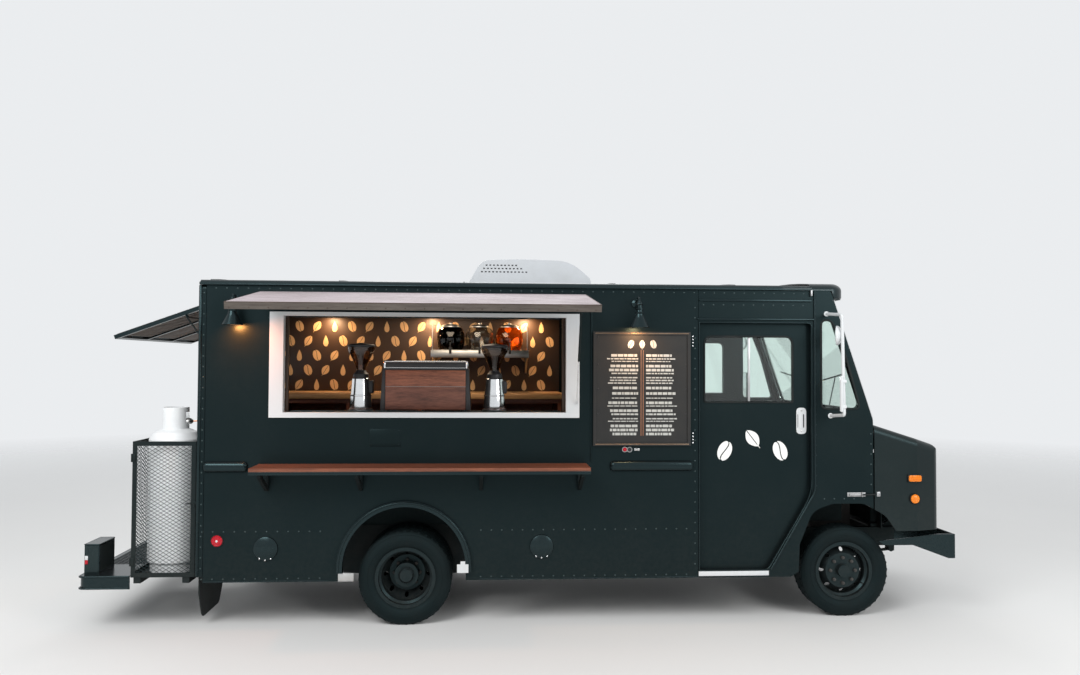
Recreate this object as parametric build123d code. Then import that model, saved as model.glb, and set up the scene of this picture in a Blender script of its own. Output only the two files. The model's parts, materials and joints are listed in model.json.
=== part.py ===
"""Walk-in step van fitted out as a food truck.

Millimetres. While it is modelled, X runs forward from the rear axle, Y runs to the left
from the centreline and Z runs up from the ground. The finished pieces are moved so that
the origin lies on the ground, in the middle of the whole object's box.
"""
from build123d import *
import math
import os

# Body shell, outside sizes
HALF_WIDTH = 1050.0
WALL = 40.0
BODY_REAR = -1490.0
DOOR_REAR = 2189.0
DOOR_FRONT = 3072.0
CAB_FRONT_TOP = 3241.0
CAB_FRONT_LOW = 3545.0
NOSE_SEAM = 3557.0
SKIRT_LOW = 347.0
GUTTER_Z = 2512.0
ROOF_EDGE_Z = 2550.0
ROOF_CROWN_Z = 2606.0
ROOF_SKIN = 30.0
FLOOR_TOP = 700.0
FLOOR_THICK = 40.0
PANEL_GAP = 3.0
SEAT = 0.3

# Wheels and axles
WHEELBASE = 3378.0
TYRE_RADIUS = 346.0
TYRE_WIDTH = 205.0
BEAD_RADIUS = 209.5
FRONT_TYRE_Y = 800.0
REAR_OUTER_Y = 880.0
TWIN_SPACING = 242.0
KINGPIN_Y = 690.0
STEER_ARM = 160.0
TIE_ROD_DROP = 96.0
YOKE_HALF = 98.0
SHAFT_CLEARANCE = 0.05

# Ladder frame
RAIL_Y = 397.0
RAIL_FLANGE = 70.0
RAIL_TOP = 600.0
RAIL_HEIGHT = 150.0
RAIL_WEB = 8.0
RAIL_REAR = -2040.0
RAIL_FRONT = 3990.0

# Serving window, counter and awning
WINDOW_X = (-892.0, 1187.0)
WINDOW_Z = (1581.0, 2290.0)
FRAME_SIDE = 100.0
FRAME_TOP = 28.0
FRAME_LOW = 38.0
FRAME_PROUD = 18.0
LINING = 12.0
COUNTER_X = (-1060.0, 1340.0)
COUNTER_TOP = 1205.0
COUNTER_DEPTH = 300.0
COUNTER_THICK = 45.0
AWNING_X = (-1051.0, 1325.0)
AWNING_HINGE_Y = 1100.0
AWNING_HINGE_Z = 2417.0
AWNING_LENGTH = 934.0
AWNING_THICK = 42.0
AWNING_SLOPE = 8.5
AWNING_PIN_OUT = 300.0
PIN_OFFSET = 16.0
AWNING_HINGE_X = (-960.0, 137.0, 1200.0)
AWNING_PIN = 5.0
STAY_PIN = 3.0
STAY_X = 1265.0
STAY_FOOT_Z = 1660.0
STAY_TUBE_RADIUS = 8.0
STAY_ROD_RADIUS = 4.0
STAY_TUBE_LENGTH = 430.0
STAY_ROD_LENGTH = 410.0

# Rear wall, its flap and the deck behind it
HATCH_HALF = 830.0
HATCH_Z = (1690.0, 2316.0)
FLAP_HALF = 870.0
FLAP_HINGE_Y = (-620.0, 0.0, 620.0)
FLAP_ARM_Y = 850.0
FLAP_HINGE_Z = 2350.0
FLAP_HINGE_OUT = 30.0
FLAP_LENGTH = 690.0
FLAP_THICK = 30.0
FLAP_SET = 14.0
FLAP_RIM = 34.0
FLAP_SLOPE = 20.0
FLAP_ARM_OUT = 150.0
FLAP_ARM_LENGTH = 262.0
FLAP_BAR_RADIUS = 4.0
BUMPER_REAR = -2330.0
BUMPER_DEPTH = 362.0
BUMPER_Z = (304.0, 400.0)
BUMPER_HALF = 1040.0
CAGE_X = (-1962.0, -1512.0)
CAGE_Y = (-1040.0, -560.0)
CAGE_Z = (388.0, 1368.0)
CAGE_POST = 32.0

# Cab doors
DOOR_TOP = 2265.0
DOOR_LOW = 398.0
DOOR_KNEE = (DOOR_FRONT - 7.0, 967.0)
DOOR_TOE_X = 2722.0
DOOR_LEAF = 35.0
DOOR_SETBACK = 10.0
DOOR_LAP = 20.0
DOOR_GLASS_X = (2249.0, 2934.0)
DOOR_GLASS_Z = (1659.0, 2160.0)
DOOR_TRAVEL = 830.0
DOOR_JAMB = 8.0
POCKET_CLEAR = 29.0

# Nose
NOSE_FRONT = 4100.0
NOSE_TOP_REAR = 1490.0
NOSE_TOP_FRONT = 1320.0
NOSE_LOW = 680.0
NOSE_HALF = 1040.0
NOSE_SKIN = 14.0
NOSE_SHOULDER = 60.0
NOSE_BROW = 110.0
NOSE_CORNER = 80.0
NOSE_HINGE = (4020.0, 655.0)


def block(x_span, y_span, z_span):
    """A cuboid between two planes on each axis."""
    size = [high - low for low, high in (x_span, y_span, z_span)]
    corner = Pos(x_span[0], y_span[0], z_span[0])
    return corner * Box(*size, align=(Align.MIN, Align.MIN, Align.MIN))


def outline(points, radius=0.0):
    """A flat face from its corners; radius is one value or one for each corner."""
    return make_face(FilletPolyline(*points, radius=radius, close=True))


def across(face, y_low, y_high):
    """A side-view face (x, z) given its width along Y."""
    plane = Plane(origin=(0, y_high, 0), x_dir=(1, 0, 0), z_dir=(0, -1, 0))
    return extrude(plane * face, amount=y_high - y_low)


def along(face, x_low, x_high):
    """An end-view face (y, z) given its length along X."""
    plane = Plane(origin=(x_low, 0, 0), x_dir=(0, 1, 0), z_dir=(1, 0, 0))
    return extrude(plane * face, amount=x_high - x_low)


def upward(face, z_low, z_high):
    """A plan-view face (x, y) given its height along Z."""
    return extrude(Plane(origin=(0, 0, z_low)) * face, amount=z_high - z_low)


def turned(points, centre=(0.0, 0.0, 0.0)):
    """A ring turned about Y from its section (distance along Y, radius)."""
    section = Plane(origin=(0, 0, 0), x_dir=(0, 1, 0), z_dir=(1, 0, 0)) * outline(points)
    return Pos(*centre) * revolve(section, Axis.Y, 360)


def rod(start, end, radius):
    """A round bar between two points."""
    run = Vector(*end) - Vector(*start)
    plane = Plane(origin=start, z_dir=run)
    return extrude(plane * Circle(radius), amount=run.length)


def mirrored(shape):
    """The same piece on the other side of the truck."""
    return mirror(shape, about=Plane.XZ)


def pair(shape):
    """The piece and its mirror image."""
    return [shape, mirrored(shape)]


def inside(side, y_low, y_high):
    """A span of Y on one side of the truck."""
    return sorted((side * y_low, side * y_high))


def lean(shape, pivot_y, pivot_z, degrees):
    """Turn a piece about a line along X."""
    return Pos(0, pivot_y, pivot_z) * Rot(degrees, 0, 0) * Pos(0, -pivot_y, -pivot_z) * shape


# Chassis

def rail(side):
    """One C-section side rail, open towards the centreline."""
    outer = RAIL_Y + RAIL_FLANGE / 2
    inner = RAIL_Y - RAIL_FLANGE / 2
    low = RAIL_TOP - RAIL_HEIGHT
    beam = block((RAIL_REAR, RAIL_FRONT), (inner, outer), (low, RAIL_TOP))
    hollow = block((RAIL_REAR - 1, RAIL_FRONT + 1), (inner - 1, outer - RAIL_WEB),
                   (low + RAIL_WEB, RAIL_TOP - RAIL_WEB))
    beam = beam - hollow
    return beam if side > 0 else mirrored(beam)


CROSSMEMBER_X = [-1960.0, -1380.0, -700.0, 720.0, 1500.0, 2300.0, 3940.0]
CROSSMEMBER_WIDTH = 60.0
BUMPER_BRACKET_GAP = 40.0
OUTRIGGER_X = (-1920.0, -1575.0)
HINGE_PIN = 8.0
FRAME_EAR = [(3900.0, 595.0), (3985.0, 595.0), (4036.0, 637.0), (4036.0, 671.0), (4004.0, 671.0),
             (3900.0, 612.0)]


def chassis_frame():
    """Two rails, the cross tubes between them and the deck bearers behind the body."""
    frame = rail(1) + rail(-1)
    reach = RAIL_Y + RAIL_FLANGE / 2 - RAIL_WEB / 2
    for x in CROSSMEMBER_X:
        frame += block((x - CROSSMEMBER_WIDTH / 2, x + CROSSMEMBER_WIDTH / 2), (-reach, reach),
                       (RAIL_TOP - RAIL_HEIGHT + 30, RAIL_TOP - 30))
    bearer_rear = BUMPER_REAR + BUMPER_DEPTH - BUMPER_BRACKET_GAP + SEAT
    for side in (1, -1):
        span = inside(side, RAIL_Y - RAIL_FLANGE / 2, RAIL_Y + RAIL_FLANGE / 2)
        frame += block((bearer_rear, BODY_REAR - 60), span, (BUMPER_Z[0], BUMPER_Z[1] - 12))
        frame += block((-1700.0, -1640.0), span, (BUMPER_Z[1] - 20, RAIL_TOP - RAIL_HEIGHT + 4))
        ear = across(outline(FRAME_EAR), *inside(side, RAIL_Y - 6, RAIL_Y + 6))
        frame += ear + rod((NOSE_HINGE[0], side * (RAIL_Y - 6), NOSE_HINGE[1]),
                           (NOSE_HINGE[0], side * (RAIL_Y + 26), NOSE_HINGE[1]), HINGE_PIN)
    for x in OUTRIGGER_X:
        frame += block((x - 25, x + 25), (CAGE_Y[0] + 10, -RAIL_Y), (BUMPER_Z[0] + 40, CAGE_Z[0] - SEAT))
    return frame


LEAF_WIDTH = 62.0
LEAF_THICK = 9.0


def leaf_spring(axle_x, y, seat_z, lengths, rise):
    """A pack of curved leaves, longest on top, clamped over the axle."""
    pack = None
    for count, length in enumerate(lengths):
        top = seat_z + LEAF_THICK * (len(lengths) - count)
        half = length / 2
        lift = rise * (length / lengths[0]) ** 2
        upper = [(axle_x - half, top + lift), (axle_x, top), (axle_x + half, top + lift)]
        lower = [(x, z - LEAF_THICK) for x, z in upper]
        edges = [ThreePointArc(*upper), Line(upper[2], lower[2]),
                 ThreePointArc(*lower[::-1]), Line(lower[0], upper[0])]
        leaf = across(make_face(edges), y - LEAF_WIDTH / 2, y + LEAF_WIDTH / 2)
        pack = leaf if pack is None else pack + leaf
    for end in (-1, 1):
        eye_x = axle_x + end * lengths[0] / 2
        eye_z = seat_z + LEAF_THICK * len(lengths) + rise - LEAF_THICK / 2
        pack += rod((eye_x, y - LEAF_WIDTH / 2, eye_z), (eye_x, y + LEAF_WIDTH / 2, eye_z), 18.0)
    return pack


FRONT_SPRING_Y = 397.0
FRONT_SEAT_Z = 346.0
FRONT_LEAVES = [1180.0, 900.0, 620.0, 340.0]
FRONT_RISE = 38.0
KINGPIN_RADIUS = 15.0
EYE_RADIUS = 24.0
REAR_SPRING_Y = 484.0
REAR_SEAT_Z = TYRE_RADIUS + 56.0
REAR_LEAVES = [1300.0, 1060.0, 820.0, 580.0, 340.0]


def front_axle():
    """Dropped I-beam with its kingpin eyes, and the springs that it carries."""
    knee = FRONT_SPRING_Y + 60
    end = KINGPIN_Y - 18
    shape = [(-knee, FRONT_SEAT_Z - 70), (knee, FRONT_SEAT_Z - 70), (end, TYRE_RADIUS - 45),
             (end, TYRE_RADIUS + 45), (KINGPIN_Y - 40, TYRE_RADIUS + 45),
             (knee - 10, FRONT_SEAT_Z), (-knee + 10, FRONT_SEAT_Z), (-KINGPIN_Y + 40, TYRE_RADIUS + 45),
             (-end, TYRE_RADIUS + 45), (-end, TYRE_RADIUS - 45)]
    beam = along(outline(shape), WHEELBASE - 32, WHEELBASE + 32)
    for side in (1, -1):
        for face in (1, -1):
            flute = block((-12, 12), (-KINGPIN_Y + 130, KINGPIN_Y - 130),
                          (FRONT_SEAT_Z - 56, FRONT_SEAT_Z - 14))
            beam -= Pos(WHEELBASE + face * 32, 0, 0) * flute
        boss = (WHEELBASE, side * KINGPIN_Y)
        beam += rod((*boss, TYRE_RADIUS - 45), (*boss, TYRE_RADIUS + 45), EYE_RADIUS)
        beam -= rod((*boss, 0), (*boss, 2 * TYRE_RADIUS), KINGPIN_RADIUS)
        seat_y = side * FRONT_SPRING_Y
        beam += block((WHEELBASE - 50, WHEELBASE + 50), (seat_y - 34, seat_y + 34),
                      (FRONT_SEAT_Z - 12, FRONT_SEAT_Z + LEAF_THICK))
        beam += leaf_spring(WHEELBASE, side * FRONT_SPRING_Y, FRONT_SEAT_Z, FRONT_LEAVES, FRONT_RISE)
        for end in (-1, 1):
            beam += spring_hanger(WHEELBASE + end * FRONT_LEAVES[0] / 2, side * FRONT_SPRING_Y,
                                  FRONT_SEAT_Z + 4 * LEAF_THICK + FRONT_RISE)
    return beam


def spring_hanger(x, y, eye_z):
    """The bracket that holds a spring's eye under the rail."""
    top = RAIL_TOP - RAIL_HEIGHT - 0.3
    low = min(eye_z, top) - 14
    if top - low < 10:
        return rod((x, y - 30, eye_z), (x, y + 30, eye_z), 20)
    return block((x - 24, x + 24), (y - LEAF_WIDTH / 2 - 4, y + LEAF_WIDTH / 2 + 4), (low, top))


SPINDLE_RADIUS = 32.0
REAR_INNER_Y = REAR_OUTER_Y - TWIN_SPACING
DRUM_RADIUS = 165.0


def rear_axle():
    """Banjo housing with its tubes, springs, spindles and the propeller shaft."""
    tube_end = REAR_INNER_Y - 150
    axle = rod((0, -tube_end, TYRE_RADIUS), (0, tube_end, TYRE_RADIUS), 52.0)
    axle += Pos(0, 0, TYRE_RADIUS) * Sphere(150.0)
    axle += rod((100, 0, TYRE_RADIUS), (250, 0, TYRE_RADIUS + 20), 62.0)
    spindle_end = REAR_OUTER_Y - 60
    axle += rod((0, -spindle_end, TYRE_RADIUS), (0, spindle_end, TYRE_RADIUS), SPINDLE_RADIUS)
    axle += rod((240, 0, TYRE_RADIUS + 18), (2655, 0, 438), 38.0)
    for side in (1, -1):
        axle += leaf_spring(0, side * REAR_SPRING_Y, REAR_SEAT_Z - 6, REAR_LEAVES, 60.0)
        axle += block((-60, 60), sorted((side * (REAR_SPRING_Y - 36), side * (REAR_SPRING_Y + 36))),
                      (TYRE_RADIUS - 20, REAR_SEAT_Z))
        rail_face = RAIL_Y + RAIL_FLANGE / 2 + 0.3
        for end in (-1, 1):
            eye_x = end * REAR_LEAVES[0] / 2
            eye_z = REAR_SEAT_Z - 6 + 5 * LEAF_THICK + 60.0
            axle += block((eye_x - 26, eye_x + 26), sorted((side * rail_face, side * (REAR_SPRING_Y + 20))),
                          (eye_z - 24, eye_z + 24))
    return axle


# Wheels

def tyre(centre):
    """One tyre: bead, bulged wall, shoulder and a flat tread."""
    half = TYRE_WIDTH / 2
    height = TYRE_RADIUS - BEAD_RADIUS
    right = [(half * 0.70, BEAD_RADIUS), (half * 0.70, BEAD_RADIUS + 20), (half * 0.94, BEAD_RADIUS + 40),
             (half, BEAD_RADIUS + 0.52 * height), (half * 0.95, BEAD_RADIUS + 0.80 * height),
             (half * 0.80, TYRE_RADIUS - 5), (half * 0.74, TYRE_RADIUS)]
    left = [(-y, r) for y, r in right[::-1]]
    return turned(left + right, centre)


RIM_HALF = 82.0
FLANGE_RADIUS = BEAD_RADIUS + 16.0
HAND_HOLES = 8


def rim(disc_at, disc_face, hub_bore):
    """One steel wheel about Y = 0: flanged barrel with a dished disc, outside towards +Y."""
    barrel = turned([(-RIM_HALF, FLANGE_RADIUS), (-RIM_HALF, 200.0), (-48.0, 199.0), (-34.0, 182.0),
                     (34.0, 182.0), (48.0, 199.0), (RIM_HALF, 200.0), (RIM_HALF, FLANGE_RADIUS),
                     (RIM_HALF - 7, FLANGE_RADIUS), (RIM_HALF - 8, BEAD_RADIUS - 0.3),
                     (50.0, BEAD_RADIUS - 2), (34.0, 191.0), (-34.0, 191.0), (-50.0, BEAD_RADIUS - 2),
                     (-RIM_HALF + 8, BEAD_RADIUS - 0.3), (-RIM_HALF + 7, FLANGE_RADIUS)])
    disc = turned([(disc_at, 184.0), (disc_face, 132.0), (disc_face, hub_bore), (disc_face + 9, hub_bore),
                   (disc_face + 9, 134.0), (disc_at + 10, 186.0)])
    for turn in range(HAND_HOLES):
        angle = math.radians(360.0 * turn / HAND_HOLES)
        x = 158.0 * math.cos(angle)
        z = 158.0 * math.sin(angle)
        disc -= rod((x, -200, z), (x, 200, z), 15.0)
    return barrel + disc


HUB_RADIUS = 66.0
HUB_NOSE = 52.0
REAR_DISC_AT = -30.0


def front_rim():
    """Front wheel with its hub, disc near the outer face."""
    wheel = rim(-20.0, 42.0, 40.0)
    wheel += turned([(-70.0, SPINDLE_RADIUS + SHAFT_CLEARANCE), (-70.0, HUB_RADIUS), (48.0, HUB_RADIUS),
                     (48.0, HUB_NOSE), (92.0, HUB_NOSE - 4), (92.0, 0.0), (78.0, 0.0),
                     (78.0, SPINDLE_RADIUS + SHAFT_CLEARANCE)])
    return wheel


def rear_rims():
    """Two wheels back to back on one hub and drum; Y = 0 is the outer wheel's middle."""
    outer = rim(REAR_DISC_AT, -TWIN_SPACING / 2, 40.0)
    inner = Pos(0, -TWIN_SPACING, 0) * mirrored(rim(REAR_DISC_AT, -TWIN_SPACING / 2, 40.0))
    drum_in = -TWIN_SPACING - 95.0
    hub = turned([(drum_in, SPINDLE_RADIUS + SHAFT_CLEARANCE), (drum_in, 150.0), (-160.0, 150.0),
                  (-160.0, 96.0), (-20.0, 90.0), (-20.0, 58.0), (0.0, 58.0), (12.0, 46.0), (12.0, 0.0),
                  (-40.0, 0.0), (-40.0, SPINDLE_RADIUS + SHAFT_CLEARANCE)])
    return outer + inner + hub


def knuckle():
    """Left steering knuckle: forked yoke, spindle, backing plate and steering arm."""
    kingpin = (WHEELBASE, KINGPIN_Y)
    low = TYRE_RADIUS - YOKE_HALF
    high = TYRE_RADIUS + YOKE_HALF
    plate_y = (KINGPIN_Y + EYE_RADIUS + 3, KINGPIN_Y + EYE_RADIUS + 14)
    body = rod((*kingpin, low), (*kingpin, high), KINGPIN_RADIUS - SHAFT_CLEARANCE)
    for span in ((low, low + 34), (high - 34, high)):
        body += block((WHEELBASE - 32, WHEELBASE + 32), (KINGPIN_Y - 26, plate_y[1]), span)
    body += block((WHEELBASE - 32, WHEELBASE + 32), plate_y, (low, high))
    spindle_end = FRONT_TYRE_Y + 72
    body += rod((WHEELBASE, plate_y[0] + 2, TYRE_RADIUS), (WHEELBASE, spindle_end, TYRE_RADIUS), SPINDLE_RADIUS)
    arm_z = TYRE_RADIUS - TIE_ROD_DROP + 12
    arm_end = (WHEELBASE - STEER_ARM, KINGPIN_Y)
    body += rod((WHEELBASE - 20, KINGPIN_Y, low + 17), (*arm_end, low + 17), 13.0)
    body += rod((*arm_end, arm_z - 12), (*arm_end, arm_z + 14), 20.0)
    return body


def tie_rod():
    """The bar between the two steering arms, an eye at each end."""
    x = WHEELBASE - STEER_ARM
    joint_z = TYRE_RADIUS - TIE_ROD_DROP
    low = joint_z - 34
    high = joint_z - SEAT
    middle = (low + high) / 2
    bar = rod((x, -KINGPIN_Y, middle), (x, KINGPIN_Y, middle), 13.0)
    for side in (1, -1):
        bar += rod((x, side * KINGPIN_Y, low), (x, side * KINGPIN_Y, high), 21.0)
    return bar


# Under the floor

ENGINE_X = (2950.0, 3700.0)
ENGINE_HALF = 230.0
ENGINE_Z = (470.0, 1080.0)
ENGINE_ARM_X = (3200.0, 3290.0)
ENGINE_ARM_THICK = 40.0
GEARBOX_REAR = 2660.0
GEARBOX_HALF = 150.0
GEARBOX_Z = (400.0, 640.0)


def engine_block():
    """The engine and gearbox as one plain block, its arms resting on the rails."""
    engine = block(ENGINE_X, (-ENGINE_HALF, ENGINE_HALF), ENGINE_Z)
    engine += block(ENGINE_ARM_X, (-RAIL_Y, RAIL_Y), (RAIL_TOP + SEAT, RAIL_TOP + ENGINE_ARM_THICK))
    return engine + block((GEARBOX_REAR, ENGINE_X[0] + 1), (-GEARBOX_HALF, GEARBOX_HALF), GEARBOX_Z)


FUEL_X = (900.0, 1800.0)
FUEL_Y = (560.0, 930.0)
FUEL_Z = (340.0, 590.0)
FUEL_ROUND = 40.0
STRAP_THICK = 4.0
STRAP_HALF = 20.0
STRAP_SILLS = (1180.0, 1560.0)


def fuel_tank():
    """A rounded tank under the left side, hung by two straps from the cross sills."""

    def section(grow, top):
        corners = [(FUEL_Y[0] - grow, FUEL_Z[0] - grow), (FUEL_Y[1] + grow, FUEL_Z[0] - grow),
                   (FUEL_Y[1] + grow, top), (FUEL_Y[0] - grow, top)]
        return outline(corners, FUEL_ROUND + grow)

    tank = along(section(0.0, FUEL_Z[1]), *FUEL_X)
    for x in STRAP_SILLS:
        tank += along(section(STRAP_THICK, RAIL_TOP), x - STRAP_HALF, x + STRAP_HALF)
    return tank


EXHAUST_ROUTE = [(2780.0, -GEARBOX_HALF - SEAT, 428.0), (2780.0, -260.0, 428.0), (2440.0, -530.0, 412.0),
                 (2240.0, -545.0, 412.0), (2050.0, -620.0, 470.0), (760.0, -620.0, 470.0),
                 (640.0, -880.0, 440.0)]
EXHAUST_BEND = 60.0
EXHAUST_RADIUS = 27.0
SILENCER_X = (1100.0, 1750.0)
SILENCER_RADIUS = 85.0


def exhaust():
    """Pipe from the engine, a round silencer and the tail pipe on the right."""
    path = FilletPolyline(*EXHAUST_ROUTE, radius=EXHAUST_BEND)
    pipe = sweep(Plane(origin=path @ 0, z_dir=path % 0) * Circle(EXHAUST_RADIUS), path=path)
    silencer_y, silencer_z = EXHAUST_ROUTE[-2][1:]
    return pipe + rod((SILENCER_X[0], silencer_y, silencer_z), (SILENCER_X[1], silencer_y, silencer_z),
                      SILENCER_RADIUS)


# Floor

STEP_WELL_X = (2215.0, 2890.0)
STEP_WELL_Y = (620.0, 948.0)
STEP_TOP = 420.0
STEP_THICK = 20.0
SHELL_PLATE = 8.0
FLOOR_EDGE = HALF_WIDTH - WALL - SEAT
FLOOR_LOW = FLOOR_TOP - FLOOR_THICK
POCKET_Y = 950.0
POCKET_X = DOOR_REAR + DOOR_JAMB - DOOR_LAP - DOOR_TRAVEL - POCKET_CLEAR
HOUSE_SKIN = 12.0
REAR_HOUSE_X = 470.0
REAR_HOUSE_Y = 500.0
REAR_HOUSE_TOP = 905.0
FRONT_HOUSE_X = (STEP_WELL_X[1] + SHELL_PLATE + SEAT, 3522.0)
FRONT_HOUSE_Y = 455.0
FRONT_HOUSE_TOP = 900.0
COVER_X = (2600.0, FRONT_HOUSE_X[1])
COVER_HALF = 262.0
COVER_TOP = 1120.0
SILL_X = [-1408.0, -820.0, 780.0, *STRAP_SILLS, 1960.0]
SILL_HALF = 35.0


def floor():
    """The floor as plates that fit round the wheel boxes, step wells and engine cover."""
    house_x = REAR_HOUSE_X + HOUSE_SKIN + SEAT
    well_rear = STEP_WELL_X[0] - SHELL_PLATE
    well_front = STEP_WELL_X[1] + SHELL_PLATE
    well_y = STEP_WELL_Y[0] - SHELL_PLATE - SEAT
    cover_y = COVER_HALF + HOUSE_SKIN + SEAT
    # x from, x to, half width of each plate that spans the truck
    across_truck = [
        (BODY_REAR + WALL, -house_x, FLOOR_EDGE),
        (-house_x + SEAT, house_x - SEAT, REAR_HOUSE_Y - HOUSE_SKIN - SEAT),
        (house_x, POCKET_X, FLOOR_EDGE),
        (POCKET_X + SEAT, well_rear - SEAT, POCKET_Y),
        (well_rear, COVER_X[0] - SEAT, well_y),
    ]
    plates = [block((rear, front), (-half, half), (FLOOR_LOW, FLOOR_TOP)) for rear, front, half in across_truck]
    # x from, x to, y to of each plate beside the engine cover
    beside_cover = [
        (COVER_X[0], well_front, well_y),
        (well_front + SEAT, FRONT_HOUSE_X[1], FRONT_HOUSE_Y - HOUSE_SKIN - SEAT),
    ]
    for rear, front, reach in beside_cover:
        plates += pair(block((rear, front), (cover_y, reach), (FLOOR_LOW, FLOOR_TOP)))
    return plates


def rear_wheel_box():
    """The left rear wheel's box, open below and towards the wall."""
    skin = HOUSE_SKIN
    box = block((-REAR_HOUSE_X - skin, REAR_HOUSE_X + skin), (REAR_HOUSE_Y - skin, FLOOR_EDGE),
                (FLOOR_LOW, REAR_HOUSE_TOP + skin))
    return box - block((-REAR_HOUSE_X, REAR_HOUSE_X), (REAR_HOUSE_Y, FLOOR_EDGE + 1),
                       (FLOOR_LOW - 1, REAR_HOUSE_TOP))


def front_wheel_box():
    """The left front wheel's box, open below, in front and towards the cab's side."""
    skin = HOUSE_SKIN
    box = block(FRONT_HOUSE_X, (FRONT_HOUSE_Y - skin, POCKET_Y), (FLOOR_LOW, FRONT_HOUSE_TOP + skin))
    return box - block((FRONT_HOUSE_X[0] + skin, FRONT_HOUSE_X[1] + 1), (FRONT_HOUSE_Y, POCKET_Y + 1),
                       (FLOOR_LOW - 1, FRONT_HOUSE_TOP))


def step_well():
    """The left doorway's step, a tray open towards the door."""
    well = block((STEP_WELL_X[0] - SHELL_PLATE, STEP_WELL_X[1] + SHELL_PLATE),
                 (STEP_WELL_Y[0] - SHELL_PLATE, STEP_WELL_Y[1]), (STEP_TOP - STEP_THICK, FLOOR_TOP))
    return well - block(STEP_WELL_X, (STEP_WELL_Y[0], STEP_WELL_Y[1] + 1), (STEP_TOP, FLOOR_TOP + 1))


def engine_cover():
    """The box over the engine between the seats, open below and in front."""
    half = COVER_HALF + HOUSE_SKIN
    cover = block(COVER_X, (-half, half), (FLOOR_LOW, COVER_TOP))
    return cover - block((COVER_X[0] + HOUSE_SKIN, COVER_X[1] + 1), (-COVER_HALF, COVER_HALF),
                         (FLOOR_LOW - 1, COVER_TOP - HOUSE_SKIN))


def floor_boxes():
    """Cross sills on the rails, the wheel boxes, the step wells and the engine cover."""
    sills = []
    for x in SILL_X:
        reach = FLOOR_EDGE if x < POCKET_X else POCKET_Y
        sills.append(block((x - SILL_HALF, x + SILL_HALF), (-reach, reach), (RAIL_TOP + SEAT, FLOOR_LOW - SEAT)))
    boxes = pair(rear_wheel_box()) + pair(front_wheel_box()) + pair(step_well())
    return sills + boxes + [engine_cover()]


# Walls

ARCH_RADIUS = 450.0
ARCH_CENTRE_Z = 440.0
FLARE_WIDTH = 42.0
FLARE_PROUD = 30.0
FLARE_FOOT_Z = 410.0
RUB_Z = (1150.0, 1215.0)
RUB_PROUD = 26.0
VENT_RADIUS = 86.0
VENT_X = (-1004.0, 1010.0)
VENT_Z = 590.0
TRACK_LIP_Z = 2294.0
TRACK_TOP_Z = 2334.0
TRACK_INNER_Y = 964.0
TRACK_SLOT_Y = (978.0, 992.0)
TRACK_END = 165.0


def door_track(x_low, x_high):
    """The overhead channel that the left door's rollers run in."""
    wall_y = HALF_WIDTH - WALL + 1
    face = outline([(TRACK_INNER_Y, TRACK_LIP_Z), (wall_y, TRACK_LIP_Z), (wall_y, TRACK_TOP_Z),
                    (TRACK_INNER_Y, TRACK_TOP_Z)])
    face -= outline([(TRACK_INNER_Y + 4, TRACK_LIP_Z + 4), (wall_y - 5, TRACK_LIP_Z + 4),
                     (wall_y - 5, TRACK_TOP_Z - 4), (TRACK_INNER_Y + 4, TRACK_TOP_Z - 4)])
    face -= outline([(TRACK_SLOT_Y[0], TRACK_LIP_Z - 1), (TRACK_SLOT_Y[1], TRACK_LIP_Z - 1),
                     (TRACK_SLOT_Y[1], TRACK_LIP_Z + 5), (TRACK_SLOT_Y[0], TRACK_LIP_Z + 5)])
    return along(face, x_low, x_high)


def arch_cut(radius):
    """A wheel opening with straight sides down to below the skirt."""
    round_top = Pos(0, ARCH_CENTRE_Z) * Circle(radius)
    straight = Pos(0, ARCH_CENTRE_Z - 150) * Rectangle(2 * radius, 300)
    return round_top + straight


def rub_rail(x_low, x_high):
    """A half-round rail on the left wall's outside."""
    middle = sum(RUB_Z) / 2
    half = (RUB_Z[1] - RUB_Z[0]) / 2
    face = outline([(HALF_WIDTH - 1, middle - half), (HALF_WIDTH + RUB_PROUD - 10, middle - half),
                    (HALF_WIDTH + RUB_PROUD, middle - half + 12), (HALF_WIDTH + RUB_PROUD, middle + half - 12),
                    (HALF_WIDTH + RUB_PROUD - 10, middle + half), (HALF_WIDTH - 1, middle + half)])
    return along(face, x_low, x_high)


def vent_cover(x):
    """A round domed cover on the left wall."""
    dome = turned([(0.0, 0.0), (0.0, VENT_RADIUS), (6.0, VENT_RADIUS), (14.0, VENT_RADIUS * 0.62),
                   (17.0, 0.0)])
    return Pos(x, HALF_WIDTH - 1, VENT_Z) * dome


def side_wall(rub_spans, window):
    """The load space's left wall with its arch; window cuts the serving opening."""
    x_low = BODY_REAR + WALL
    face = outline([(x_low, SKIRT_LOW), (DOOR_REAR, SKIRT_LOW), (DOOR_REAR, GUTTER_Z), (x_low, GUTTER_Z)])
    face -= arch_cut(ARCH_RADIUS)
    wall = across(face, HALF_WIDTH - WALL, HALF_WIDTH)
    if window:
        wall -= block((WINDOW_X[0] - LINING, WINDOW_X[1] + LINING), (HALF_WIDTH - WALL - 1, HALF_WIDTH + 1),
                      (WINDOW_Z[0] - LINING, WINDOW_Z[1] + LINING))
    for span in rub_spans:
        wall += rub_rail(*span)
    for x in VENT_X:
        wall += vent_cover(x)
    wall += door_track(ROLLER_X[0] - DOOR_TRAVEL - TRACK_END, DOOR_REAR)
    if window:
        for x in AWNING_HINGE_X:
            wall += block((x - 30, x - 14), (HALF_WIDTH - 1, AWNING_HINGE_Y + 9),
                          (AWNING_HINGE_Z - 9, AWNING_HINGE_Z + 9))
            wall += rod((x - 20, AWNING_HINGE_Y, AWNING_HINGE_Z), (x + 14, AWNING_HINGE_Y, AWNING_HINGE_Z),
                        AWNING_PIN)
    return wall


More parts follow.
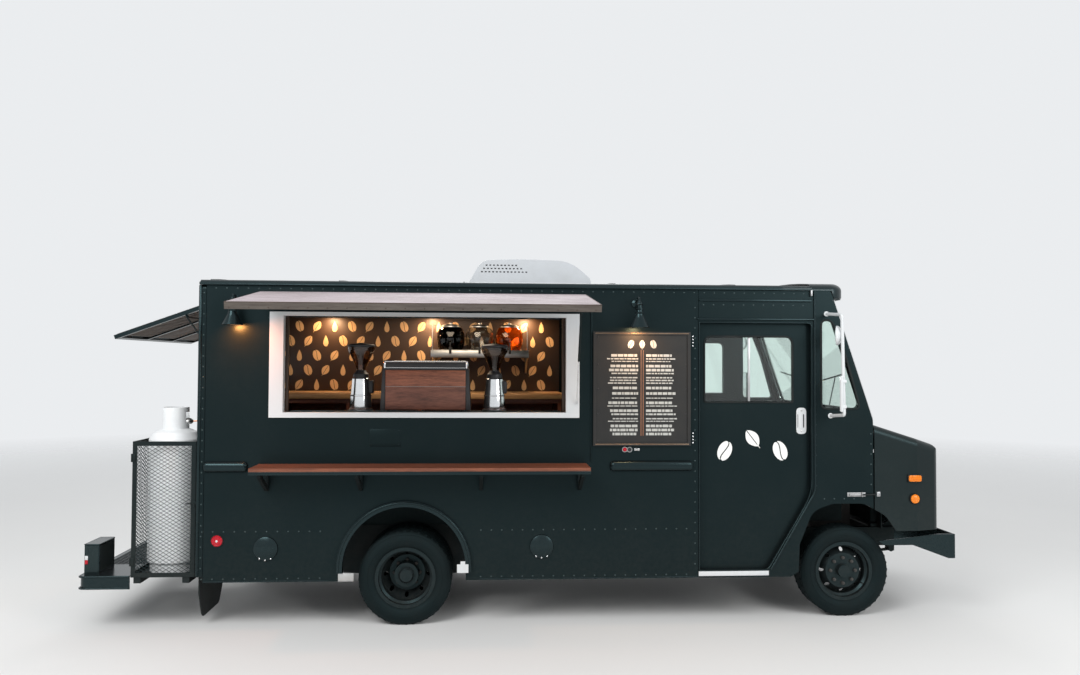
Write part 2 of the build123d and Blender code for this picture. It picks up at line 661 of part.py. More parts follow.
def arch_flare():
    """The raised lip round the left rear wheel opening."""
    ring = arch_cut(ARCH_RADIUS + FLARE_WIDTH) - arch_cut(ARCH_RADIUS)
    ring -= Pos(0, FLARE_FOOT_Z - 300) * Rectangle(1200, 600)
    lip = across(ring, HALF_WIDTH + 0.3, HALF_WIDTH + FLARE_PROUD)
    return lip


def rear_wall():
    """The wall across the back, with the hatch under its flap and the door below it."""
    face = outline([(-HALF_WIDTH, SKIRT_LOW + 40), (HALF_WIDTH, SKIRT_LOW + 40), (HALF_WIDTH, GUTTER_Z),
                    (-HALF_WIDTH, GUTTER_Z)], [0, 0, 30, 30])
    face -= outline([(-HATCH_HALF, HATCH_Z[0]), (HATCH_HALF, HATCH_Z[0]), (HATCH_HALF, HATCH_Z[1]),
                     (-HATCH_HALF, HATCH_Z[1])], 25)
    wall = along(face, BODY_REAR, BODY_REAR + WALL - PANEL_GAP)
    for side in (1, -1):
        notch = inside(side, RAIL_Y - RAIL_FLANGE / 2 - 5, RAIL_Y + RAIL_FLANGE / 2 + 5)
        wall -= block((BODY_REAR - 1, BODY_REAR + WALL), notch, (SKIRT_LOW, RAIL_TOP + 5))
    for z in (800.0, 1110.0, 1420.0):
        wall += block((BODY_REAR - 8, BODY_REAR + 1), (-HALF_WIDTH + 90, HALF_WIDTH - 90), (z, z + 60))
    hinge_x = BODY_REAR - FLAP_HINGE_OUT
    for y in FLAP_HINGE_Y:
        wall += block((hinge_x - 9, BODY_REAR + 1), (y - 30, y - 14), (FLAP_HINGE_Z - 9, FLAP_HINGE_Z + 9))
        wall += rod((hinge_x, y - 20, FLAP_HINGE_Z), (hinge_x, y + 14, FLAP_HINGE_Z), AWNING_PIN)
    for side in (1, -1):
        wall += block((BODY_REAR - 8 + SEAT, BODY_REAR + 1), inside(side, FLAP_ARM_Y - 12, FLAP_ARM_Y + 12),
                      (1910.0, 2110.0))
    return wall


def roof_section(inset):
    """Half-round shoulders and a shallow crown, open below."""
    half = HALF_WIDTH + 6 - inset
    edge = ROOF_EDGE_Z - inset
    crown = ROOF_CROWN_Z - inset
    low = GUTTER_Z - (200 if inset else 0)
    edges = [Line((-half, low), (-half, edge - 30)), ThreePointArc((-half, edge - 30), (-half + 14, edge - 8),
             (-half + 50, edge)), ThreePointArc((-half + 50, edge), (0, crown), (half - 50, edge)),
             ThreePointArc((half - 50, edge), (half - 14, edge - 8), (half, edge - 30)),
             Line((half, edge - 30), (half, low)), Line((half, low), (-half, low))]
    return make_face(edges)


ROOF_FRONT = 3060.0
GUTTER_PROUD = 20.0


def roof():
    """Crowned roof skin with bows under it and a rain gutter down each side."""
    skin = along(roof_section(0), BODY_REAR - 8, ROOF_FRONT)
    skin -= along(roof_section(ROOF_SKIN), BODY_REAR - 9, ROOF_FRONT + 1)
    low = GUTTER_Z + 0.3
    skin -= block((BODY_REAR - 20, ROOF_FRONT + 2), (-2000, 2000), (low - 500, low))
    for side in (1, -1):
        skin += block((BODY_REAR - 8, ROOF_FRONT), inside(side, HALF_WIDTH + 5, HALF_WIDTH + GUTTER_PROUD),
                      (low, low + 8))
        skin += block((BODY_REAR - 8, ROOF_FRONT), inside(side, HALF_WIDTH + GUTTER_PROUD - 4,
                      HALF_WIDTH + GUTTER_PROUD), (low, low + 20))
    return skin


CAP_FRONT = 3338.0
CAP_LIP_Z = 2448.0
CAP_BROW = 82.0
CAP_LIP_ROUND = 30.0
CAP_CORNER = 120.0
CAP_INNER_BROW = 30.0


def cap_form(inset, low, lip_round, brow):
    """The cap's outside, or the form inside its skin, down to the height low."""
    front = CAP_FRONT - inset
    top = ROOF_CROWN_Z - 26 - inset
    half = HALF_WIDTH + 6 - inset
    rear = ROOF_FRONT + 2 - inset
    side = outline([(rear, low), (front, low), (front, top), (rear, top + 26)],
                   [0, lip_round, brow, 0])
    plan = outline([(rear, -half), (front, -half), (front, half), (rear, half)],
                   [0, CAP_CORNER - inset, CAP_CORNER - inset, 0])
    return across(side, -half, half) & upward(plan, 2000.0, 3000.0)


def front_cap():
    """The rounded cap over the windshield, hollow above its lip."""
    half = HALF_WIDTH + 6
    joint = GUTTER_Z + SEAT
    hollow = cap_form(ROOF_SKIN, joint - 1, 0.0, CAP_INNER_BROW)
    hollow = hollow & along(roof_section(ROOF_SKIN), ROOF_FRONT - 50, CAP_FRONT)
    cap = cap_form(0.0, CAP_LIP_Z, CAP_LIP_ROUND, CAP_BROW) - hollow
    crown = along(roof_section(0), ROOF_FRONT + 2, CAP_FRONT + 50)
    crown += block((ROOF_FRONT + 2, CAP_FRONT + 50), (-half, half), (CAP_LIP_Z - 10, GUTTER_Z + 1))
    behind = outline([(ROOF_FRONT - 50, CAP_LIP_Z - 10), (screen_x(CAP_LIP_Z - 10) + 1, CAP_LIP_Z - 10),
                      (screen_x(joint) + 1, joint), (ROOF_FRONT - 50, joint)])
    return (cap & crown) - across(behind, -2000.0, 2000.0)


# Cab

PILLAR_SETBACK = 3.0
FRONT_ARCH = [(2955.0, 300.0), (2968.0, 590.0), (3070.0, 838.0), (3220.0, 893.0), (3470.0, 893.0),
              (3640.0, 800.0), (3760.0, 640.0), (3760.0, 300.0)]
FRONT_ARCH_RADII = [0, 60.0, 140.0, 160.0, 160.0, 140.0, 60.0, 0]
QUARTER_GLASS = [(3140.0, 1612.0), (3442.0, 1612.0), (3330.0, 2020.0), (3222.0, 2288.0), (3140.0, 2288.0)]


def screen_x(z):
    """The windshield's outer face at a height, on its slope between top and foot."""
    foot = 1527.0
    share = (z - foot) / (2450.0 - foot)
    return CAB_FRONT_LOW + (CAB_FRONT_TOP - CAB_FRONT_LOW) * share


def door_opening(grow):
    """The doorway's outline, grown by a lap on every side."""
    knee_x, knee_z = DOOR_KNEE
    return outline([(DOOR_REAR + DOOR_JAMB - grow, DOOR_LOW - grow), (DOOR_TOE_X + grow * 0.5, DOOR_LOW - grow),
                    (knee_x + grow, knee_z - grow * 0.4), (knee_x + grow, DOOR_TOP + grow),
                    (DOOR_REAR + DOOR_JAMB - grow, DOOR_TOP + grow)], [10, 30, 120, 30, 10])


def cab_side():
    """Left cab side: header, door surround, quarter window and the front arch."""
    front = CAB_FRONT_LOW - PILLAR_SETBACK
    face = outline([(DOOR_REAR + PANEL_GAP, SKIRT_LOW), (2900.0, SKIRT_LOW), (front, 760.0), (front, 1500.0),
                    (screen_x(1527.0) - 4, 1527.0), (screen_x(GUTTER_Z - 20) - 4, GUTTER_Z - 20),
                    (screen_x(GUTTER_Z) - 10, GUTTER_Z), (DOOR_REAR + PANEL_GAP, GUTTER_Z)])
    face -= outline(FRONT_ARCH, FRONT_ARCH_RADII)
    face -= door_opening(0.0)
    face -= outline(QUARTER_GLASS, 45.0)
    side = across(face, HALF_WIDTH - WALL, HALF_WIDTH)
    return side + door_track(DOOR_REAR + PANEL_GAP, DOOR_FRONT)


SCREEN_FRAME = 40.0
SCREEN_HALF = HALF_WIDTH - WALL - 0.3


def screen_slab(face, inset_out, inset_in):
    """A face drawn as (y, height along the slope) laid on the windshield's slope."""
    foot = Vector(CAB_FRONT_LOW, 0, 1527.0)
    slope = Vector(CAB_FRONT_TOP - CAB_FRONT_LOW, 0, 2450.0 - 1527.0).normalized()
    outward = Vector(slope.Z, 0, -slope.X)
    plane = Plane(origin=foot - outward * inset_out, x_dir=(0, 1, 0), z_dir=outward)
    return extrude(plane * face, amount=-(inset_in - inset_out))


SCREEN_RUN = math.hypot(CAB_FRONT_TOP - CAB_FRONT_LOW, 2450.0 - 1527.0)
PANE_INNER = 35.0
PANE_OUTER = 940.0
PANE_LOW = 70.0
PANE_HIGH = SCREEN_RUN - 70.0


def pane(side, grow):
    """One flat windshield pane as (y, height along the slope)."""
    near, far = inside(side, PANE_INNER - grow, PANE_OUTER + grow)
    return outline([(near, PANE_LOW - grow), (far, PANE_LOW - grow), (far, PANE_HIGH + grow),
                    (near, PANE_HIGH + grow)], 50.0)


def cowl():
    """Windshield surround, firewall below it and the dashboard shelf inside."""
    surround = outline([(-SCREEN_HALF, -6.0), (SCREEN_HALF, -6.0), (SCREEN_HALF, SCREEN_RUN - 2),
                        (-SCREEN_HALF, SCREEN_RUN - 2)])
    for side in (1, -1):
        surround -= pane(side, 0.0)
    shell = screen_slab(surround, 0.0, SCREEN_FRAME)
    shell += block((CAB_FRONT_LOW - 22, CAB_FRONT_LOW - 3), (-SCREEN_HALF, SCREEN_HALF), (905.0, 1530.0))
    shell += block((CAB_FRONT_LOW - 22, CAB_FRONT_LOW - 3), (-FRONT_HOUSE_Y + 20, FRONT_HOUSE_Y - 20),
                   (665.0, 906.0))
    for side in (1, -1):
        shell -= block((CAB_FRONT_LOW - 30, CAB_FRONT_LOW), inside(side, 930.0, 1200.0), (600.0, 905.0))
    shell -= block((CAB_FRONT_LOW - 60, CAB_FRONT_LOW + 10), (-COVER_HALF, COVER_HALF), (500.0, 1108.0))
    dash = outline([(3270.0, 1300.0), (3270.0, 1420.0), (3330.0, 1470.0), (3524.0, 1500.0), (3524.0, 1300.0)])
    shell += across(dash, -SCREEN_HALF + 30, SCREEN_HALF - 30)
    return shell - steering_pose() * Pos(0, 0, -200.0) * Cylinder(COLUMN_RADIUS + 0.3, 500.0)


def cab_glass():
    """Two windshield panes and the two quarter windows."""
    panes = [screen_slab(pane(side, -0.3), 16.0, 22.0) for side in (1, -1)]
    quarter = offset(outline(QUARTER_GLASS, 45.0), amount=-0.3)
    quarter_pane = across(quarter, HALF_WIDTH - 22, HALF_WIDTH - 16)
    return panes + pair(quarter_pane)


ROLLER_X = (2330.0, 2950.0)
ROLLER_RADIUS = 11.0
ROLLER_Z = TRACK_LIP_Z + 4 + ROLLER_RADIUS + 0.2


def door_leaf(side):
    """A sliding cab door, flush panel with a glazed opening and its handle."""
    face = door_opening(DOOR_LAP)
    face -= outline([(DOOR_GLASS_X[0], DOOR_GLASS_Z[0]), (DOOR_GLASS_X[1], DOOR_GLASS_Z[0]),
                     (DOOR_GLASS_X[1], DOOR_GLASS_Z[1]), (DOOR_GLASS_X[0], DOOR_GLASS_Z[1])],
                    [8, 8, 55, 55])
    outer = HALF_WIDTH - WALL - DOOR_SETBACK
    leaf = across(face, outer - DOOR_LEAF, outer)
    hanger_y = sum(TRACK_SLOT_Y) / 2
    for x in ROLLER_X:
        leaf += block((x - 14, x + 14), (hanger_y - 3, hanger_y + 3), (DOOR_TOP, ROLLER_Z + 4))
        leaf += rod((x, TRACK_INNER_Y + 6, ROLLER_Z), (x, HALF_WIDTH - WALL - 6, ROLLER_Z), ROLLER_RADIUS)
    return leaf if side > 0 else mirrored(leaf)


def door_pane(side):
    """The sliding door's glass."""
    pane_face = outline([(DOOR_GLASS_X[0] + 0.3, DOOR_GLASS_Z[0] + 0.3),
                         (DOOR_GLASS_X[1] - 0.3, DOOR_GLASS_Z[0] + 0.3),
                         (DOOR_GLASS_X[1] - 0.3, DOOR_GLASS_Z[1] - 0.3),
                         (DOOR_GLASS_X[0] + 0.3, DOOR_GLASS_Z[1] - 0.3)], [8, 8, 55, 55])
    outer = HALF_WIDTH - WALL - DOOR_SETBACK
    sheet = across(pane_face, outer - 20, outer - 14)
    return sheet if side > 0 else mirrored(sheet)


# Nose

# x of each upright section of the nose, and how far its side stands in from the widest
NOSE_SECTIONS = [(NOSE_SEAM, 0.0), (3900.0, 12.0), (NOSE_FRONT + 20.0, 78.0)]
TRIM_PROUD = 1.0


def nose_top(x):
    """Height of the hood at a distance along the truck."""
    share = (x - NOSE_SEAM) / (NOSE_FRONT - NOSE_SEAM)
    return NOSE_TOP_REAR + (NOSE_TOP_FRONT - NOSE_TOP_REAR) * share


def nose_half(x):
    """Half the nose's width in front of its middle section."""
    (start, narrow), (end, narrower) = NOSE_SECTIONS[1:]
    return NOSE_HALF - narrow - (narrower - narrow) * (x - start) / (end - start)


def nose_section(x, half, top, low, shoulder):
    """An upright section of the nose with rounded upper corners."""
    face = outline([(-half, low), (half, low), (half, top), (-half, top)], [0, 0, shoulder, shoulder])
    return Plane(origin=(x, 0, 0), x_dir=(0, 1, 0), z_dir=(1, 0, 0)) * face


def nose_form(inset, open_rear):
    """The hood and fenders as one form: rounded sections, then the brow and the front corners."""
    rear = NOSE_SEAM - (60 if open_rear else 0)
    front = NOSE_FRONT - inset
    low = NOSE_LOW - (200 if open_rear else 0)
    sections = []
    for count, (x, narrow) in enumerate(NOSE_SECTIONS):
        at = rear if count == 0 else x
        sections.append(nose_section(at, NOSE_HALF - narrow - inset, nose_top(at) - inset, low,
                                     NOSE_SHOULDER - inset))
    form = loft(sections, ruled=True)
    proud = TRIM_PROUD - inset
    side = outline([(rear - 1, low - 1), (front, low - 1), (front, nose_top(NOSE_FRONT) + proud),
                    (rear - 1, nose_top(rear - 1) + proud)], [0, 0, NOSE_BROW - inset, 0])
    bend = NOSE_SECTIONS[1][0] - 1
    wide = NOSE_HALF + 200
    near = nose_half(bend) + proud
    far = nose_half(NOSE_FRONT) + proud
    corner = NOSE_CORNER - inset
    plan = outline([(rear - 1, -wide), (bend, -wide), (bend, -near), (front, -far), (front, far), (bend, near),
                    (bend, wide), (rear - 1, wide)], [0, 0, 0, corner, corner, 0, 0, 0])
    return form & across(side, -2000.0, 2000.0) & upward(plan, 0.0, 2000.0)


GRILLE_HALF = 470.0
GRILLE_Z = (800.0, 1190.0)
GRILLE_BARS = 7
HEADLAMP_Y = 740.0
HEADLAMP_Z = 1000.0
HEADLAMP_RADIUS = 92.0
NOSE_EAR = [(4088.0, 692.0), (4088.0, 790.0), (4060.0, 790.0), (4002.0, 673.0), (4002.0, 637.0), (4036.0, 637.0)]


def nose():
    """Tilting nose: hollow hood and fenders with its grille bars and lamp openings."""
    shell = nose_form(0.0, False) - nose_form(NOSE_SKIN, True)
    arch = across(outline(FRONT_ARCH, FRONT_ARCH_RADII), -2000.0, 2000.0)
    shell -= arch
    shell -= block((NOSE_FRONT - 80, NOSE_FRONT + 10), (-GRILLE_HALF, GRILLE_HALF), GRILLE_Z)
    pitch = (GRILLE_Z[1] - GRILLE_Z[0]) / GRILLE_BARS
    for count in range(GRILLE_BARS - 1):
        z = GRILLE_Z[0] + pitch * (count + 1)
        shell += block((NOSE_FRONT - NOSE_SKIN, NOSE_FRONT - 2), (-GRILLE_HALF - 2, GRILLE_HALF + 2),
                       (z - 9, z + 9))
    for side in (1, -1):
        shell -= rod((NOSE_FRONT - 80, side * HEADLAMP_Y, HEADLAMP_Z),
                     (NOSE_FRONT + 10, side * HEADLAMP_Y, HEADLAMP_Z), HEADLAMP_RADIUS)
        ear = across(outline(NOSE_EAR), *inside(side, RAIL_Y + 12, RAIL_Y + 24))
        shell += ear - rod((NOSE_HINGE[0], side * RAIL_Y, NOSE_HINGE[1]),
                           (NOSE_HINGE[0], side * (RAIL_Y + 40), NOSE_HINGE[1]), HINGE_PIN + SHAFT_CLEARANCE)
    return shell


LENS_DEPTH = 56.0
LENS_SUNK = 4.0


def lamps():
    """The two round headlamps in the nose's front."""
    rear = NOSE_FRONT - LENS_SUNK - LENS_DEPTH
    lens = rod((rear, HEADLAMP_Y, HEADLAMP_Z), (NOSE_FRONT - LENS_SUNK, HEADLAMP_Y, HEADLAMP_Z),
               HEADLAMP_RADIUS - SEAT)
    return pair(lens)


AMBER_X = 3873.0
AMBER_MARKER_Z = 1081.0
AMBER_MARKER_HALF = (51.0, 26.0)
AMBER_ROUND_Z = 925.0
AMBER_ROUND_RADIUS = 39.0
AMBER_PROUD = 14.0


def amber_lamps():
    """A rectangular marker and a round lamp on each side of the nose."""
    span = (NOSE_HALF - 40, NOSE_HALF + AMBER_PROUD)
    across_half, up_half = AMBER_MARKER_HALF
    marker = block((AMBER_X - across_half, AMBER_X + across_half), span,
                   (AMBER_MARKER_Z - up_half, AMBER_MARKER_Z + up_half))
    round_lamp = rod((AMBER_X, span[0], AMBER_ROUND_Z), (AMBER_X, span[1], AMBER_ROUND_Z), AMBER_ROUND_RADIUS)
    body = nose_form(-SEAT, False)
    return pair(marker - body) + pair(round_lamp - body)


FRONT_BUMPER_X = 4202.0
FRONT_BUMPER_HALF = 1010.0
FRONT_BUMPER_PLATE = 12.0
FRONT_BUMPER_Z = (465.0, 650.0)
BRACKET_HALF = 32.0
BRACKET_Z = (480.0, 590.0)
# Side view of an end plate from its tip, by the bottom
BUMPER_END = [(3600.0, 600.0), (3640.0, 568.0), (3868.0, 568.0), (4150.0, FRONT_BUMPER_Z[0]),
              (FRONT_BUMPER_X, FRONT_BUMPER_Z[0]), (FRONT_BUMPER_X, FRONT_BUMPER_Z[1]),
              (4060.0, FRONT_BUMPER_Z[1]), (3816.0, 622.0)]


def front_bumper():
    """A black channel across the front, with a tapered plate turned back at each end."""
    rear = FRONT_BUMPER_X - FRONT_BUMPER_PLATE
    bar = block((rear, FRONT_BUMPER_X), (-FRONT_BUMPER_HALF, FRONT_BUMPER_HALF), FRONT_BUMPER_Z)
    for side in (1, -1):
        end = inside(side, FRONT_BUMPER_HALF - FRONT_BUMPER_PLATE, FRONT_BUMPER_HALF)
        bar += across(outline(BUMPER_END), *end)
        bar += block((RAIL_FRONT + SEAT, rear + 1), inside(side, RAIL_Y - BRACKET_HALF, RAIL_Y + BRACKET_HALF),
                     BRACKET_Z)
    return bar


# Serving side

AWNING_TURN = math.radians(AWNING_SLOPE)
STAY_HEAD = (-AWNING_HINGE_Y - AWNING_PIN_OUT * math.cos(AWNING_TURN) + PIN_OFFSET * math.sin(AWNING_TURN),
             AWNING_HINGE_Z - AWNING_PIN_OUT * math.sin(AWNING_TURN) - PIN_OFFSET * math.cos(AWNING_TURN))
STAY_FOOT = (-AWNING_HINGE_Y + PIN_OFFSET, STAY_FOOT_Z)
STAY_RUN = math.dist(STAY_HEAD, STAY_FOOT)

def window_frame():
    """White frame round the serving window, with a lining through the wall."""
    face = -HALF_WIDTH
    outer = block((WINDOW_X[0] - FRAME_SIDE, WINDOW_X[1] + FRAME_SIDE), (face - FRAME_PROUD, face - 0.3),
                  (WINDOW_Z[0] - FRAME_LOW, WINDOW_Z[1] + FRAME_TOP))
    sleeve = block((WINDOW_X[0] - LINING + 0.3, WINDOW_X[1] + LINING - 0.3), (face - 1, face + WALL + 8),
                   (WINDOW_Z[0] - LINING + 0.3, WINDOW_Z[1] + LINING - 0.3))
    hole = block(WINDOW_X, (face - 50, face + 100), WINDOW_Z)
    ear = block((STAY_X + 8, STAY_X + 16), (STAY_FOOT[0] - 8, face - FRAME_PROUD + 1),
                (STAY_FOOT_Z - 8, STAY_FOOT_Z + 8))
    ear += rod((STAY_X - 7, *STAY_FOOT), (STAY_X + 10, *STAY_FOOT), STAY_PIN)
    return outer + sleeve - hole + ear


def serving_counter():
    """The wooden shelf outside the window."""
    wall_face = -HALF_WIDTH - 0.3
    board = block(COUNTER_X, (wall_face - COUNTER_DEPTH, wall_face), (COUNTER_TOP - COUNTER_THICK, COUNTER_TOP))
    return board


BRACKET_X = [-1000.0, -320.0, 560.0, 1290.0]


def counter_brackets():
    """Angle brackets under the shelf, each a triangle with a hole in it."""
    pieces = []
    top = COUNTER_TOP - COUNTER_THICK - 0.3
    wall_face = -HALF_WIDTH - 0.3
    for x in BRACKET_X:
        triangle = [(wall_face, top), (wall_face - 260, top), (wall_face - 260, top - 24),
                    (wall_face - 24, top - 150), (wall_face, top - 150)]
        hole = [(wall_face - 20, top - 20), (wall_face - 190, top - 20), (wall_face - 20, top - 115)]
        pieces.append(along(outline(triangle) - outline(hole), x - 12, x + 12))
    return pieces


def awning():
    """The raised top-hinged panel over the window: frame below, boards on top."""
    hinge_y = -AWNING_HINGE_Y
    z = AWNING_HINGE_Z
    panel = block(AWNING_X, (hinge_y - AWNING_LENGTH, hinge_y - 14), (z, z + AWNING_THICK))
    panel -= block((AWNING_X[0] + 40, AWNING_X[1] - 40), (hinge_y - AWNING_LENGTH + 40, hinge_y - 54),
                   (z - 1, z + AWNING_THICK - 18))
    for count in range(1, 4):
        x = AWNING_X[0] + (AWNING_X[1] - AWNING_X[0]) * count / 4
        panel += block((x - 20, x + 20), (hinge_y - AWNING_LENGTH + 30, hinge_y - 40), (z, z + AWNING_THICK - 10))
    pin_y = hinge_y - AWNING_PIN_OUT
    panel += block((STAY_X + 14, STAY_X + 22), (pin_y - 14, pin_y + 14), (z - PIN_OFFSET - 10, z + 2))
    panel += rod((STAY_X - 8, pin_y, z - PIN_OFFSET), (STAY_X + 16, pin_y, z - PIN_OFFSET), 4.0)
    for x in AWNING_HINGE_X:
        panel += block((x - 10, x + 10), (hinge_y - 20, hinge_y + 9), (z - 9, z + 9))
        panel -= rod((x - 40, hinge_y, z), (x + 40, hinge_y, z), AWNING_PIN + SHAFT_CLEARANCE)
    return lean(panel, hinge_y, z, AWNING_SLOPE)


def stay_point(distance):
    """A point on the stay's line, measured down from its upper pin."""
    share = distance / STAY_RUN
    y = STAY_HEAD[0] + (STAY_FOOT[0] - STAY_HEAD[0]) * share
    z = STAY_HEAD[1] + (STAY_FOOT[1] - STAY_HEAD[1]) * share
    return (STAY_X, y, z)


def awning_stay_tube():
    """The stay's upper cylinder, its eye on the awning's pin."""
    tube = rod(stay_point(5.0), stay_point(STAY_TUBE_LENGTH), STAY_TUBE_RADIUS)
    eye = rod((STAY_X - 6, STAY_HEAD[0], STAY_HEAD[1]), (STAY_X + 6, STAY_HEAD[0], STAY_HEAD[1]), 9.0)
    tube += eye
    tube -= rod(stay_point(40.0), stay_point(STAY_TUBE_LENGTH + 5), STAY_ROD_RADIUS + SHAFT_CLEARANCE)
    tube -= rod((STAY_X - 40, STAY_HEAD[0], STAY_HEAD[1]), (STAY_X + 40, STAY_HEAD[0], STAY_HEAD[1]),
                4.0 + SHAFT_CLEARANCE)
    return tube


def awning_stay_rod():
    """The stay's lower rod, its eye at the window frame."""
    bar = rod(stay_point(STAY_RUN - STAY_ROD_LENGTH), stay_point(STAY_RUN - 6), STAY_ROD_RADIUS)
    bar += rod((STAY_X - 5, *STAY_FOOT), (STAY_X + 5, *STAY_FOOT), 8.0)
    return bar - rod((STAY_X - 40, *STAY_FOOT), (STAY_X + 40, *STAY_FOOT), STAY_PIN + SHAFT_CLEARANCE)


MENU_X = (1391.0, 2127.0)
MENU_Z = (1335.0, 2188.0)


def menu_board():
    """A framed slate board on the wall."""
    wall_face = -HALF_WIDTH - 0.3
    board = block(MENU_X, (wall_face - 24, wall_face), MENU_Z)
    board -= block((MENU_X[0] + 24, MENU_X[1] - 24), (wall_face - 30, wall_face - 16),
                   (MENU_Z[0] + 24, MENU_Z[1] - 24))
    return board


def wall_lamp(x, z_mount, reach, drop):
    """A cone shade on a bent arm, lighting the wall below it."""
    face = -HALF_WIDTH - 0.3
    lamp = rod((x, face, z_mount), (x, face - 12, z_mount), 32.0)
    path = FilletPolyline((x, face - 6, z_mount), (x, face - reach, z_mount + 30),
                          (x, face - reach, z_mount - drop + 60), radius=0.3 * min(reach, drop))
    lamp += sweep(Plane(origin=path @ 0, z_dir=path % 0) * Circle(7.0), path=path)
    top = z_mount - drop + 75
    cone = Solid.make_cone(70.0, 22.0, 100.0, Plane(origin=(x, face - reach, top - 100)))
    hollow = Solid.make_cone(66.0, 18.0, 98.0, Plane(origin=(x, face - reach, top - 102)))
    return lamp + (cone - hollow)


def wall_lamps():
    """The lamp over the menu board and the one beside the awning."""
    return [wall_lamp(1725.0, 2405.0, 150.0, 130.0), wall_lamp(-1235.0, 2400.0, 110.0, 80.0)]


# Rear end

TANK_RADIUS = 187.0
TANK_TOP = 1460.0
COLLAR_RADIUS = 94.0
COLLAR_TOP = 1606.0


CAGE_PLATE = 4.0
CAGE_FOOT_HALF = (12.0, 20.0)
CAGE_FOOT_Z = (520.0, 1300.0)


def gas_cage():
    """Angle-iron cage for the gas cylinder, open at the top, bolted to the rear wall."""
    cage = block(CAGE_X, CAGE_Y, CAGE_Z)
    cage -= block((CAGE_X[0] + CAGE_PLATE, CAGE_X[1] - CAGE_PLATE), (CAGE_Y[0] + CAGE_PLATE, CAGE_Y[1] - CAGE_PLATE),
                  (CAGE_Z[0] + CAGE_PLATE + 2, CAGE_Z[1] + 10))
    between = (CAGE_Z[0] + CAGE_POST, CAGE_Z[1] - CAGE_POST)
    cage -= block((CAGE_X[0] + CAGE_POST, CAGE_X[1] - CAGE_POST), (CAGE_Y[0] - 9, CAGE_Y[1] + 9), between)
    cage -= block((CAGE_X[0] - 9, CAGE_X[1] + 9), (CAGE_Y[0] + CAGE_POST, CAGE_Y[1] - CAGE_POST), between)
    half_width, half_height = CAGE_FOOT_HALF
    for y in (CAGE_Y[0] + CAGE_POST / 2, CAGE_Y[1] - CAGE_POST / 2):
        for z in CAGE_FOOT_Z:
            cage += block((CAGE_X[1] - CAGE_PLATE, BODY_REAR - SEAT), (y - half_width, y + half_width),
                          (z - half_height, z + half_height))
    return cage


TANK_CENTRE = (-1737.0, -800.0)


def gas_cylinder():
    """Upright gas cylinder with foot ring, domed top, collar and valve."""
    x, y = TANK_CENTRE
    foot = CAGE_Z[0] + 6.3
    profile = [(0.0, foot + 30), (TANK_RADIUS - 60, foot + 22), (TANK_RADIUS, foot + 80),
               (TANK_RADIUS, TANK_TOP - 90), (TANK_RADIUS - 30, TANK_TOP - 40), (60.0, TANK_TOP), (0.0, TANK_TOP)]
    face = Plane.XZ * make_face(Polyline(*profile, close=True))
    body = Pos(x, y, 0) * revolve(face, Axis.Z, 360)
    ring = Pos(x, y, foot + 40) * (Cylinder(TANK_RADIUS - 20, 80) - Cylinder(TANK_RADIUS - 24, 81))
    collar_low = TANK_TOP - 16
    collar = rod((x, y, collar_low), (x, y, COLLAR_TOP), COLLAR_RADIUS)
    collar -= rod((x, y, collar_low - 1), (x, y, COLLAR_TOP + 1), COLLAR_RADIUS - 4)
    collar -= block((x - 200, x + 200), (y - 40, y + 40), (TANK_TOP + 40, TANK_TOP + 110))
    valve = Pos(x, y, TANK_TOP + 55) * Cylinder(20.0, 120)
    return body + ring + collar + valve


BUMPER_SKIN = 6.0
BUMPER_CORNER = 60.0
MESH_BOX_X = (-2320.0, -2215.0)
MESH_BOX_Y = (-962.0, -690.0)
MESH_BOX_TOP = 616.0
MESH_BOX_SKIN = 4.0


def bumper_plan(inset):
    """The step's outline from above, its outer corners rounded."""
    rear = BUMPER_REAR + inset
    front = BUMPER_REAR + BUMPER_DEPTH + (1 if inset else 0)
    half = BUMPER_HALF - inset
    corner = BUMPER_CORNER - inset
    return outline([(rear, -half), (front, -half), (front, half), (rear, half)], [corner, 0, 0, corner])


def rear_bumper():
    """Step bumper, open below, with the small mesh box on its right end."""
    step = upward(bumper_plan(0.0), *BUMPER_Z)
    step -= upward(bumper_plan(BUMPER_SKIN), BUMPER_Z[0] - 1, BUMPER_Z[1] - BUMPER_SKIN)
    for side in (1, -1):
        step += block((BUMPER_REAR + 3, BUMPER_REAR + BUMPER_DEPTH - BUMPER_BRACKET_GAP),
                      inside(side, RAIL_Y - 30, RAIL_Y + 30), (BUMPER_Z[0] + 20, BUMPER_Z[1] - 5))
    box = block(MESH_BOX_X, MESH_BOX_Y, (BUMPER_Z[1] - 1, MESH_BOX_TOP))
    box -= block((MESH_BOX_X[0] + MESH_BOX_SKIN, MESH_BOX_X[1] - MESH_BOX_SKIN),
                 (MESH_BOX_Y[0] + MESH_BOX_SKIN, MESH_BOX_Y[1] - MESH_BOX_SKIN),
                 (BUMPER_Z[1] + MESH_BOX_SKIN, MESH_BOX_TOP - MESH_BOX_SKIN))
    return step + box


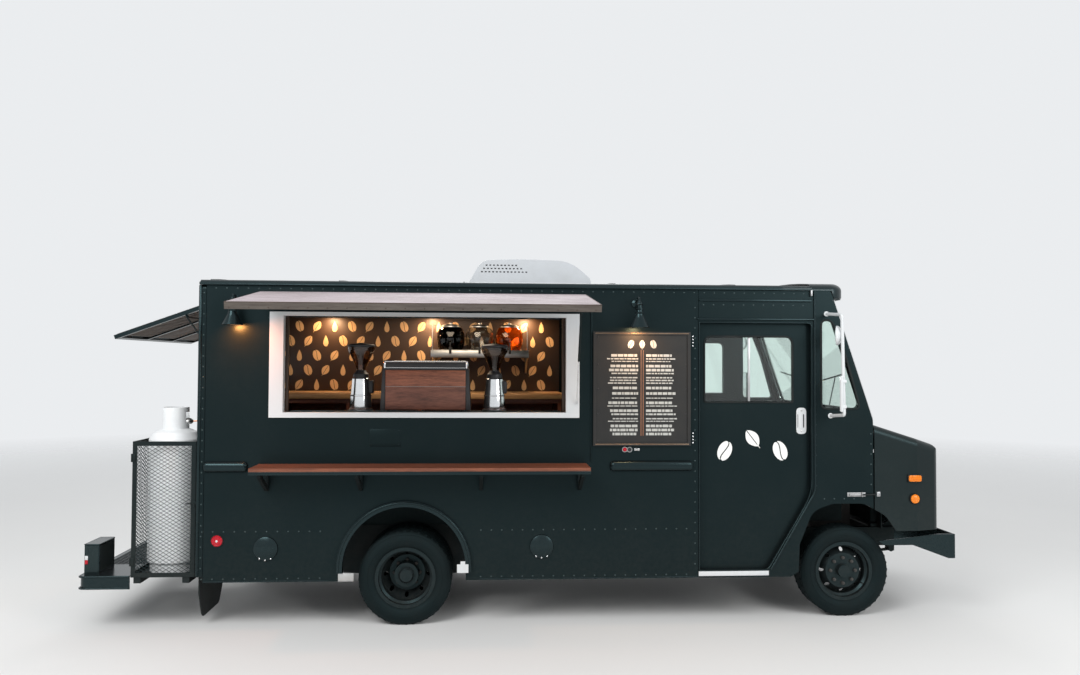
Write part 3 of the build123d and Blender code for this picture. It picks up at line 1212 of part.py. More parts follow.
def rear_flap():
    """The top-hinged flap held up over the rear hatch."""
    x = BODY_REAR - FLAP_HINGE_OUT
    z = FLAP_HINGE_Z
    panel = block((x - FLAP_LENGTH, x - FLAP_SET), (-FLAP_HALF, FLAP_HALF), (z, z + FLAP_THICK))
    panel -= block((x - FLAP_LENGTH + FLAP_RIM, x - FLAP_SET - FLAP_RIM), (-FLAP_HALF + FLAP_RIM, FLAP_HALF - FLAP_RIM),
                   (z - 1, z + FLAP_THICK - 14))
    for y in (-290.0, 290.0):
        panel += block((x - FLAP_LENGTH + 30, x - 40), (y - 17, y + 17), (z, z + FLAP_THICK - 10))
    for y in FLAP_HINGE_Y:
        panel += block((x - 20, x + 9), (y - 10, y + 10), (z - 9, z + 9))
        panel -= rod((x, y - 40, z), (x, y + 40, z), AWNING_PIN + SHAFT_CLEARANCE)
    for side in (1, -1):
        lug_y = side * (FLAP_ARM_Y - 15)
        panel += block((x - FLAP_ARM_OUT - 9, x - FLAP_ARM_OUT + 9), (lug_y - 4, lug_y + 4), (z - 24, z + 2))
        panel -= rod((x - FLAP_ARM_OUT, lug_y - 10, z - 14), (x - FLAP_ARM_OUT, lug_y + 10, z - 14),
                     FLAP_BAR_RADIUS + SHAFT_CLEARANCE)
    return Pos(x, 0, z) * Rot(0, -FLAP_SLOPE, 0) * Pos(-x, 0, -z) * panel


def flap_stay():
    """The two arms that hold the rear flap up, joined by a thin bar."""
    turn = math.radians(FLAP_SLOPE)
    hinge_x = BODY_REAR - FLAP_HINGE_OUT
    head_x = hinge_x - FLAP_ARM_OUT * math.cos(turn) + 14 * math.sin(turn)
    head_z = FLAP_HINGE_Z - FLAP_ARM_OUT * math.sin(turn) - 14 * math.cos(turn)
    foot_x = BODY_REAR - 14
    foot_z = head_z - math.sqrt(FLAP_ARM_LENGTH ** 2 - (foot_x - head_x) ** 2)
    arms = rod((head_x, -FLAP_ARM_Y - 9, head_z), (head_x, FLAP_ARM_Y + 9, head_z), FLAP_BAR_RADIUS)
    for side in (1, -1):
        y = side * FLAP_ARM_Y
        arms += rod((head_x, y, head_z), (foot_x, y, foot_z), 5.5)
        arms += rod((foot_x, y - 9, foot_z), (foot_x, y + 9, foot_z), 6.0)
    return arms


# Fittings

AC_HALF = 345.0
AC_ROUND = 55.0
# Side view of the shroud above the roof: x, height, corner radius
AC_SHROUD = [(446.0, 0.0, 0.0), (1462.0, 0.0, 0.0), (1450.0, 55.0, 40.0), (1290.0, 178.0, 130.0),
             (580.0, 205.0, 130.0), (466.0, 150.0, 80.0)]


def roof_ac():
    """Rooftop air conditioner under a low rounded shroud."""
    low = ROOF_CROWN_Z + SEAT
    side = outline([(x, low + rise) for x, rise, corner in AC_SHROUD], [corner for x, rise, corner in AC_SHROUD])
    plan = outline([(AC_SHROUD[0][0], -AC_HALF), (AC_SHROUD[1][0], -AC_HALF), (AC_SHROUD[1][0], AC_HALF),
                    (AC_SHROUD[0][0], AC_HALF)], AC_ROUND)
    end = outline([(-AC_HALF, low), (AC_HALF, low), (AC_HALF - 12, low + AC_SHROUD[4][1]),
                   (-AC_HALF + 12, low + AC_SHROUD[4][1])], [0, 0, AC_ROUND, AC_ROUND])
    return across(side, -AC_HALF, AC_HALF) & upward(plan, low, low + 400) & along(end, 0.0, 2000.0)


TAIL_LAMP_Y = (720.0, 810.0)


def red_lamps():
    """Round red markers low on each side and the tail lamps on the rear wall."""
    pieces = []
    for side in (1, -1):
        face = HALF_WIDTH + 0.3
        pieces.append(rod((-1351.0, side * face, 648.0), (-1351.0, side * (face + 14), 648.0), 46.0))
        for y in TAIL_LAMP_Y:
            z = sum(BUMPER_Z) / 2
            pieces.append(rod((BUMPER_REAR - 0.3, side * y, z), (BUMPER_REAR - 16.0, side * y, z), 36.0))
    return pieces


MIRROR_OUT = 240.0
MIRROR_TUBE = 11.0
MIRROR_FOOT = 24.0
# Arm from its upper foot to its lower foot: x, z at the wall or out at the heads
MIRROR_FEET = [(3182.0, 2335.0), (3210.0, 1560.0)]
MIRROR_ARM = [(3205.0, 2312.0), (3218.0, 1580.0)]
MIRROR_HEAD_Z = (1600.0, 1866.0)
MIRROR_HEAD_WIDE = 114.0
MIRROR_HEAD_DEEP = 24.0
ROUND_MIRROR_Z = 2165.0
ROUND_MIRROR_RADIUS = 73.0


def mirror_set(side):
    """White mirror bracket with a tall flat head and a small round one."""
    y_wall = side * (HALF_WIDTH + SEAT)
    y_out = side * (HALF_WIDTH + MIRROR_OUT)
    points = [(MIRROR_FEET[0][0], y_wall, MIRROR_FEET[0][1]), (MIRROR_ARM[0][0], y_out, MIRROR_ARM[0][1]),
              (MIRROR_ARM[1][0], y_out, MIRROR_ARM[1][1]), (MIRROR_FEET[1][0], y_wall, MIRROR_FEET[1][1])]
    frame = rod(points[1], points[2], MIRROR_TUBE)
    for foot, corner in ((points[0], points[1]), (points[3], points[2])):
        frame += rod(foot, corner, MIRROR_TUBE) + Pos(*corner) * Sphere(MIRROR_TUBE)
        frame += rod(foot, (foot[0], side * (HALF_WIDTH + 12), foot[2]), MIRROR_FOOT)
    frame -= block((3000.0, 3400.0), inside(side, HALF_WIDTH - 60, HALF_WIDTH + SEAT), (1500.0, 2400.0))
    arm_x = MIRROR_ARM[1][0]
    outer = HALF_WIDTH + MIRROR_OUT + 24
    head = block((arm_x - MIRROR_HEAD_DEEP / 2, arm_x + MIRROR_HEAD_DEEP / 2),
                 inside(side, outer - MIRROR_HEAD_WIDE, outer), MIRROR_HEAD_Z)
    small_y = side * (HALF_WIDTH + MIRROR_OUT - ROUND_MIRROR_RADIUS + 20)
    small_x = MIRROR_ARM[0][0]
    small = rod((small_x - 22, small_y, ROUND_MIRROR_Z), (small_x - 2, small_y, ROUND_MIRROR_Z), ROUND_MIRROR_RADIUS)
    return frame + head + small


COLUMN_RADIUS = 22.0


def steering_pose():
    """Where the steering wheel stands and how it leans, on the left."""
    return Pos(3130.0, 430.0, 1420.0) * Rot(0, -62, 0)


def steering_wheel():
    """Steering wheel on its slanted column."""
    wheel = Torus(205.0, 14.0) + Cylinder(48.0, 40.0)
    for turn in (0, 120, 240):
        wheel += Rot(0, 0, turn) * Pos(110.0, 0, 0) * Box(190.0, 26.0, 12.0)
    wheel += Pos(0, 0, -125.0) * Cylinder(COLUMN_RADIUS, 230.0)
    return steering_pose() * wheel


SEAT_X = (2440.0, 2920.0)
SEAT_Y = (320.0, 810.0)
SEAT_Z = (1120.0, 1250.0)
SEAT_BACK_X = (2360.0, 2470.0)
SEAT_BACK_TOP = 1800.0
SEAT_STAND_X = (2540.0, 2840.0)
SEAT_STAND_Y = (430.0, 600.0)


def driver_seat():
    """Driver's seat: cushion, back and its pedestal."""
    cushion = block(SEAT_X, SEAT_Y, SEAT_Z)
    back = block(SEAT_BACK_X, (SEAT_Y[0] + 10, SEAT_Y[1] - 10), (SEAT_Z[1] - 50, SEAT_BACK_TOP))
    stand = block(SEAT_STAND_X, SEAT_STAND_Y, (FLOOR_TOP + SEAT, SEAT_Z[0] + 1))
    return cushion + back + stand


COUNTER_PLATE = 40.0
KICK_HEIGHT = 80.0
COUNTER_OVERHANG = 20.0
# x from, x to, y at the wall, y at the walkway, top, number of bays
FRONT_COUNTER = (-1180.0, 1240.0, -980.0, -420.0, 1560.0, 4)
BACK_COUNTER = (-1300.0, 1300.0, 1000.0, 380.0, 1665.0, 4)
BAY_POST = 30.0
BAY_HEAD = 40.0


def counter(rear, front, wall_y, aisle_y, top, bays):
    """A counter with open bays towards the walkway, cut to clear the wheel box."""
    inward = 1 if aisle_y > wall_y else -1
    under = top - COUNTER_PLATE
    body = block((rear, front), sorted((wall_y, aisle_y)), (under, top))
    cabinet_x = (rear + COUNTER_OVERHANG, front - COUNTER_OVERHANG)
    cabinet_y = (wall_y + inward * COUNTER_OVERHANG, aisle_y - inward * COUNTER_OVERHANG)
    body += block(cabinet_x, sorted(cabinet_y), (FLOOR_TOP + SEAT, under + 1))
    pitch = (cabinet_x[1] - cabinet_x[0] - BAY_POST) / bays
    for count in range(bays):
        x = cabinet_x[0] + BAY_POST + pitch * count
        bay_y = sorted((cabinet_y[0] + inward * BAY_POST / 2, aisle_y - inward * COUNTER_OVERHANG / 2))
        body -= block((x, x + pitch - BAY_POST), bay_y, (FLOOR_TOP + KICK_HEIGHT, under - BAY_HEAD))
    clear = REAR_HOUSE_X + HOUSE_SKIN + SEAT
    return body - block((-clear, clear), (-HALF_WIDTH, HALF_WIDTH), (FLOOR_TOP, REAR_HOUSE_TOP + HOUSE_SKIN + SEAT))


def counters():
    """The work counter under the window and the wooden back counter opposite."""
    return [counter(*FRONT_COUNTER), counter(*BACK_COUNTER)]


COUNTER_WORK_Z = FRONT_COUNTER[4]
MACHINE_X = (-205.0, 475.0)
MACHINE_Y = (-905.0, -440.0)
MACHINE_TOP = 1962.0
MACHINE_FOOT = 70.0
RAIL_DECK = 60.0
MACHINE_MOUTH_X = (-150.0, 420.0)
MACHINE_MOUTH_Z = (COUNTER_WORK_Z + 100.0, MACHINE_TOP - 150.0)
GROUP_X = (0.0, 270.0)
GROUP_Y = -560.0


def espresso_machine():
    """Two-group espresso machine: drip base, body with its open working side, cup deck on top."""
    shoulder = MACHINE_TOP - RAIL_DECK
    base_z = COUNTER_WORK_Z + MACHINE_FOOT
    machine = block(MACHINE_X, MACHINE_Y, (base_z, shoulder))
    machine += block((MACHINE_X[0] + 25, MACHINE_X[1] - 25), (MACHINE_Y[0] + 25, MACHINE_Y[1] - 80),
                     (shoulder - 1, MACHINE_TOP))
    machine += block((MACHINE_X[0] + 15, MACHINE_X[1] - 15), (MACHINE_Y[0] + 15, MACHINE_Y[1] - 10),
                     (COUNTER_WORK_Z + SEAT, base_z + 1))
    machine -= block(MACHINE_MOUTH_X, (MACHINE_Y[1] - 200, MACHINE_Y[1] + 10), MACHINE_MOUTH_Z)
    for x in GROUP_X:
        machine += rod((x, GROUP_Y, MACHINE_MOUTH_Z[1] - 60), (x, GROUP_Y, MACHINE_MOUTH_Z[1] + 1), 34.0)
    return machine


GRINDER_SPOTS = [(-385.0, -700.0), (640.0, -700.0)]
# Outline turned about the grinder's middle: radius, height above the counter
GRINDER_PROFILE = [(0.0, 0.0), (85.0, 0.0), (85.0, 34.0), (70.0, 44.0), (62.0, 190.0), (74.0, 285.0),
                   (60.0, 330.0), (46.0, 345.0), (98.0, 520.0), (90.0, 538.0), (0.0, 540.0)]


def grinder(x, y):
    """Coffee grinder: base, waisted body, motor cap and a flared bean hopper."""
    low = COUNTER_WORK_Z + SEAT
    face = make_face(Polyline(*[(radius, low + rise) for radius, rise in GRINDER_PROFILE], close=True))
    return Pos(x, y, 0) * revolve(Plane.XZ * face, Axis.Z, 360)


def grinders():
    """The two grinders each side of the espresso machine."""
    return [grinder(x, y) for x, y in GRINDER_SPOTS]


SHELF_X = (60.0, 1060.0)
SHELF_Z = (2016.0, 2046.0)
SHELF_Y = 700.0
SHELF_BRACKET_X = (100.0, 1020.0)
JAR_X = (240.0, 560.0, 880.0)
JAR_HALF = 120.0
JAR_Y = (740.0, 960.0)
JAR_TOP = 2330.0
JAR_ROUND = 50.0
TAP_RADIUS = 11.0


def drink_dispensers():
    """A steel wall shelf with three rounded drink jars and their taps."""
    wall_y = HALF_WIDTH - WALL - SEAT
    shelf = block(SHELF_X, (SHELF_Y, wall_y), SHELF_Z)
    for x in SHELF_BRACKET_X:
        shelf += along(outline([(wall_y, SHELF_Z[0] + 1), (JAR_Y[0], SHELF_Z[0] + 1),
                                (wall_y, SHELF_Z[0] - 166)]), x - 6, x + 6)
    for x in JAR_X:
        plan = outline([(x - JAR_HALF, JAR_Y[0]), (x + JAR_HALF, JAR_Y[0]), (x + JAR_HALF, JAR_Y[1]),
                        (x - JAR_HALF, JAR_Y[1])], JAR_ROUND)
        shelf += upward(plan, SHELF_Z[1] - 1, JAR_TOP)
        shelf += rod((x, JAR_Y[0] + 1, SHELF_Z[1] + 45), (x, JAR_Y[0] - 36, SHELF_Z[1] + 45), TAP_RADIUS)
    return shelf


MUD_FLAP_THICK = 8.0
MUD_FLAP_TOP = 430.0
# End view of the left flap from its upper outer corner: y, z, corner radius
MUD_FLAP = [(985.0, MUD_FLAP_TOP, 0.0), (985.0, 250.0, 80.0), (900.0, 60.0, 70.0), (480.0, 60.0, 70.0),
            (345.0, 250.0, 80.0), (345.0, MUD_FLAP_TOP, 0.0)]


def mud_flaps():
    """Rubber flaps bolted to the foot of the rear wall, narrower towards the ground."""
    face = outline([(y, z) for y, z, corner in MUD_FLAP], [corner for y, z, corner in MUD_FLAP])
    outer = BODY_REAR - SEAT
    return pair(along(face, outer - MUD_FLAP_THICK, outer))


def build():
    """Every node's name with the piece or pieces in it."""
    left_rub = [(BODY_REAR + WALL + 2, DOOR_REAR - 47)]
    right_rub = [(BODY_REAR + WALL + 2, -1150.0), (1530.0, DOOR_REAR - 47)]
    front_y = FRONT_TYRE_Y
    rear_y = REAR_OUTER_Y
    nodes = {
        "chassis_frame": chassis_frame(),
        "front_axle": front_axle(),
        "rear_axle": rear_axle(),
        "engine_block": engine_block(),
        "fuel_tank": fuel_tank(),
        "exhaust": exhaust(),
        "floor": floor(),
        "floor_boxes": floor_boxes(),
        "side_wall_right": mirrored(side_wall(right_rub, True)),
        "side_wall_left": side_wall(left_rub, False),
        "rear_wall": rear_wall(),
        "roof": roof(),
        "cab_side_right": mirrored(cab_side()),
        "cab_side_left": cab_side(),
        "front_cap": front_cap(),
        "cowl": cowl(),
        "cab_glass": cab_glass(),
        "arch_flares": pair(arch_flare()),
        "window_frame": window_frame(),
        "serving_counter": serving_counter(),
        "counter_brackets": counter_brackets(),
        "menu_board": menu_board(),
        "wall_lamps": wall_lamps(),
        "gas_cage": gas_cage(),
        "gas_cylinder": gas_cylinder(),
        "rear_bumper": rear_bumper(),
        "roof_ac": roof_ac(),
        "red_lamps": red_lamps(),
        "mirrors": [mirror_set(1), mirror_set(-1)],
        "front_bumper": front_bumper(),
        "steering_wheel": steering_wheel(),
        "driver_seat": driver_seat(),
        "counters": counters(),
        "espresso_machine": espresso_machine(),
        "grinders": grinders(),
        "drink_dispensers": drink_dispensers(),
        "mud_flaps": mud_flaps(),
        "nose": nose(),
        "headlamps": lamps(),
        "amber_lamps": amber_lamps(),
        "awning": awning(),
        "awning_stay_tube": awning_stay_tube(),
        "awning_stay_rod": awning_stay_rod(),
        "rear_flap": rear_flap(),
        "flap_stay": flap_stay(),
        "knuckle_left": knuckle(),
        "knuckle_right": mirrored(knuckle()),
        "tie_rod": tie_rod(),
    }
    for name, side in (("left", 1), ("right", -1)):
        nodes[f"door_{name}"] = door_leaf(side)
        nodes[f"door_glass_{name}"] = door_pane(side)
        front_centre = (WHEELBASE, front_y, TYRE_RADIUS)
        front_wheel = Pos(*front_centre) * front_rim()
        rear_wheel = Pos(0, rear_y, TYRE_RADIUS) * rear_rims()
        rear_tyres = [tyre((0, rear_y, TYRE_RADIUS)), tyre((0, rear_y - TWIN_SPACING, TYRE_RADIUS))]
        front_tyre = tyre(front_centre)
        if side < 0:
            front_wheel = mirrored(front_wheel)
            rear_wheel = mirrored(rear_wheel)
            rear_tyres = [mirrored(piece) for piece in rear_tyres]
            front_tyre = mirrored(front_tyre)
        nodes[f"front_rim_{name}"] = front_wheel
        nodes[f"front_tyre_{name}"] = front_tyre
        nodes[f"rear_rims_{name}"] = rear_wheel
        nodes[f"rear_tyres_{name}"] = rear_tyres
    return nodes


def solids_of(piece):
    """The solids in one piece or in a list of pieces."""
    if isinstance(piece, (list, tuple)):
        return [solid for part in piece for solid in part.solids()]
    return list(piece.solids())


def main():
    """Build every piece, set the frame's origin and write one STEP file for each node."""
    os.makedirs("parts", exist_ok=True)
    nodes = {name: solids_of(piece) for name, piece in build().items()}
    boxes = [solid.bounding_box() for group in nodes.values() for solid in group]
    middle_x = (min(box.min.X for box in boxes) + max(box.max.X for box in boxes)) / 2
    middle_y = (min(box.min.Y for box in boxes) + max(box.max.Y for box in boxes)) / 2
    origin = Vector(middle_x, middle_y, min(box.min.Z for box in boxes))
    print("origin in the rear axle's frame", round(origin.X, 3), round(origin.Y, 3), round(origin.Z, 3))
    for name, group in nodes.items():
        moved = [solid.moved(Location(-origin)) for solid in group]
        shape = moved[0] if len(moved) == 1 else Compound(children=moved)
        export_step(shape, f"parts/{name}.step")


main()
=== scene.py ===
import json
import math
import random

import bmesh
import bpy
from mathutils import Matrix, Vector


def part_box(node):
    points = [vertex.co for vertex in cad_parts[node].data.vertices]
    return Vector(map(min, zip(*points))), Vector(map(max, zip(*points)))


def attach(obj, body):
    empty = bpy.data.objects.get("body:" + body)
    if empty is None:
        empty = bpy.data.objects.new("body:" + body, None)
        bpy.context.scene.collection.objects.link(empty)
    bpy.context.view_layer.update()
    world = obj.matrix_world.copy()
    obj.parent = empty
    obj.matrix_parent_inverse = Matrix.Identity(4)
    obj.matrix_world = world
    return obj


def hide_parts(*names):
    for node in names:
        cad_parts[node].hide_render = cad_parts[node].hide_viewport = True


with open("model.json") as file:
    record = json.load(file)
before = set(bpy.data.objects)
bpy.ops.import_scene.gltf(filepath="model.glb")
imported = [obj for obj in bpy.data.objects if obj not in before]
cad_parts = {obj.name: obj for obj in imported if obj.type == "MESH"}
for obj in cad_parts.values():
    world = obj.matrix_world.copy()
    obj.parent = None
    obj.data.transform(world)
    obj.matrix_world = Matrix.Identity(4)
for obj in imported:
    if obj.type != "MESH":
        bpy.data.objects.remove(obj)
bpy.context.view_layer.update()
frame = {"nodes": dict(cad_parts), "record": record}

random.seed(41)

# The truck's own coordinates: metres forward of the rear axle, left of the centreline and above the ground
LEFT_LOW, LEFT_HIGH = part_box("rear_tyres_left")
RIGHT_LOW, RIGHT_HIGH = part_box("rear_tyres_right")
AXLE_X = (LEFT_LOW.x + LEFT_HIGH.x) / 2
CENTRE_Y = (LEFT_HIGH.y + RIGHT_LOW.y) / 2

WALL_Y = 1.05
WHEELBASE = 3.378
TYRE_RADIUS = RIGHT_HIGH.z / 2
HUB_Z = TYRE_RADIUS
BEAD_RADIUS = 0.21
TWIN_SPACING = 0.242
FULL_TURN = 2 * math.pi
SIDES = ((1, "left"), (-1, "right"))


def spot(x, y, z):
    """A point in the shared frame from the truck's own coordinates."""
    return Vector((x + AXLE_X, y + CENTRE_Y, z))


def around(middle, reach):
    """A span that reaches equally far to both sides of its middle."""
    return (middle - reach, middle + reach)


def inside(span, inset):
    """A span drawn in at both ends."""
    return (span[0] + inset, span[1] - inset)


def four_corners(a_span, b_span):
    """The corners of a rectangle, in order round it."""
    return [(a_span[0], b_span[0]), (a_span[1], b_span[0]), (a_span[1], b_span[1]), (a_span[0], b_span[1])]


# Modelling helpers

WELD = 1e-5


def deselect():
    bpy.ops.object.select_all(action="DESELECT")


def take(name):
    """Name the piece that was just added."""
    piece = bpy.context.active_object
    piece.name = name
    piece.data.name = name
    return piece


def hold(piece):
    """Select one piece alone."""
    deselect()
    piece.select_set(True)
    bpy.context.view_layer.objects.active = piece
    return piece


def settle(piece):
    """Put a piece's place into its mesh."""
    hold(piece)
    bpy.ops.object.transform_apply(location=True, rotation=True, scale=True)
    return piece


def pick_all():
    bpy.ops.mesh.select_all(action="SELECT")


def weld():
    """Make one of vertices that lie on each other."""
    pick_all()
    bpy.ops.mesh.remove_doubles(threshold=WELD)


def face_out():
    bpy.ops.mesh.normals_make_consistent(inside=False)


def open_up(piece, kind="FACE"):
    """Go into edit mode with everything selected."""
    hold(piece)
    bpy.ops.object.mode_set(mode="EDIT")
    bpy.ops.mesh.select_mode(type=kind)
    pick_all()


def close_up():
    bpy.ops.object.mode_set(mode="OBJECT")


def choose_faces(piece, test):
    """In edit mode, select the faces that pass a test."""
    mesh = bmesh.from_edit_mesh(piece.data)
    for face in mesh.faces:
        face.select_set(bool(test(face)))
    bmesh.update_edit_mesh(piece.data)


def choose_edges(piece, test):
    """In edit mode, select the edges that pass a test."""
    bpy.ops.mesh.select_mode(type="EDGE")
    mesh = bmesh.from_edit_mesh(piece.data)
    for edge in mesh.edges:
        edge.select_set(bool(test(edge)))
    bmesh.update_edit_mesh(piece.data)


def smooth(piece, degrees=35.0):
    hold(piece)
    bpy.ops.object.shade_smooth_by_angle(angle=math.radians(degrees))
    return piece


def ease_edges(piece, offset, rounds):
    """Round every edge of a piece."""
    open_up(piece)
    bpy.ops.mesh.bevel(offset=offset, segments=rounds, affect="EDGES")
    close_up()
    return smooth(piece, 40.0)


def ease_rims(piece, offset, rounds):
    """Round the rims of a piece's many-sided faces."""
    open_up(piece)
    choose_faces(piece, lambda face: len(face.verts) > 4)
    bpy.ops.mesh.bevel(offset=offset, segments=rounds, affect="EDGES")
    close_up()
    return piece


def apply_modifier(piece, kind, **settings):
    """Add a modifier and apply it."""
    hold(piece)
    modifier = piece.modifiers.new(kind.lower(), kind)
    for key, value in settings.items():
        setattr(modifier, key, value)
    bpy.ops.object.modifier_apply(modifier=modifier.name)
    return piece


def plate(name, x_span, y_span, z_span, edge=0.0, rounds=2):
    """A block between two planes on each axis, its edges rounded."""
    deselect()
    middle = [sum(span) / 2 for span in (x_span, y_span, z_span)]
    size = [abs(span[1] - span[0]) for span in (x_span, y_span, z_span)]
    bpy.ops.mesh.primitive_cube_add(size=1.0, location=spot(*middle))
    piece = take(name)
    piece.scale = size
    settle(piece)
    return ease_edges(piece, edge, rounds) if edge > 0.0 else piece


def bar(name, start, end, radius, sides=20, edge=0.0):
    """A round bar between two points, its rims rounded."""
    deselect()
    a = spot(*start)
    b = spot(*end)
    run = b - a
    bpy.ops.mesh.primitive_cylinder_add(vertices=sides, radius=radius, depth=run.length, location=(a + b) / 2,
                                        rotation=run.to_track_quat("Z", "Y").to_euler())
    piece = settle(take(name))
    if edge > 0.0:
        ease_rims(piece, edge, 2)
    return smooth(piece)


TURNS = {"X": (0.0, math.pi / 2, 0.0), "Y": (-math.pi / 2, 0.0, 0.0), "Z": (0.0, 0.0, 0.0)}


def spun(name, profile, centre, axis="Z", steps=48, ring=False, soften=35.0):
    """A form spun from its section, given as (distance along the axis, radius)."""
    deselect()
    bpy.ops.mesh.primitive_circle_add(vertices=len(profile), fill_type="NOTHING")
    piece = take(name)
    for vertex, (run, radius) in zip(piece.data.vertices, profile):
        vertex.co = (radius, 0.0, run)
    open_up(piece, "VERT")
    if not ring:
        mesh = bmesh.from_edit_mesh(piece.data)
        mesh.verts.ensure_lookup_table()
        ends = {mesh.verts[0], mesh.verts[len(profile) - 1]}
        for edge in [e for e in mesh.edges if set(e.verts) == ends]:
            mesh.edges.remove(edge)
        bmesh.update_edit_mesh(piece.data)
    pick_all()
    bpy.ops.mesh.spin(steps=steps, angle=FULL_TURN, center=(0, 0, 0), axis=(0, 0, 1))
    weld()
    face_out()
    close_up()
    piece.rotation_euler = TURNS[axis]
    piece.location = spot(*centre)
    settle(piece)
    return smooth(piece, soften)


LAY = {"side": lambda a, b, level: spot(a, level, b), "end": lambda a, b, level: spot(level, a, b),
       "plan": lambda a, b, level: spot(a, b, level)}
THROUGH = {"side": Vector((0, 1, 0)), "end": Vector((1, 0, 0)), "plan": Vector((0, 0, 1))}


def cutout(name, points, plane, level, thick):
    """A flat shape cut from sheet, in side view (x, z), end view (y, z) or plan (x, y)."""
    deselect()
    bpy.ops.mesh.primitive_circle_add(vertices=len(points), fill_type="NGON")
    piece = take(name)
    for vertex, (a, b) in zip(piece.data.vertices, points):
        vertex.co = LAY[plane](a, b, level)
    open_up(piece)
    bpy.ops.mesh.extrude_region_move(TRANSFORM_OT_translate={"value": THROUGH[plane] * thick})
    pick_all()
    face_out()
    close_up()
    return piece


def rounded(points, radius, steps=4):
    """The corners of an outline replaced by short arcs, all of one radius or each of its own."""
    radii = [radius] * len(points) if isinstance(radius, float) else radius
    result = []
    for index, corner in enumerate(points):
        here = Vector(corner)
        before = Vector(points[index - 1]) - here
        after = Vector(points[(index + 1) % len(points)]) - here
        reach = min(radii[index], before.length / 2.01, after.length / 2.01)
        first = here + before.normalized() * reach
        last = here + after.normalized() * reach
        for step in range(steps + 1):
            share = step / steps
            mix = first * (1 - share) ** 2 + here * 2 * share * (1 - share) + last * share ** 2
            result.append(tuple(mix))
    return result


def lay_line(piece, kind, places, radius, rounds):
    """Give a new curve one line through some places and a round section."""
    piece.data.splines.clear()
    line = piece.data.splines.new(kind)
    line.points.add(len(places) - 1)
    for point, place in zip(line.points, places):
        point.co = (*place, 1.0)
    piece.data.dimensions = "3D"
    piece.data.bevel_depth = radius
    piece.data.bevel_resolution = rounds
    return line


def bent(name, points, radius, corner=0.03, sides=6):
    """A round tube along straight runs with bent corners."""
    places = [spot(*point) for point in points]
    route = [places[0]]
    for before, here, after in zip(places, places[1:], places[2:]):
        reach = min(corner, (before - here).length / 2.2, (after - here).length / 2.2)
        route += [here + (before - here).normalized() * reach, here,
                  here + (after - here).normalized() * reach]
    route.append(places[-1])
    deselect()
    bpy.ops.curve.primitive_nurbs_path_add()
    piece = take(name)
    line = lay_line(piece, "NURBS", route, radius, sides // 2)
    line.order_u = 3
    line.use_endpoint_u = True
    piece.data.resolution_u = 4
    piece.data.use_fill_caps = True
    settle_curve(piece)
    return smooth(piece, 50.0)


def bead(name, points, radius, sides=8):
    """A round bead laid along a closed outline in the truck's coordinates."""
    deselect()
    bpy.ops.curve.primitive_bezier_circle_add()
    piece = take(name)
    lay_line(piece, "POLY", [spot(*point) for point in points], radius, sides // 4).use_cyclic_u = True
    settle_curve(piece)
    return smooth(piece, 60.0)


def settle_curve(piece):
    """Turn a curve into a mesh whose object sits at the origin."""
    hold(piece)
    bpy.ops.object.convert(target="MESH")
    settle(piece)
    open_up(piece)
    weld()
    face_out()
    close_up()


def copied(piece, name, shift=(0.0, 0.0, 0.0)):
    """A copy of a piece with its own mesh, moved."""
    hold(piece)
    bpy.ops.object.duplicate()
    twin = take(name)
    twin.location = shift
    return settle(twin)


def joined(name, pieces):
    """Several pieces made one."""
    deselect()
    for piece in pieces:
        piece.select_set(True)
    bpy.context.view_layer.objects.active = pieces[0]
    if len(pieces) > 1:
        bpy.ops.object.join()
    return take(name)


def tipped(piece, pivot, axis, degrees):
    """Turn a finished piece about a line through a pivot."""
    centre = Matrix.Translation(spot(*pivot))
    piece.matrix_world = centre @ Matrix.Rotation(math.radians(degrees), 4, axis) @ centre.inverted()
    return settle(piece)


def ring_of(piece, count, centre, axis, name):
    """Copies of a piece turned about a centre, joined as one."""
    pieces = [tipped(copied(piece, f"{name}_{k}"), centre, axis, 360.0 * k / count) for k in range(count)]
    bpy.data.objects.remove(piece)
    return joined(name, pieces)


def in_a_row(piece, count, step):
    """Repeat a piece along a line."""
    spacing = {"use_relative_offset": False, "use_constant_offset": True, "constant_offset_displace": step}
    return apply_modifier(piece, "ARRAY", count=count, **spacing)


def dress(piece, material, body="truck", stands_for=()):
    """Give a piece its finish, the body it moves with and the nodes it replaces."""
    piece.data.materials.clear()
    piece.data.materials.append(material)
    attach(piece, body)
    if stands_for:
        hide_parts(*stands_for)
    return piece


def fitted(name, pieces, material, body="truck", stands_for=()):
    """Several pieces made one and dressed."""
    return dress(joined(name, pieces), material, body, stands_for)


# Effects that several finishes share

SOCKET_KINDS = {1: "NodeSocketFloat", 3: "NodeSocketVector", 4: "NodeSocketColor"}


def group_start(name, inputs, outputs):
    """A new node group, what it is given and what it returns."""
    tree = bpy.data.node_groups.new(name, "ShaderNodeTree")
    for label, value in inputs.items():
        kind = SOCKET_KINDS[len(value) if isinstance(value, tuple) else 1]
        tree.interface.new_socket(name=label, in_out="INPUT", socket_type=kind).default_value = value
    for label in outputs:
        kind = SOCKET_KINDS[4 if label == "Color" else 1]
        tree.interface.new_socket(name=label, in_out="OUTPUT", socket_type=kind)
    return tree, tree.nodes.new("NodeGroupInput").outputs, tree.nodes.new("NodeGroupOutput").inputs


def feed(tree, sockets, values):
    """Link a socket where its value is another node's output, and set it otherwise."""
    for key, value in values.items():
        if isinstance(value, bpy.types.NodeSocket):
            tree.links.new(value, sockets[key])
        else:
            sockets[key].default_value = value


def node(tree, kind, values=None, **settings):
    """A new node with its settings made and its inputs fed."""
    made = tree.nodes.new(kind)
    for key, value in settings.items():
        setattr(made, key, value)
    feed(tree, made.inputs, values or {})
    return made


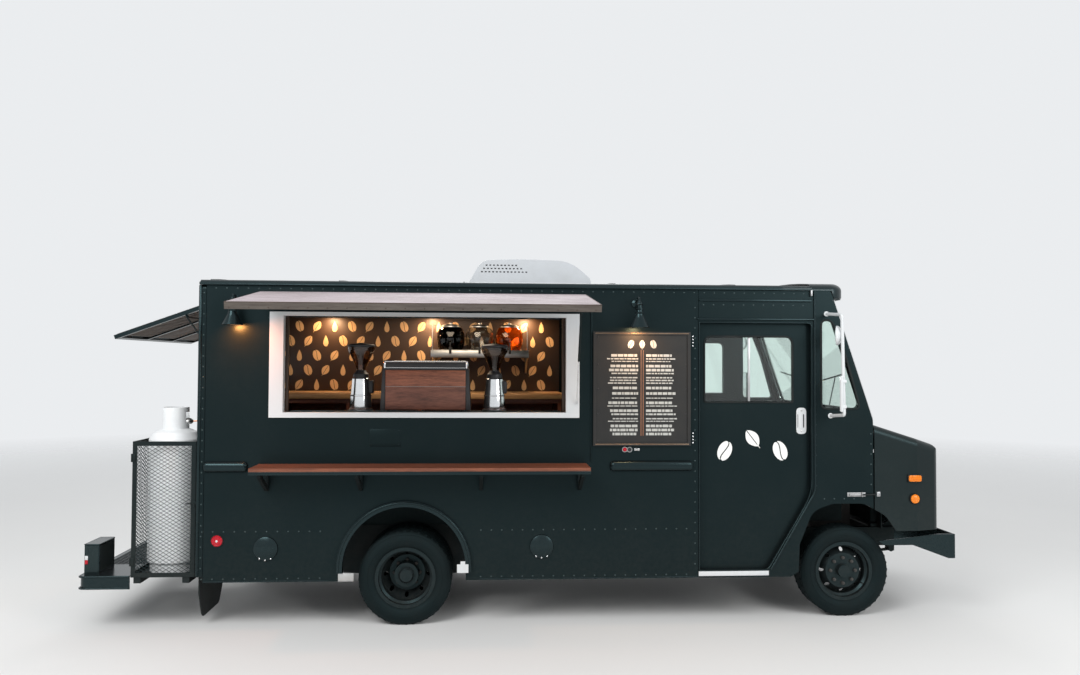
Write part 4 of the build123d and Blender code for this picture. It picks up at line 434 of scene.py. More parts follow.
def object_space(tree):
    return node(tree, "ShaderNodeTexCoord").outputs["Object"]


def stretched(tree, place, factors):
    return node(tree, "ShaderNodeVectorMath", {0: place, 1: factors}, operation="MULTIPLY").outputs["Vector"]


def cells(tree, place, scale):
    return node(tree, "ShaderNodeTexVoronoi", {"Vector": place, "Scale": scale}).outputs["Distance"]


def noise(tree, scale, detail=4.0, rough=0.55, place=None):
    place = object_space(tree) if place is None else place
    values = {"Scale": scale, "Detail": detail, "Roughness": rough, "Vector": place}
    return node(tree, "ShaderNodeTexNoise", values).outputs["Fac"]


def ramp(tree, source, low, high):
    """A 0 to 1 mask between two values of a factor."""
    values = {"Value": source, "From Min": low, "From Max": high}
    return node(tree, "ShaderNodeMapRange", values, clamp=True).outputs["Result"]


def math_node(tree, operation, first, second):
    return node(tree, "ShaderNodeMath", {0: first, 1: second}, operation=operation).outputs["Value"]


def plus(tree, first, second):
    return math_node(tree, "ADD", first, second)


def times(tree, first, second):
    return math_node(tree, "MULTIPLY", first, second)


def mix_colour(tree, factor, first, second):
    made = node(tree, "ShaderNodeMix", data_type="RGBA")
    feed(tree, [s for s in made.inputs if s.enabled], {0: factor, 1: first, 2: second})
    return [s for s in made.outputs if s.enabled][0]


def make_road_dust():
    """Dust that gathers low down and in clouds over a paint."""
    tree, given, result = group_start("road_dust", {"Paint": (0.02, 0.02, 0.02, 1),
                                                    "Dust": (0.2, 0.18, 0.15, 1), "Amount": 0.3, "Top": 1.0,
                                                    "Gloss": 0.4}, ("Color", "Roughness", "Height"))
    place = object_space(tree)
    height = node(tree, "ShaderNodeSeparateXYZ", {"Vector": place}).outputs["Z"]
    cloud = noise(tree, 2.3, 6.0, 0.6, place)
    fine = noise(tree, 38.0, 4.0, 0.6, place)
    base = times(tree, ramp(tree, cloud, 0.38, 0.72), 0.3)
    gathered = plus(tree, times(tree, ramp(tree, height, given["Top"], 0.15), 0.7), base)
    share = times(tree, times(tree, gathered, ramp(tree, fine, 0.25, 0.75)), given["Amount"])
    rough = plus(tree, given["Gloss"], times(tree, share, 0.5))
    feed(tree, result, {"Color": mix_colour(tree, share, given["Paint"], given["Dust"]),
                        "Roughness": plus(tree, rough, times(tree, ramp(tree, cloud, 0.3, 0.7), 0.05)),
                        "Height": noise(tree, 210.0, 2.0, 0.5, place)})
    return tree


def make_wood_grain():
    """Long grain and growth bands that run along X."""
    tree, given, result = group_start("wood_grain", {"Light": (0.4, 0.2, 0.1, 1),
                                                     "Dark": (0.1, 0.05, 0.03, 1), "Stretch": (1, 12, 12),
                                                     "Gloss": 0.4}, ("Color", "Roughness", "Height"))
    place = object_space(tree)
    drawn = stretched(tree, place, given["Stretch"])
    streaks = noise(tree, 24.0, 5.0, 0.7, drawn)
    tone = times(tree, ramp(tree, noise(tree, 6.0, 8.0, 0.62, drawn), 0.32, 0.68), 0.62)
    tone = plus(tree, tone, times(tree, ramp(tree, streaks, 0.4, 0.7), 0.25))
    tone = plus(tree, tone, times(tree, ramp(tree, noise(tree, 1.7, 3.0, 0.5, place), 0.3, 0.7), 0.22))
    feed(tree, result, {"Color": mix_colour(tree, tone, given["Light"], given["Dark"]),
                        "Roughness": plus(tree, given["Gloss"], times(tree, tone, 0.18)), "Height": streaks})
    return tree


def make_brushed():
    """Fine drawn lines on bare metal with faint smears."""
    tree, given, result = group_start("brushed_lines", {"Stretch": (1, 1, 40), "Gloss": 0.3},
                                      ("Roughness", "Height", "Shade"))
    place = object_space(tree)
    lines = noise(tree, 30.0, 3.0, 0.6, stretched(tree, place, given["Stretch"]))
    smears = noise(tree, 5.0, 4.0, 0.6, place)
    rough = plus(tree, given["Gloss"], times(tree, lines, 0.12))
    feed(tree, result, {"Roughness": plus(tree, rough, times(tree, ramp(tree, smears, 0.4, 0.7), 0.1)),
                        "Height": lines, "Shade": ramp(tree, smears, 0.35, 0.7)})
    return tree


def make_pebble():
    """A fine pebbled surface with cloudy tone, for rubber, moulded plastic and hide."""
    tree, given, result = group_start(
        "pebbled",
        {"Base": (0.1, 0.1, 0.1, 1), "Worn": (0.2, 0.2, 0.2, 1), "Scale": 300.0, "Wear": 0.3, "Gloss": 0.5},
        ("Color", "Roughness", "Height"))
    place = object_space(tree)
    share = times(tree, ramp(tree, noise(tree, 7.0, 6.0, 0.62, place), 0.42, 0.75), given["Wear"])
    feed(tree, result, {"Color": mix_colour(tree, share, given["Base"], given["Worn"]),
                        "Roughness": plus(tree, given["Gloss"], times(tree, share, 0.35)),
                        "Height": cells(tree, place, given["Scale"])})
    return tree


ROAD_DUST = make_road_dust()
WOOD_GRAIN = make_wood_grain()
BRUSHED = make_brushed()
PEBBLED = make_pebble()


def finish_start(name, metallic=0.0, coat=0.0, ior=1.45):
    """A new material and its shader's inputs."""
    material = bpy.data.materials.new(name)
    material.use_nodes = True
    tree = material.node_tree
    shader = tree.nodes["Principled BSDF"].inputs
    feed(tree, shader, {"Metallic": metallic, "Coat Weight": coat, "IOR": ior})
    return material, tree, shader


def bumped(tree, shader, height, strength, distance):
    """Relief on a shader, seen in its shading only."""
    values = {"Strength": strength, "Distance": distance, "Height": height}
    feed(tree, shader, {"Normal": node(tree, "ShaderNodeBump", values).outputs["Normal"]})


def place_group(tree, shader, group, values, bump, distance=0.0006):
    """A shared effect put in a material and wired to its shader."""
    effect = node(tree, "ShaderNodeGroup", values, node_tree=group).outputs
    if "Color" in effect:
        feed(tree, shader, {"Base Color": effect["Color"]})
    feed(tree, shader, {"Roughness": effect["Roughness"]})
    bumped(tree, shader, effect["Height"], bump, distance)
    return effect


def dusty_paint(name, paint, dust, amount, top, gloss, bump=0.04, coat=0.0, ior=1.45,
                gleam=(1.0, 1.0, 1.0)):
    """Paint with road dust; gleam is the tint of its reflections."""
    material, tree, shader = finish_start(name, 0.0, coat, ior)
    feed(tree, shader, {"Specular Tint": (*gleam, 1)})
    values = {"Paint": (*paint, 1), "Dust": (*dust, 1), "Amount": amount, "Top": top, "Gloss": gloss}
    place_group(tree, shader, ROAD_DUST, values, bump)
    return material


def timber(name, light, dark, stretch, gloss, bump=0.35):
    material, tree, shader = finish_start(name)
    values = {"Light": (*light, 1), "Dark": (*dark, 1), "Stretch": stretch, "Gloss": gloss}
    place_group(tree, shader, WOOD_GRAIN, values, bump, 0.0012)
    return material


def bare_metal(name, colour, smear, stretch, gloss, bump=0.08):
    material, tree, shader = finish_start(name, 1.0)
    effect = place_group(tree, shader, BRUSHED, {"Stretch": stretch, "Gloss": gloss}, bump, 0.0003)
    feed(tree, shader, {"Base Color": mix_colour(tree, effect["Shade"], (*colour, 1), (*smear, 1))})
    return material


def pebbled(name, base, worn, scale, wear, gloss, bump=0.25, coat=0.0, distance=0.0005):
    material, tree, shader = finish_start(name, 0.0, coat)
    values = {"Base": (*base, 1), "Worn": (*worn, 1), "Scale": scale, "Wear": wear, "Gloss": gloss}
    place_group(tree, shader, PEBBLED, values, bump, distance)
    return material


def clear_glass(name, tint, rough=0.02):
    """Glass with faint smears."""
    material, tree, shader = finish_start(name, 0.0, 0.0, 1.48)
    smears = ramp(tree, noise(tree, 3.0, 6.0, 0.7), 0.45, 0.8)
    feed(tree, shader, {"Base Color": (*tint, 1), "Transmission Weight": 1.0,
                        "Roughness": plus(tree, rough, times(tree, smears, 0.05))})
    return material


def lens_plastic(name, colour, deep):
    """A moulded lamp lens: coloured, glossy, with fine prism cells inside."""
    material, tree, shader = finish_start(name, 0.0, 0.25, 1.35)
    prisms = cells(tree, object_space(tree), 170.0)
    tone = mix_colour(tree, ramp(tree, prisms, 0.1, 0.7), (*colour, 1), (*deep, 1))
    rough = plus(tree, 0.16, times(tree, noise(tree, 9.0), 0.12))
    feed(tree, shader, {"Base Color": tone, "Transmission Weight": 0.15, "Roughness": rough})
    bumped(tree, shader, prisms, 0.3, 0.0008)
    return material


def glowing(name, colour, strength):
    """A lit bulb whose glow is mottled between its colour and a pale warm white."""
    material, tree, shader = finish_start(name)
    tone = mix_colour(tree, ramp(tree, noise(tree, 60.0, 2.0), 0.3, 0.7), (*colour, 1), (1.0, 0.85, 0.6, 1))
    feed(tree, shader, {"Base Color": (*colour, 1), "Emission Color": tone, "Emission Strength": strength})
    return material


ROAD = (0.16, 0.145, 0.125)
SEA_GLEAM = (0.58, 0.94, 1.0)
RUBBER_IOR = 1.28


def black_paint(name, paint, amount, top, gloss, bump, ior, coat=0.0):
    """A dark paint under road dust, with cool reflections."""
    return dusty_paint(name, paint, ROAD, amount, top, gloss, bump, coat, ior, SEA_GLEAM)


BODY_PAINT = black_paint("satin_black_body", (0.0045, 0.0078, 0.0086), 0.07, 0.95, 0.3, 0.04,
                         1.27)
ROOF_PAINT = black_paint("gloss_black_roof", (0.006, 0.01, 0.0115), 0.05, 0.5, 0.3, 0.03, 1.33,
                         0.25)
# Paler than the body's black, a painted highlight for rivet heads and mesh.
PAINTED_HIGHLIGHT_BLACK = black_paint("black_with_painted_highlights", (0.034, 0.044, 0.044), 0.1, 0.9, 0.3, 0.03,
                          1.45)
CHASSIS = black_paint("dull_black_underbody", (0.008, 0.009, 0.009), 0.12, 1.1, 0.5, 0.05,
                      1.3)
WHEEL_PAINT = black_paint("satin_black_wheel", (0.006, 0.009, 0.01), 0.12, 0.8, 0.32, 0.04,
                          1.34)
TRIM_BLACK = black_paint("gloss_black_trim", (0.005, 0.0075, 0.0085), 0.06, 0.9, 0.2, 0.04, 1.4)
# The nose's paint is paler than the body's: a painted sheen for the sky's reflection on its sides, with a
# little more dust.
NOSE_PAINT_WITH_PAINTED_SHEEN = black_paint("satin_black_nose_painted_sheen", (0.0095, 0.0115, 0.0115), 0.1, 1.1, 0.27, 0.04,
                         1.33)
WHITE_PAINT = dusty_paint("white_enamel", (0.64, 0.66, 0.67), (0.4, 0.37, 0.32), 0.22, 1.2,
                          0.32)
CYLINDER_PAINT = dusty_paint("white_cylinder_enamel", (0.8, 0.82, 0.83), (0.35, 0.3, 0.24),
                             0.3, 1.1, 0.34)
LINING_BROWN = dusty_paint("dark_brown_lining", (0.04, 0.021, 0.012), (0.1, 0.06, 0.03), 0.15,
                           1.0, 0.45)
MOTIF_TAN = dusty_paint("tan_motif_paint", (0.62, 0.4, 0.2), (0.45, 0.28, 0.14), 0.3, 3.0, 0.5)
MOTIF_WHITE = dusty_paint("white_motif_film", (0.8, 0.8, 0.78), (0.45, 0.42, 0.38), 0.2, 1.3,
                          0.4)
CHALK = dusty_paint("pale_chalk_mark", (0.5, 0.51, 0.48), (0.24, 0.24, 0.23), 0.6, 3.0, 0.8)
IRON = dusty_paint("dark_cast_iron", (0.035, 0.034, 0.033), ROAD, 0.4, 1.1, 0.6, 0.3)
PLASTIC_WHITE = pebbled("white_shroud_plastic", (0.55, 0.575, 0.6), (0.42, 0.43, 0.43), 420.0,
                        0.35, 0.34, 0.08)
PLASTIC_DARK = pebbled("dark_moulded_plastic", (0.02, 0.02, 0.022), (0.06, 0.06, 0.06), 380.0,
                       0.3, 0.42)
TYRE_RUBBER = pebbled("worn_tyre_rubber", (0.0042, 0.0062, 0.0066), (0.0105, 0.0125, 0.0125),
                      260.0, 0.65, 0.6, 0.3)
SOFT_RUBBER = pebbled("matte_black_rubber", (0.014, 0.014, 0.014), (0.05, 0.048, 0.045),
                      220.0, 0.5, 0.6)
SEAT_VINYL = pebbled("black_seat_vinyl", (0.018, 0.016, 0.015), (0.05, 0.045, 0.04), 150.0, 0.4,
                     0.38, 0.5, 0.0, 0.001)
SLATE = pebbled("dark_slate_board", (0.0085, 0.0085, 0.008), (0.024, 0.022, 0.019), 90.0, 0.5,
                0.5, 0.12)
RED_WOOD = timber("red_stained_wood", (0.26, 0.085, 0.042), (0.08, 0.024, 0.013),
                  (1.0, 14.0, 14.0), 0.28)
BOARD_WOOD = timber("oiled_board_wood", (0.42, 0.15, 0.08), (0.1, 0.035, 0.022), (0.9, 9.0, 9.0),
                    0.34, 0.5)
DARK_BOARD_WOOD = timber("dark_oiled_board_wood", (0.27, 0.105, 0.065), (0.07, 0.026, 0.018),
                         (0.7, 6.0, 6.0), 0.36, 0.6)
FASCIA_WOOD = timber("aged_fascia_boards", (0.105, 0.088, 0.074), (0.042, 0.032, 0.026),
                     (0.8, 12.0, 12.0), 0.55)
GREY_BOARDS = timber("grey_brown_fascia", (0.19, 0.155, 0.13), (0.085, 0.062, 0.05),
                     (0.8, 16.0, 16.0), 0.5, 0.6)
# The awning's top boards: weathered wood, painted pale mauve with the sky's sheen seen at a grazing angle.
MAUVE_BOARDS_PAINTED_SHEEN = timber("weathered_boards_painted_sky_sheen", (0.56, 0.48, 0.52), (0.15, 0.115, 0.105),
                      (0.8, 16.0, 16.0), 0.48, 0.6)
BROWN_EDGE = timber("brown_board_edge", (0.078, 0.05, 0.037), (0.024, 0.015, 0.011),
                    (0.8, 14.0, 20.0), 0.5, 0.5)
SHELF_WOOD = timber("tan_shelf_wood", (0.52, 0.31, 0.14), (0.26, 0.13, 0.055), (1.0, 14.0, 14.0),
                    0.35)
STEEL = bare_metal("drawn_steel", (0.62, 0.62, 0.61), (0.45, 0.45, 0.44), (1.0, 1.0, 30.0),
                   0.24)
CHROME = bare_metal("polished_chrome", (0.85, 0.86, 0.87), (0.72, 0.73, 0.74),
                    (4.0, 4.0, 4.0), 0.05, 0.01)
ALUMINIUM = bare_metal("tread_aluminium", (0.5, 0.51, 0.52), (0.33, 0.33, 0.33),
                       (20.0, 1.0, 1.0), 0.36)
BRONZE = bare_metal("dull_bronze", (0.3, 0.215, 0.15), (0.16, 0.11, 0.075), (20.0, 1.0, 1.0),
                    0.34)
COPPER = bare_metal("warm_copper", (0.78, 0.36, 0.2), (0.45, 0.19, 0.1), (20.0, 1.0, 1.0),
                    0.28)
BRASS = bare_metal("old_brass", (0.7, 0.5, 0.22), (0.42, 0.3, 0.14), (6.0, 6.0, 6.0), 0.3)
GREEN_GLASS = clear_glass("faint_green_glass", (0.86, 0.955, 0.915))
SMOKE_GLASS = clear_glass("smoky_hopper", (0.34, 0.27, 0.22))
JAR_GLASS = clear_glass("clear_jar", (0.93, 0.94, 0.92), 0.03)
JAR_DARK = clear_glass("dark_jar", (0.045, 0.036, 0.032), 0.03)
JAR_ORANGE = clear_glass("orange_jar", (0.97, 0.46, 0.14), 0.04)
LAMP_GLASS = clear_glass("fluted_lamp_glass", (0.92, 0.95, 0.96), 0.05)
AMBER = lens_plastic("amber_lamp_lens", (1.0, 0.33, 0.02), (0.85, 0.2, 0.01))
RED = lens_plastic("red_lamp_lens", (0.66, 0.003, 0.022), (0.4, 0.002, 0.012))
BULB = glowing("warm_bulb", (1.0, 0.62, 0.3), 6.0)

for rubber in (TYRE_RUBBER, SOFT_RUBBER):
    shader_of = rubber.node_tree.nodes["Principled BSDF"].inputs
    feed(rubber.node_tree, shader_of, {"Specular Tint": (*SEA_GLEAM, 1), "IOR": RUBBER_IOR})

CAD_FINISH = {"chassis_paint": CHASSIS, "engine_iron": IRON, "brushed_steel": STEEL, "floor_plate": ALUMINIUM,
              "body_paint": BODY_PAINT, "window_glass": GREEN_GLASS, "white_paint": WHITE_PAINT,
              "red_wood": RED_WOOD, "slate_board": SLATE, "gloss_white": PLASTIC_WHITE, "red_lens": RED,
              "dark_plastic": PLASTIC_DARK, "seat_vinyl": SEAT_VINYL, "bright_chrome": CHROME,
              "black_rubber": SOFT_RUBBER, "clear_lens": LAMP_GLASS, "amber_lens": AMBER,
              "weathered_boards": GREY_BOARDS, "wheel_paint": WHEEL_PAINT, "tyre_rubber": TYRE_RUBBER,}
for part in frame["record"]["subparts"]:
    solid = frame["nodes"][part["node"]]
    solid.data.materials.clear()
    solid.data.materials.append(CAD_FINISH[part["material_slot"]])
OWN_FINISH = {
    "gas_cylinder": CYLINDER_PAINT, "fuel_tank": CHASSIS, "roof": ROOF_PAINT, "front_cap": ROOF_PAINT,
    "rear_flap": TRIM_BLACK, "rear_bumper": TRIM_BLACK, "arch_flares": TRIM_BLACK, "front_bumper": TRIM_BLACK,
    "nose": NOSE_PAINT_WITH_PAINTED_SHEEN, "awning": FASCIA_WOOD,
}
for name, finish in OWN_FINISH.items():
    frame["nodes"][name].data.materials[0] = finish

# The camera stands where the photograph's straight edges say

EYE = (0.561, -7.741, 1.95)
YAW = 0.0642
PITCH = 0.0285
ROLL = -0.0047
FOCAL_LENGTH = 29.92
forward = Vector((math.sin(YAW) * math.cos(PITCH), math.cos(YAW) * math.cos(PITCH), math.sin(PITCH)))
level_right = Vector((math.cos(YAW), -math.sin(YAW), 0.0))
level_up = level_right.cross(forward)
right = level_right * math.cos(ROLL) - level_up * math.sin(ROLL)
up = level_up * math.cos(ROLL) + level_right * math.sin(ROLL)
camera_data = bpy.data.cameras.new("camera")
camera_data.lens = FOCAL_LENGTH
camera_data.sensor_width = 36.0
camera = bpy.data.objects.new("camera", camera_data)
bpy.context.scene.collection.objects.link(camera)
camera.matrix_world = Matrix.Translation(spot(*EYE)) @ Matrix((right, up, -forward)).transposed().to_4x4()
bpy.context.scene.camera = camera


# Wheels

# Half of a tyre's section from the bead out: distance from its middle, share of the way from bead to tread
TYRE_WALL = [(0.071, 0.0), (0.0735, 0.075), (0.082, 0.13), (0.092, 0.2), (0.0985, 0.31), (0.1015, 0.43),
             (0.1022, 0.465), (0.1005, 0.485), (0.1022, 0.505), (0.1018, 0.6), (0.099, 0.71), (0.095, 0.795),
             (0.0925, 0.81), (0.093, 0.835), (0.088, 0.91), (0.08, 0.975), (0.0745, 0.99)]
TREAD_RIBS = [(0.0745, 0.048), (0.041, 0.015), (0.009, -0.009), (-0.015, -0.041), (-0.048, -0.0745)]
GROOVE_DEPTH = 0.01


def tyre_form(name, centre_y):
    """One tyre: bead, rounded wall with raised rings, shoulder and grooved tread."""
    reach = TYRE_RADIUS - BEAD_RADIUS
    wall = [(run, BEAD_RADIUS + share * reach) for run, share in TYRE_WALL]
    top = TYRE_RADIUS - 0.0009
    tread = []
    for start, end in TREAD_RIBS:
        if tread:
            tread.append((start + 0.0015, top - GROOVE_DEPTH))
        tread += [(start, top), (end, top)]
        if (start, end) != TREAD_RIBS[-1]:
            tread.append((end - 0.0015, top - GROOVE_DEPTH))
    profile = wall + tread + [(-run, radius) for run, radius in wall[::-1]]
    tyre = spun(name, profile, (0.0, centre_y, HUB_Z), "Y", 120, True, 30.0)
    open_up(tyre)

    def shoulder_block(face):
        here = face.calc_center_median() - spot(0.0, centre_y, HUB_Z)
        turn = int(math.degrees(math.atan2(here.z, here.x)) // 3)
        return math.hypot(here.x, here.z) > top - 0.001 and abs(here.y) > 0.05 and turn % 3 == 0

    choose_faces(tyre, shoulder_block)
    bpy.ops.mesh.inset(thickness=0.0015, use_individual=True)
    bpy.ops.transform.shrink_fatten(value=-0.006)
    close_up()
    return smooth(tyre, 30.0)


NUT_RING = 0.098
NUTS = 8


def wheel_nuts(name, centre, side):
    """Nuts on their studs round the hub."""
    x, y, z = centre
    at = (x + NUT_RING, z)
    nut = bar("nut", (at[0], y, at[1]), (at[0], y + side * 0.02, at[1]), 0.0135, 6, 0.0015)
    stud = bar("stud", (at[0], y, at[1]), (at[0], y + side * 0.03, at[1]), 0.0065, 10, 0.001)
    return ring_of(joined("nut_and_stud", [nut, stud]), NUTS, centre, "Y", name)


def valve_stem(name, centre, side):
    """A tyre valve that stands out of the rim."""
    x, y, z = centre
    stem = bent("stem", [(x + 0.15, y - side * 0.03, z - 0.1), (x + 0.152, y + side * 0.005, z - 0.1),
                         (x + 0.146, y + side * 0.03, z - 0.096)], 0.004, 0.02)
    cap = bar("cap", (x + 0.146, y + side * 0.03, z - 0.096), (x + 0.143, y + side * 0.042, z - 0.094),
              0.0058, 12, 0.001)
    return joined(name, [stem, cap])


FRONT_FACE_Y = 0.85
REAR_FACE_Y = 0.768
FRONT_TYRE_Y = 0.8
REAR_TYRE_Y = 0.88
first_tyre = tyre_form("tyre_pattern", 0.0)
for side, label in SIDES:
    front = copied(first_tyre, f"tyre_front_{label}", (WHEELBASE, side * FRONT_TYRE_Y, 0.0))
    dress(front, TYRE_RUBBER, f"wheel_front_{label}", [f"front_tyre_{label}"])
    outer = copied(first_tyre, "outer_tyre", (0.0, side * REAR_TYRE_Y, 0.0))
    inner = copied(first_tyre, "inner_tyre", (0.0, side * (REAR_TYRE_Y - TWIN_SPACING), 0.0))
    fitted(f"tyres_rear_{label}", [outer, inner], TYRE_RUBBER, f"wheel_rear_{label}", [f"rear_tyres_{label}"])
    for axle, x, y in (("front", WHEELBASE, FRONT_FACE_Y), ("rear", 0.0, REAR_FACE_Y)):
        body = f"wheel_{axle}_{label}"
        dress(wheel_nuts(f"wheel_nuts_{axle}_{label}", (x, side * y, HUB_Z), side), IRON, body)
        dress(valve_stem(f"valve_{axle}_{label}", (x, side * y, HUB_Z), side), SOFT_RUBBER, body)
bpy.data.objects.remove(first_tyre)


# Body panels

RIVET = [(0.0, 0.0062), (0.0016, 0.0054), (0.0028, 0.003), (0.0032, 0.0003)]
RIVET_STEP = 0.077
ALONG = (RIVET_STEP, 0, 0)
ACROSS = (0, RIVET_STEP, 0)
UPWARD = (0, 0, RIVET_STEP)
# Rows on each side of the body: first rivet's place along it and height, how many, and the step between them
RIVET_ROWS = [(-1.46, 0.713, 12, ALONG), (0.56, 0.713, 21, ALONG), (-1.46, 0.372, 12, ALONG),
              (0.56, 0.372, 21, ALONG), (-1.46, 2.488, 59, ALONG), (2.23, 2.398, 11, ALONG),
              (-1.468, 0.45, 27, UPWARD), (2.165, 0.45, 26, UPWARD), (3.095, 1.03, 18, UPWARD),
              (3.525, 0.96, 7, UPWARD), (3.16, 0.93, 4, ALONG)]


def rivets(name, start, count, step, out=(0, -1)):
    """A row of dome-headed rivets; out is the face's axis, 0 along X or 1 along Y, and its direction."""
    axis = "XY"[1 if out[0] == 0 else 0]
    profile = [(run * out[1], radius) for run, radius in RIVET]
    return in_a_row(spun(name, profile, start, axis, 8, False, 60.0), count, step)


def screw_head(name, place, side, radius=0.007):
    """A pan-head screw with a cross cut in it, on a side face."""
    x, y, z = place
    head = spun("head", [(0.0, radius), (side * 0.0016, radius * 0.92), (side * 0.003, radius * 0.5),
                         (side * 0.0032, 0.0004)], (x, y, z), "Y", 16)
    cuts = [plate("cut", around(x, a), (y + side * 0.0028, y + side * 0.0036), around(z, b), 0.0004, 1) for a,
            b in ((radius * 0.6, 0.0008), (0.0008, radius * 0.6))]
    return joined(name, [head, *cuts])


DOOR_SPAN = (2.197, 3.065)
DOOR_SURROUND = [(2.197, 0.398), (2.722, 0.398), (3.065, 0.967), (3.065, 2.265), (2.197, 2.265)]
QUARTER_GLASS = [(3.14, 1.612), (3.442, 1.612), (3.33, 2.02), (3.222, 2.288), (3.14, 2.288)]
JAMB_LINE = [(3.088, 2.504), (3.088, 0.985), (2.745, 0.404)]
ARCH_REACH = 0.55


def wall_trim(side, label):
    """Rivet rows, ledges, beads and small plates on one side of the body."""
    face = side * WALL_Y
    rows = [rivets("row", (x, face, z), count, step, (0, side)) for x, z, count, step in RIVET_ROWS]
    fitted(f"rivets_{label}", rows, PAINTED_HIGHLIGHT_BLACK)
    ledge = plate("header_ledge", DOOR_SPAN, (face, face + side * 0.011), (2.424, 2.44), 0.004)
    drip = plate("drip_rail", (2.18, 3.085), (face, face + side * 0.014), (2.282, 2.296), 0.005)
    surround = bead("door_surround",
                    [(x, face, z) for x, z in rounded(DOOR_SURROUND, [0.01, 0.04, 0.12, 0.03, 0.01])], 0.0055)
    jamb = bent("jamb_bead", [(x, face + side * 0.003, z) for x, z in JAMB_LINE], 0.0085, 0.1, 8)
    skirt = [plate("skirt_angle", span, (face, face + side * 0.004), (0.348, 0.36), 0.0015)
             for span in ((-1.449, -ARCH_REACH), (ARCH_REACH, 2.186))]
    corner = bar("corner_strip", (-1.493, side * 1.0465, 0.392), (-1.493, side * 1.0465, 2.51), 0.013, 20,
                 0.004)
    fitted(f"body_beads_{label}", [ledge, drip, surround, jamb, *skirt, corner], TRIM_BLACK)
    sill = plate(f"sill_strip_{label}", (2.192, 2.728), (face, face + side * 0.005), (0.359, 0.394), 0.002)
    dress(sill, WHITE_PAINT)
    gasket = bead(f"quarter_gasket_{label}", [(x, face, z) for x, z in rounded(QUARTER_GLASS, 0.045)], 0.0085)
    dress(gasket, SOFT_RUBBER)
    clip = plate(f"gutter_clip_{label}", (3.052, 3.066), (face, side * 1.074), (2.47, 2.514), 0.003)
    dress(clip, ALUMINIUM)


for side, label in SIDES:
    wall_trim(side, label)

FLARE_BEAD = 0.481
FLARE_CENTRE_Z = 0.44
FLARE_FOOT_Z = 0.413
FLARE_STEPS = 24
for side, label in SIDES:
    y = side * (WALL_Y + 0.0275)
    arc = [(-FLARE_BEAD * math.cos(math.pi * k / FLARE_STEPS), y,
            FLARE_CENTRE_Z + FLARE_BEAD * math.sin(math.pi * k / FLARE_STEPS))
           for k in range(FLARE_STEPS + 1)]
    line = [(-FLARE_BEAD, y, FLARE_FOOT_Z), *arc, (FLARE_BEAD, y, FLARE_FOOT_Z)]
    dress(bent(f"arch_bead_{label}", line, 0.0095, 0.03, 8), TRIM_BLACK)

RUB_Z = (1.146, 1.222)
RUB_SPANS = {"right": ((-1.448, -1.15), (1.53, 2.136)), "left": ((-1.448, 2.136),)}
for side, label in SIDES:
    rails = []
    for low, high in RUB_SPANS[label]:
        rails.append(plate("rail", (low - 0.012, high + 0.012),
                           (side * (WALL_Y - 0.02), side * (WALL_Y + 0.032)), RUB_Z, 0.03, 6))
    fitted(f"rub_rails_{label}", rails, TRIM_BLACK)

VENT_X = (-1.004, 1.01)
VENT_Z = 0.59
VENT_SCREW_RING = 0.081
SWITCH_Z = 1.306
PILOT_AT = (1.631, -WALL_Y, SWITCH_Z)
SOCKET_AT = (1.6665, -WALL_Y, SWITCH_Z)
pilot = spun("switch_pilot_lens", [(0.0, 0.016), (-0.004, 0.016), (-0.01, 0.012), (-0.0125, 0.0005)],
             PILOT_AT, "Y", 24)
dress(pilot, RED)
SOCKET_RING = [(0.0, 0.0135), (0.0, 0.023), (-0.004, 0.023), (-0.009, 0.019), (-0.009, 0.016),
               (-0.003, 0.0135)]
PILOT_COLLAR = [(0.0, 0.0162), (0.0, 0.0195), (-0.005, 0.0195), (-0.005, 0.0162)]
KEY_BARREL = [(0.0, 0.007), (-0.009, 0.007), (-0.01, 0.006), (-0.01, 0.0005)]
KEY_X = 1.723
fittings = [
    spun("ring", SOCKET_RING, SOCKET_AT, "Y", 32, True),
    spun("collar", PILOT_COLLAR, PILOT_AT, "Y", 32, True),
    plate("lock_plate", (1.702, 1.744), (-WALL_Y - 0.005, -WALL_Y), around(SWITCH_Z, 0.01), 0.0035, 3),
    spun("key_barrel", KEY_BARREL, (KEY_X, -WALL_Y, SWITCH_Z), "Y", 20),
]
fitted("switch_fittings", fittings, STEEL)
socket = spun("switch_socket", [(0.0, 0.0134), (-0.0025, 0.0134), (-0.0025, 0.0005)], SOCKET_AT, "Y", 24)
dress(socket, PLASTIC_DARK)
VENT_DOME = [(0.0, 0.0885), (0.007, 0.0885), (0.012, 0.086), (0.0155, 0.078), (0.0215, 0.056), (0.025, 0.03),
             (0.0262, 0.0005)]
for side, label in SIDES:
    domes = [spun("dome", [(side * run, radius) for run, radius in VENT_DOME], (x, side * WALL_Y, VENT_Z),
                  "Y", 48) for x in VENT_X]
    fitted(f"vent_domes_{label}", domes, TRIM_BLACK)
    fixings = []
    for x in VENT_X:
        for degrees in (-60, -90, -120):
            turn = math.radians(degrees)
            place = (x + VENT_SCREW_RING * math.cos(turn), side * (WALL_Y + 0.0135),
                     VENT_Z + VENT_SCREW_RING * math.sin(turn))
            fixings.append(screw_head("fixing", place, side, 0.006))
    fitted(f"vent_fixings_{label}", fixings, CHROME)

WALL_OUT = -WALL_Y
batten = plate("wall_batten", (1.371, 1.383), (WALL_OUT - 0.007, WALL_OUT), (1.216, 2.415), 0.002)
hatch = plate("access_plate", (-0.262, -0.034), (WALL_OUT - 0.003, WALL_OUT), (1.33, 1.46), 0.0012)
fitted("wall_plates", [batten, hatch], BODY_PAINT)
plate_screws = [screw_head("plate_screw", (x, WALL_OUT - 0.003, z), -1, 0.0045) for x in (-0.249, -0.047)
                for z in (1.343, 1.447)]
fitted("access_plate_screws", plate_screws, TRIM_BLACK)

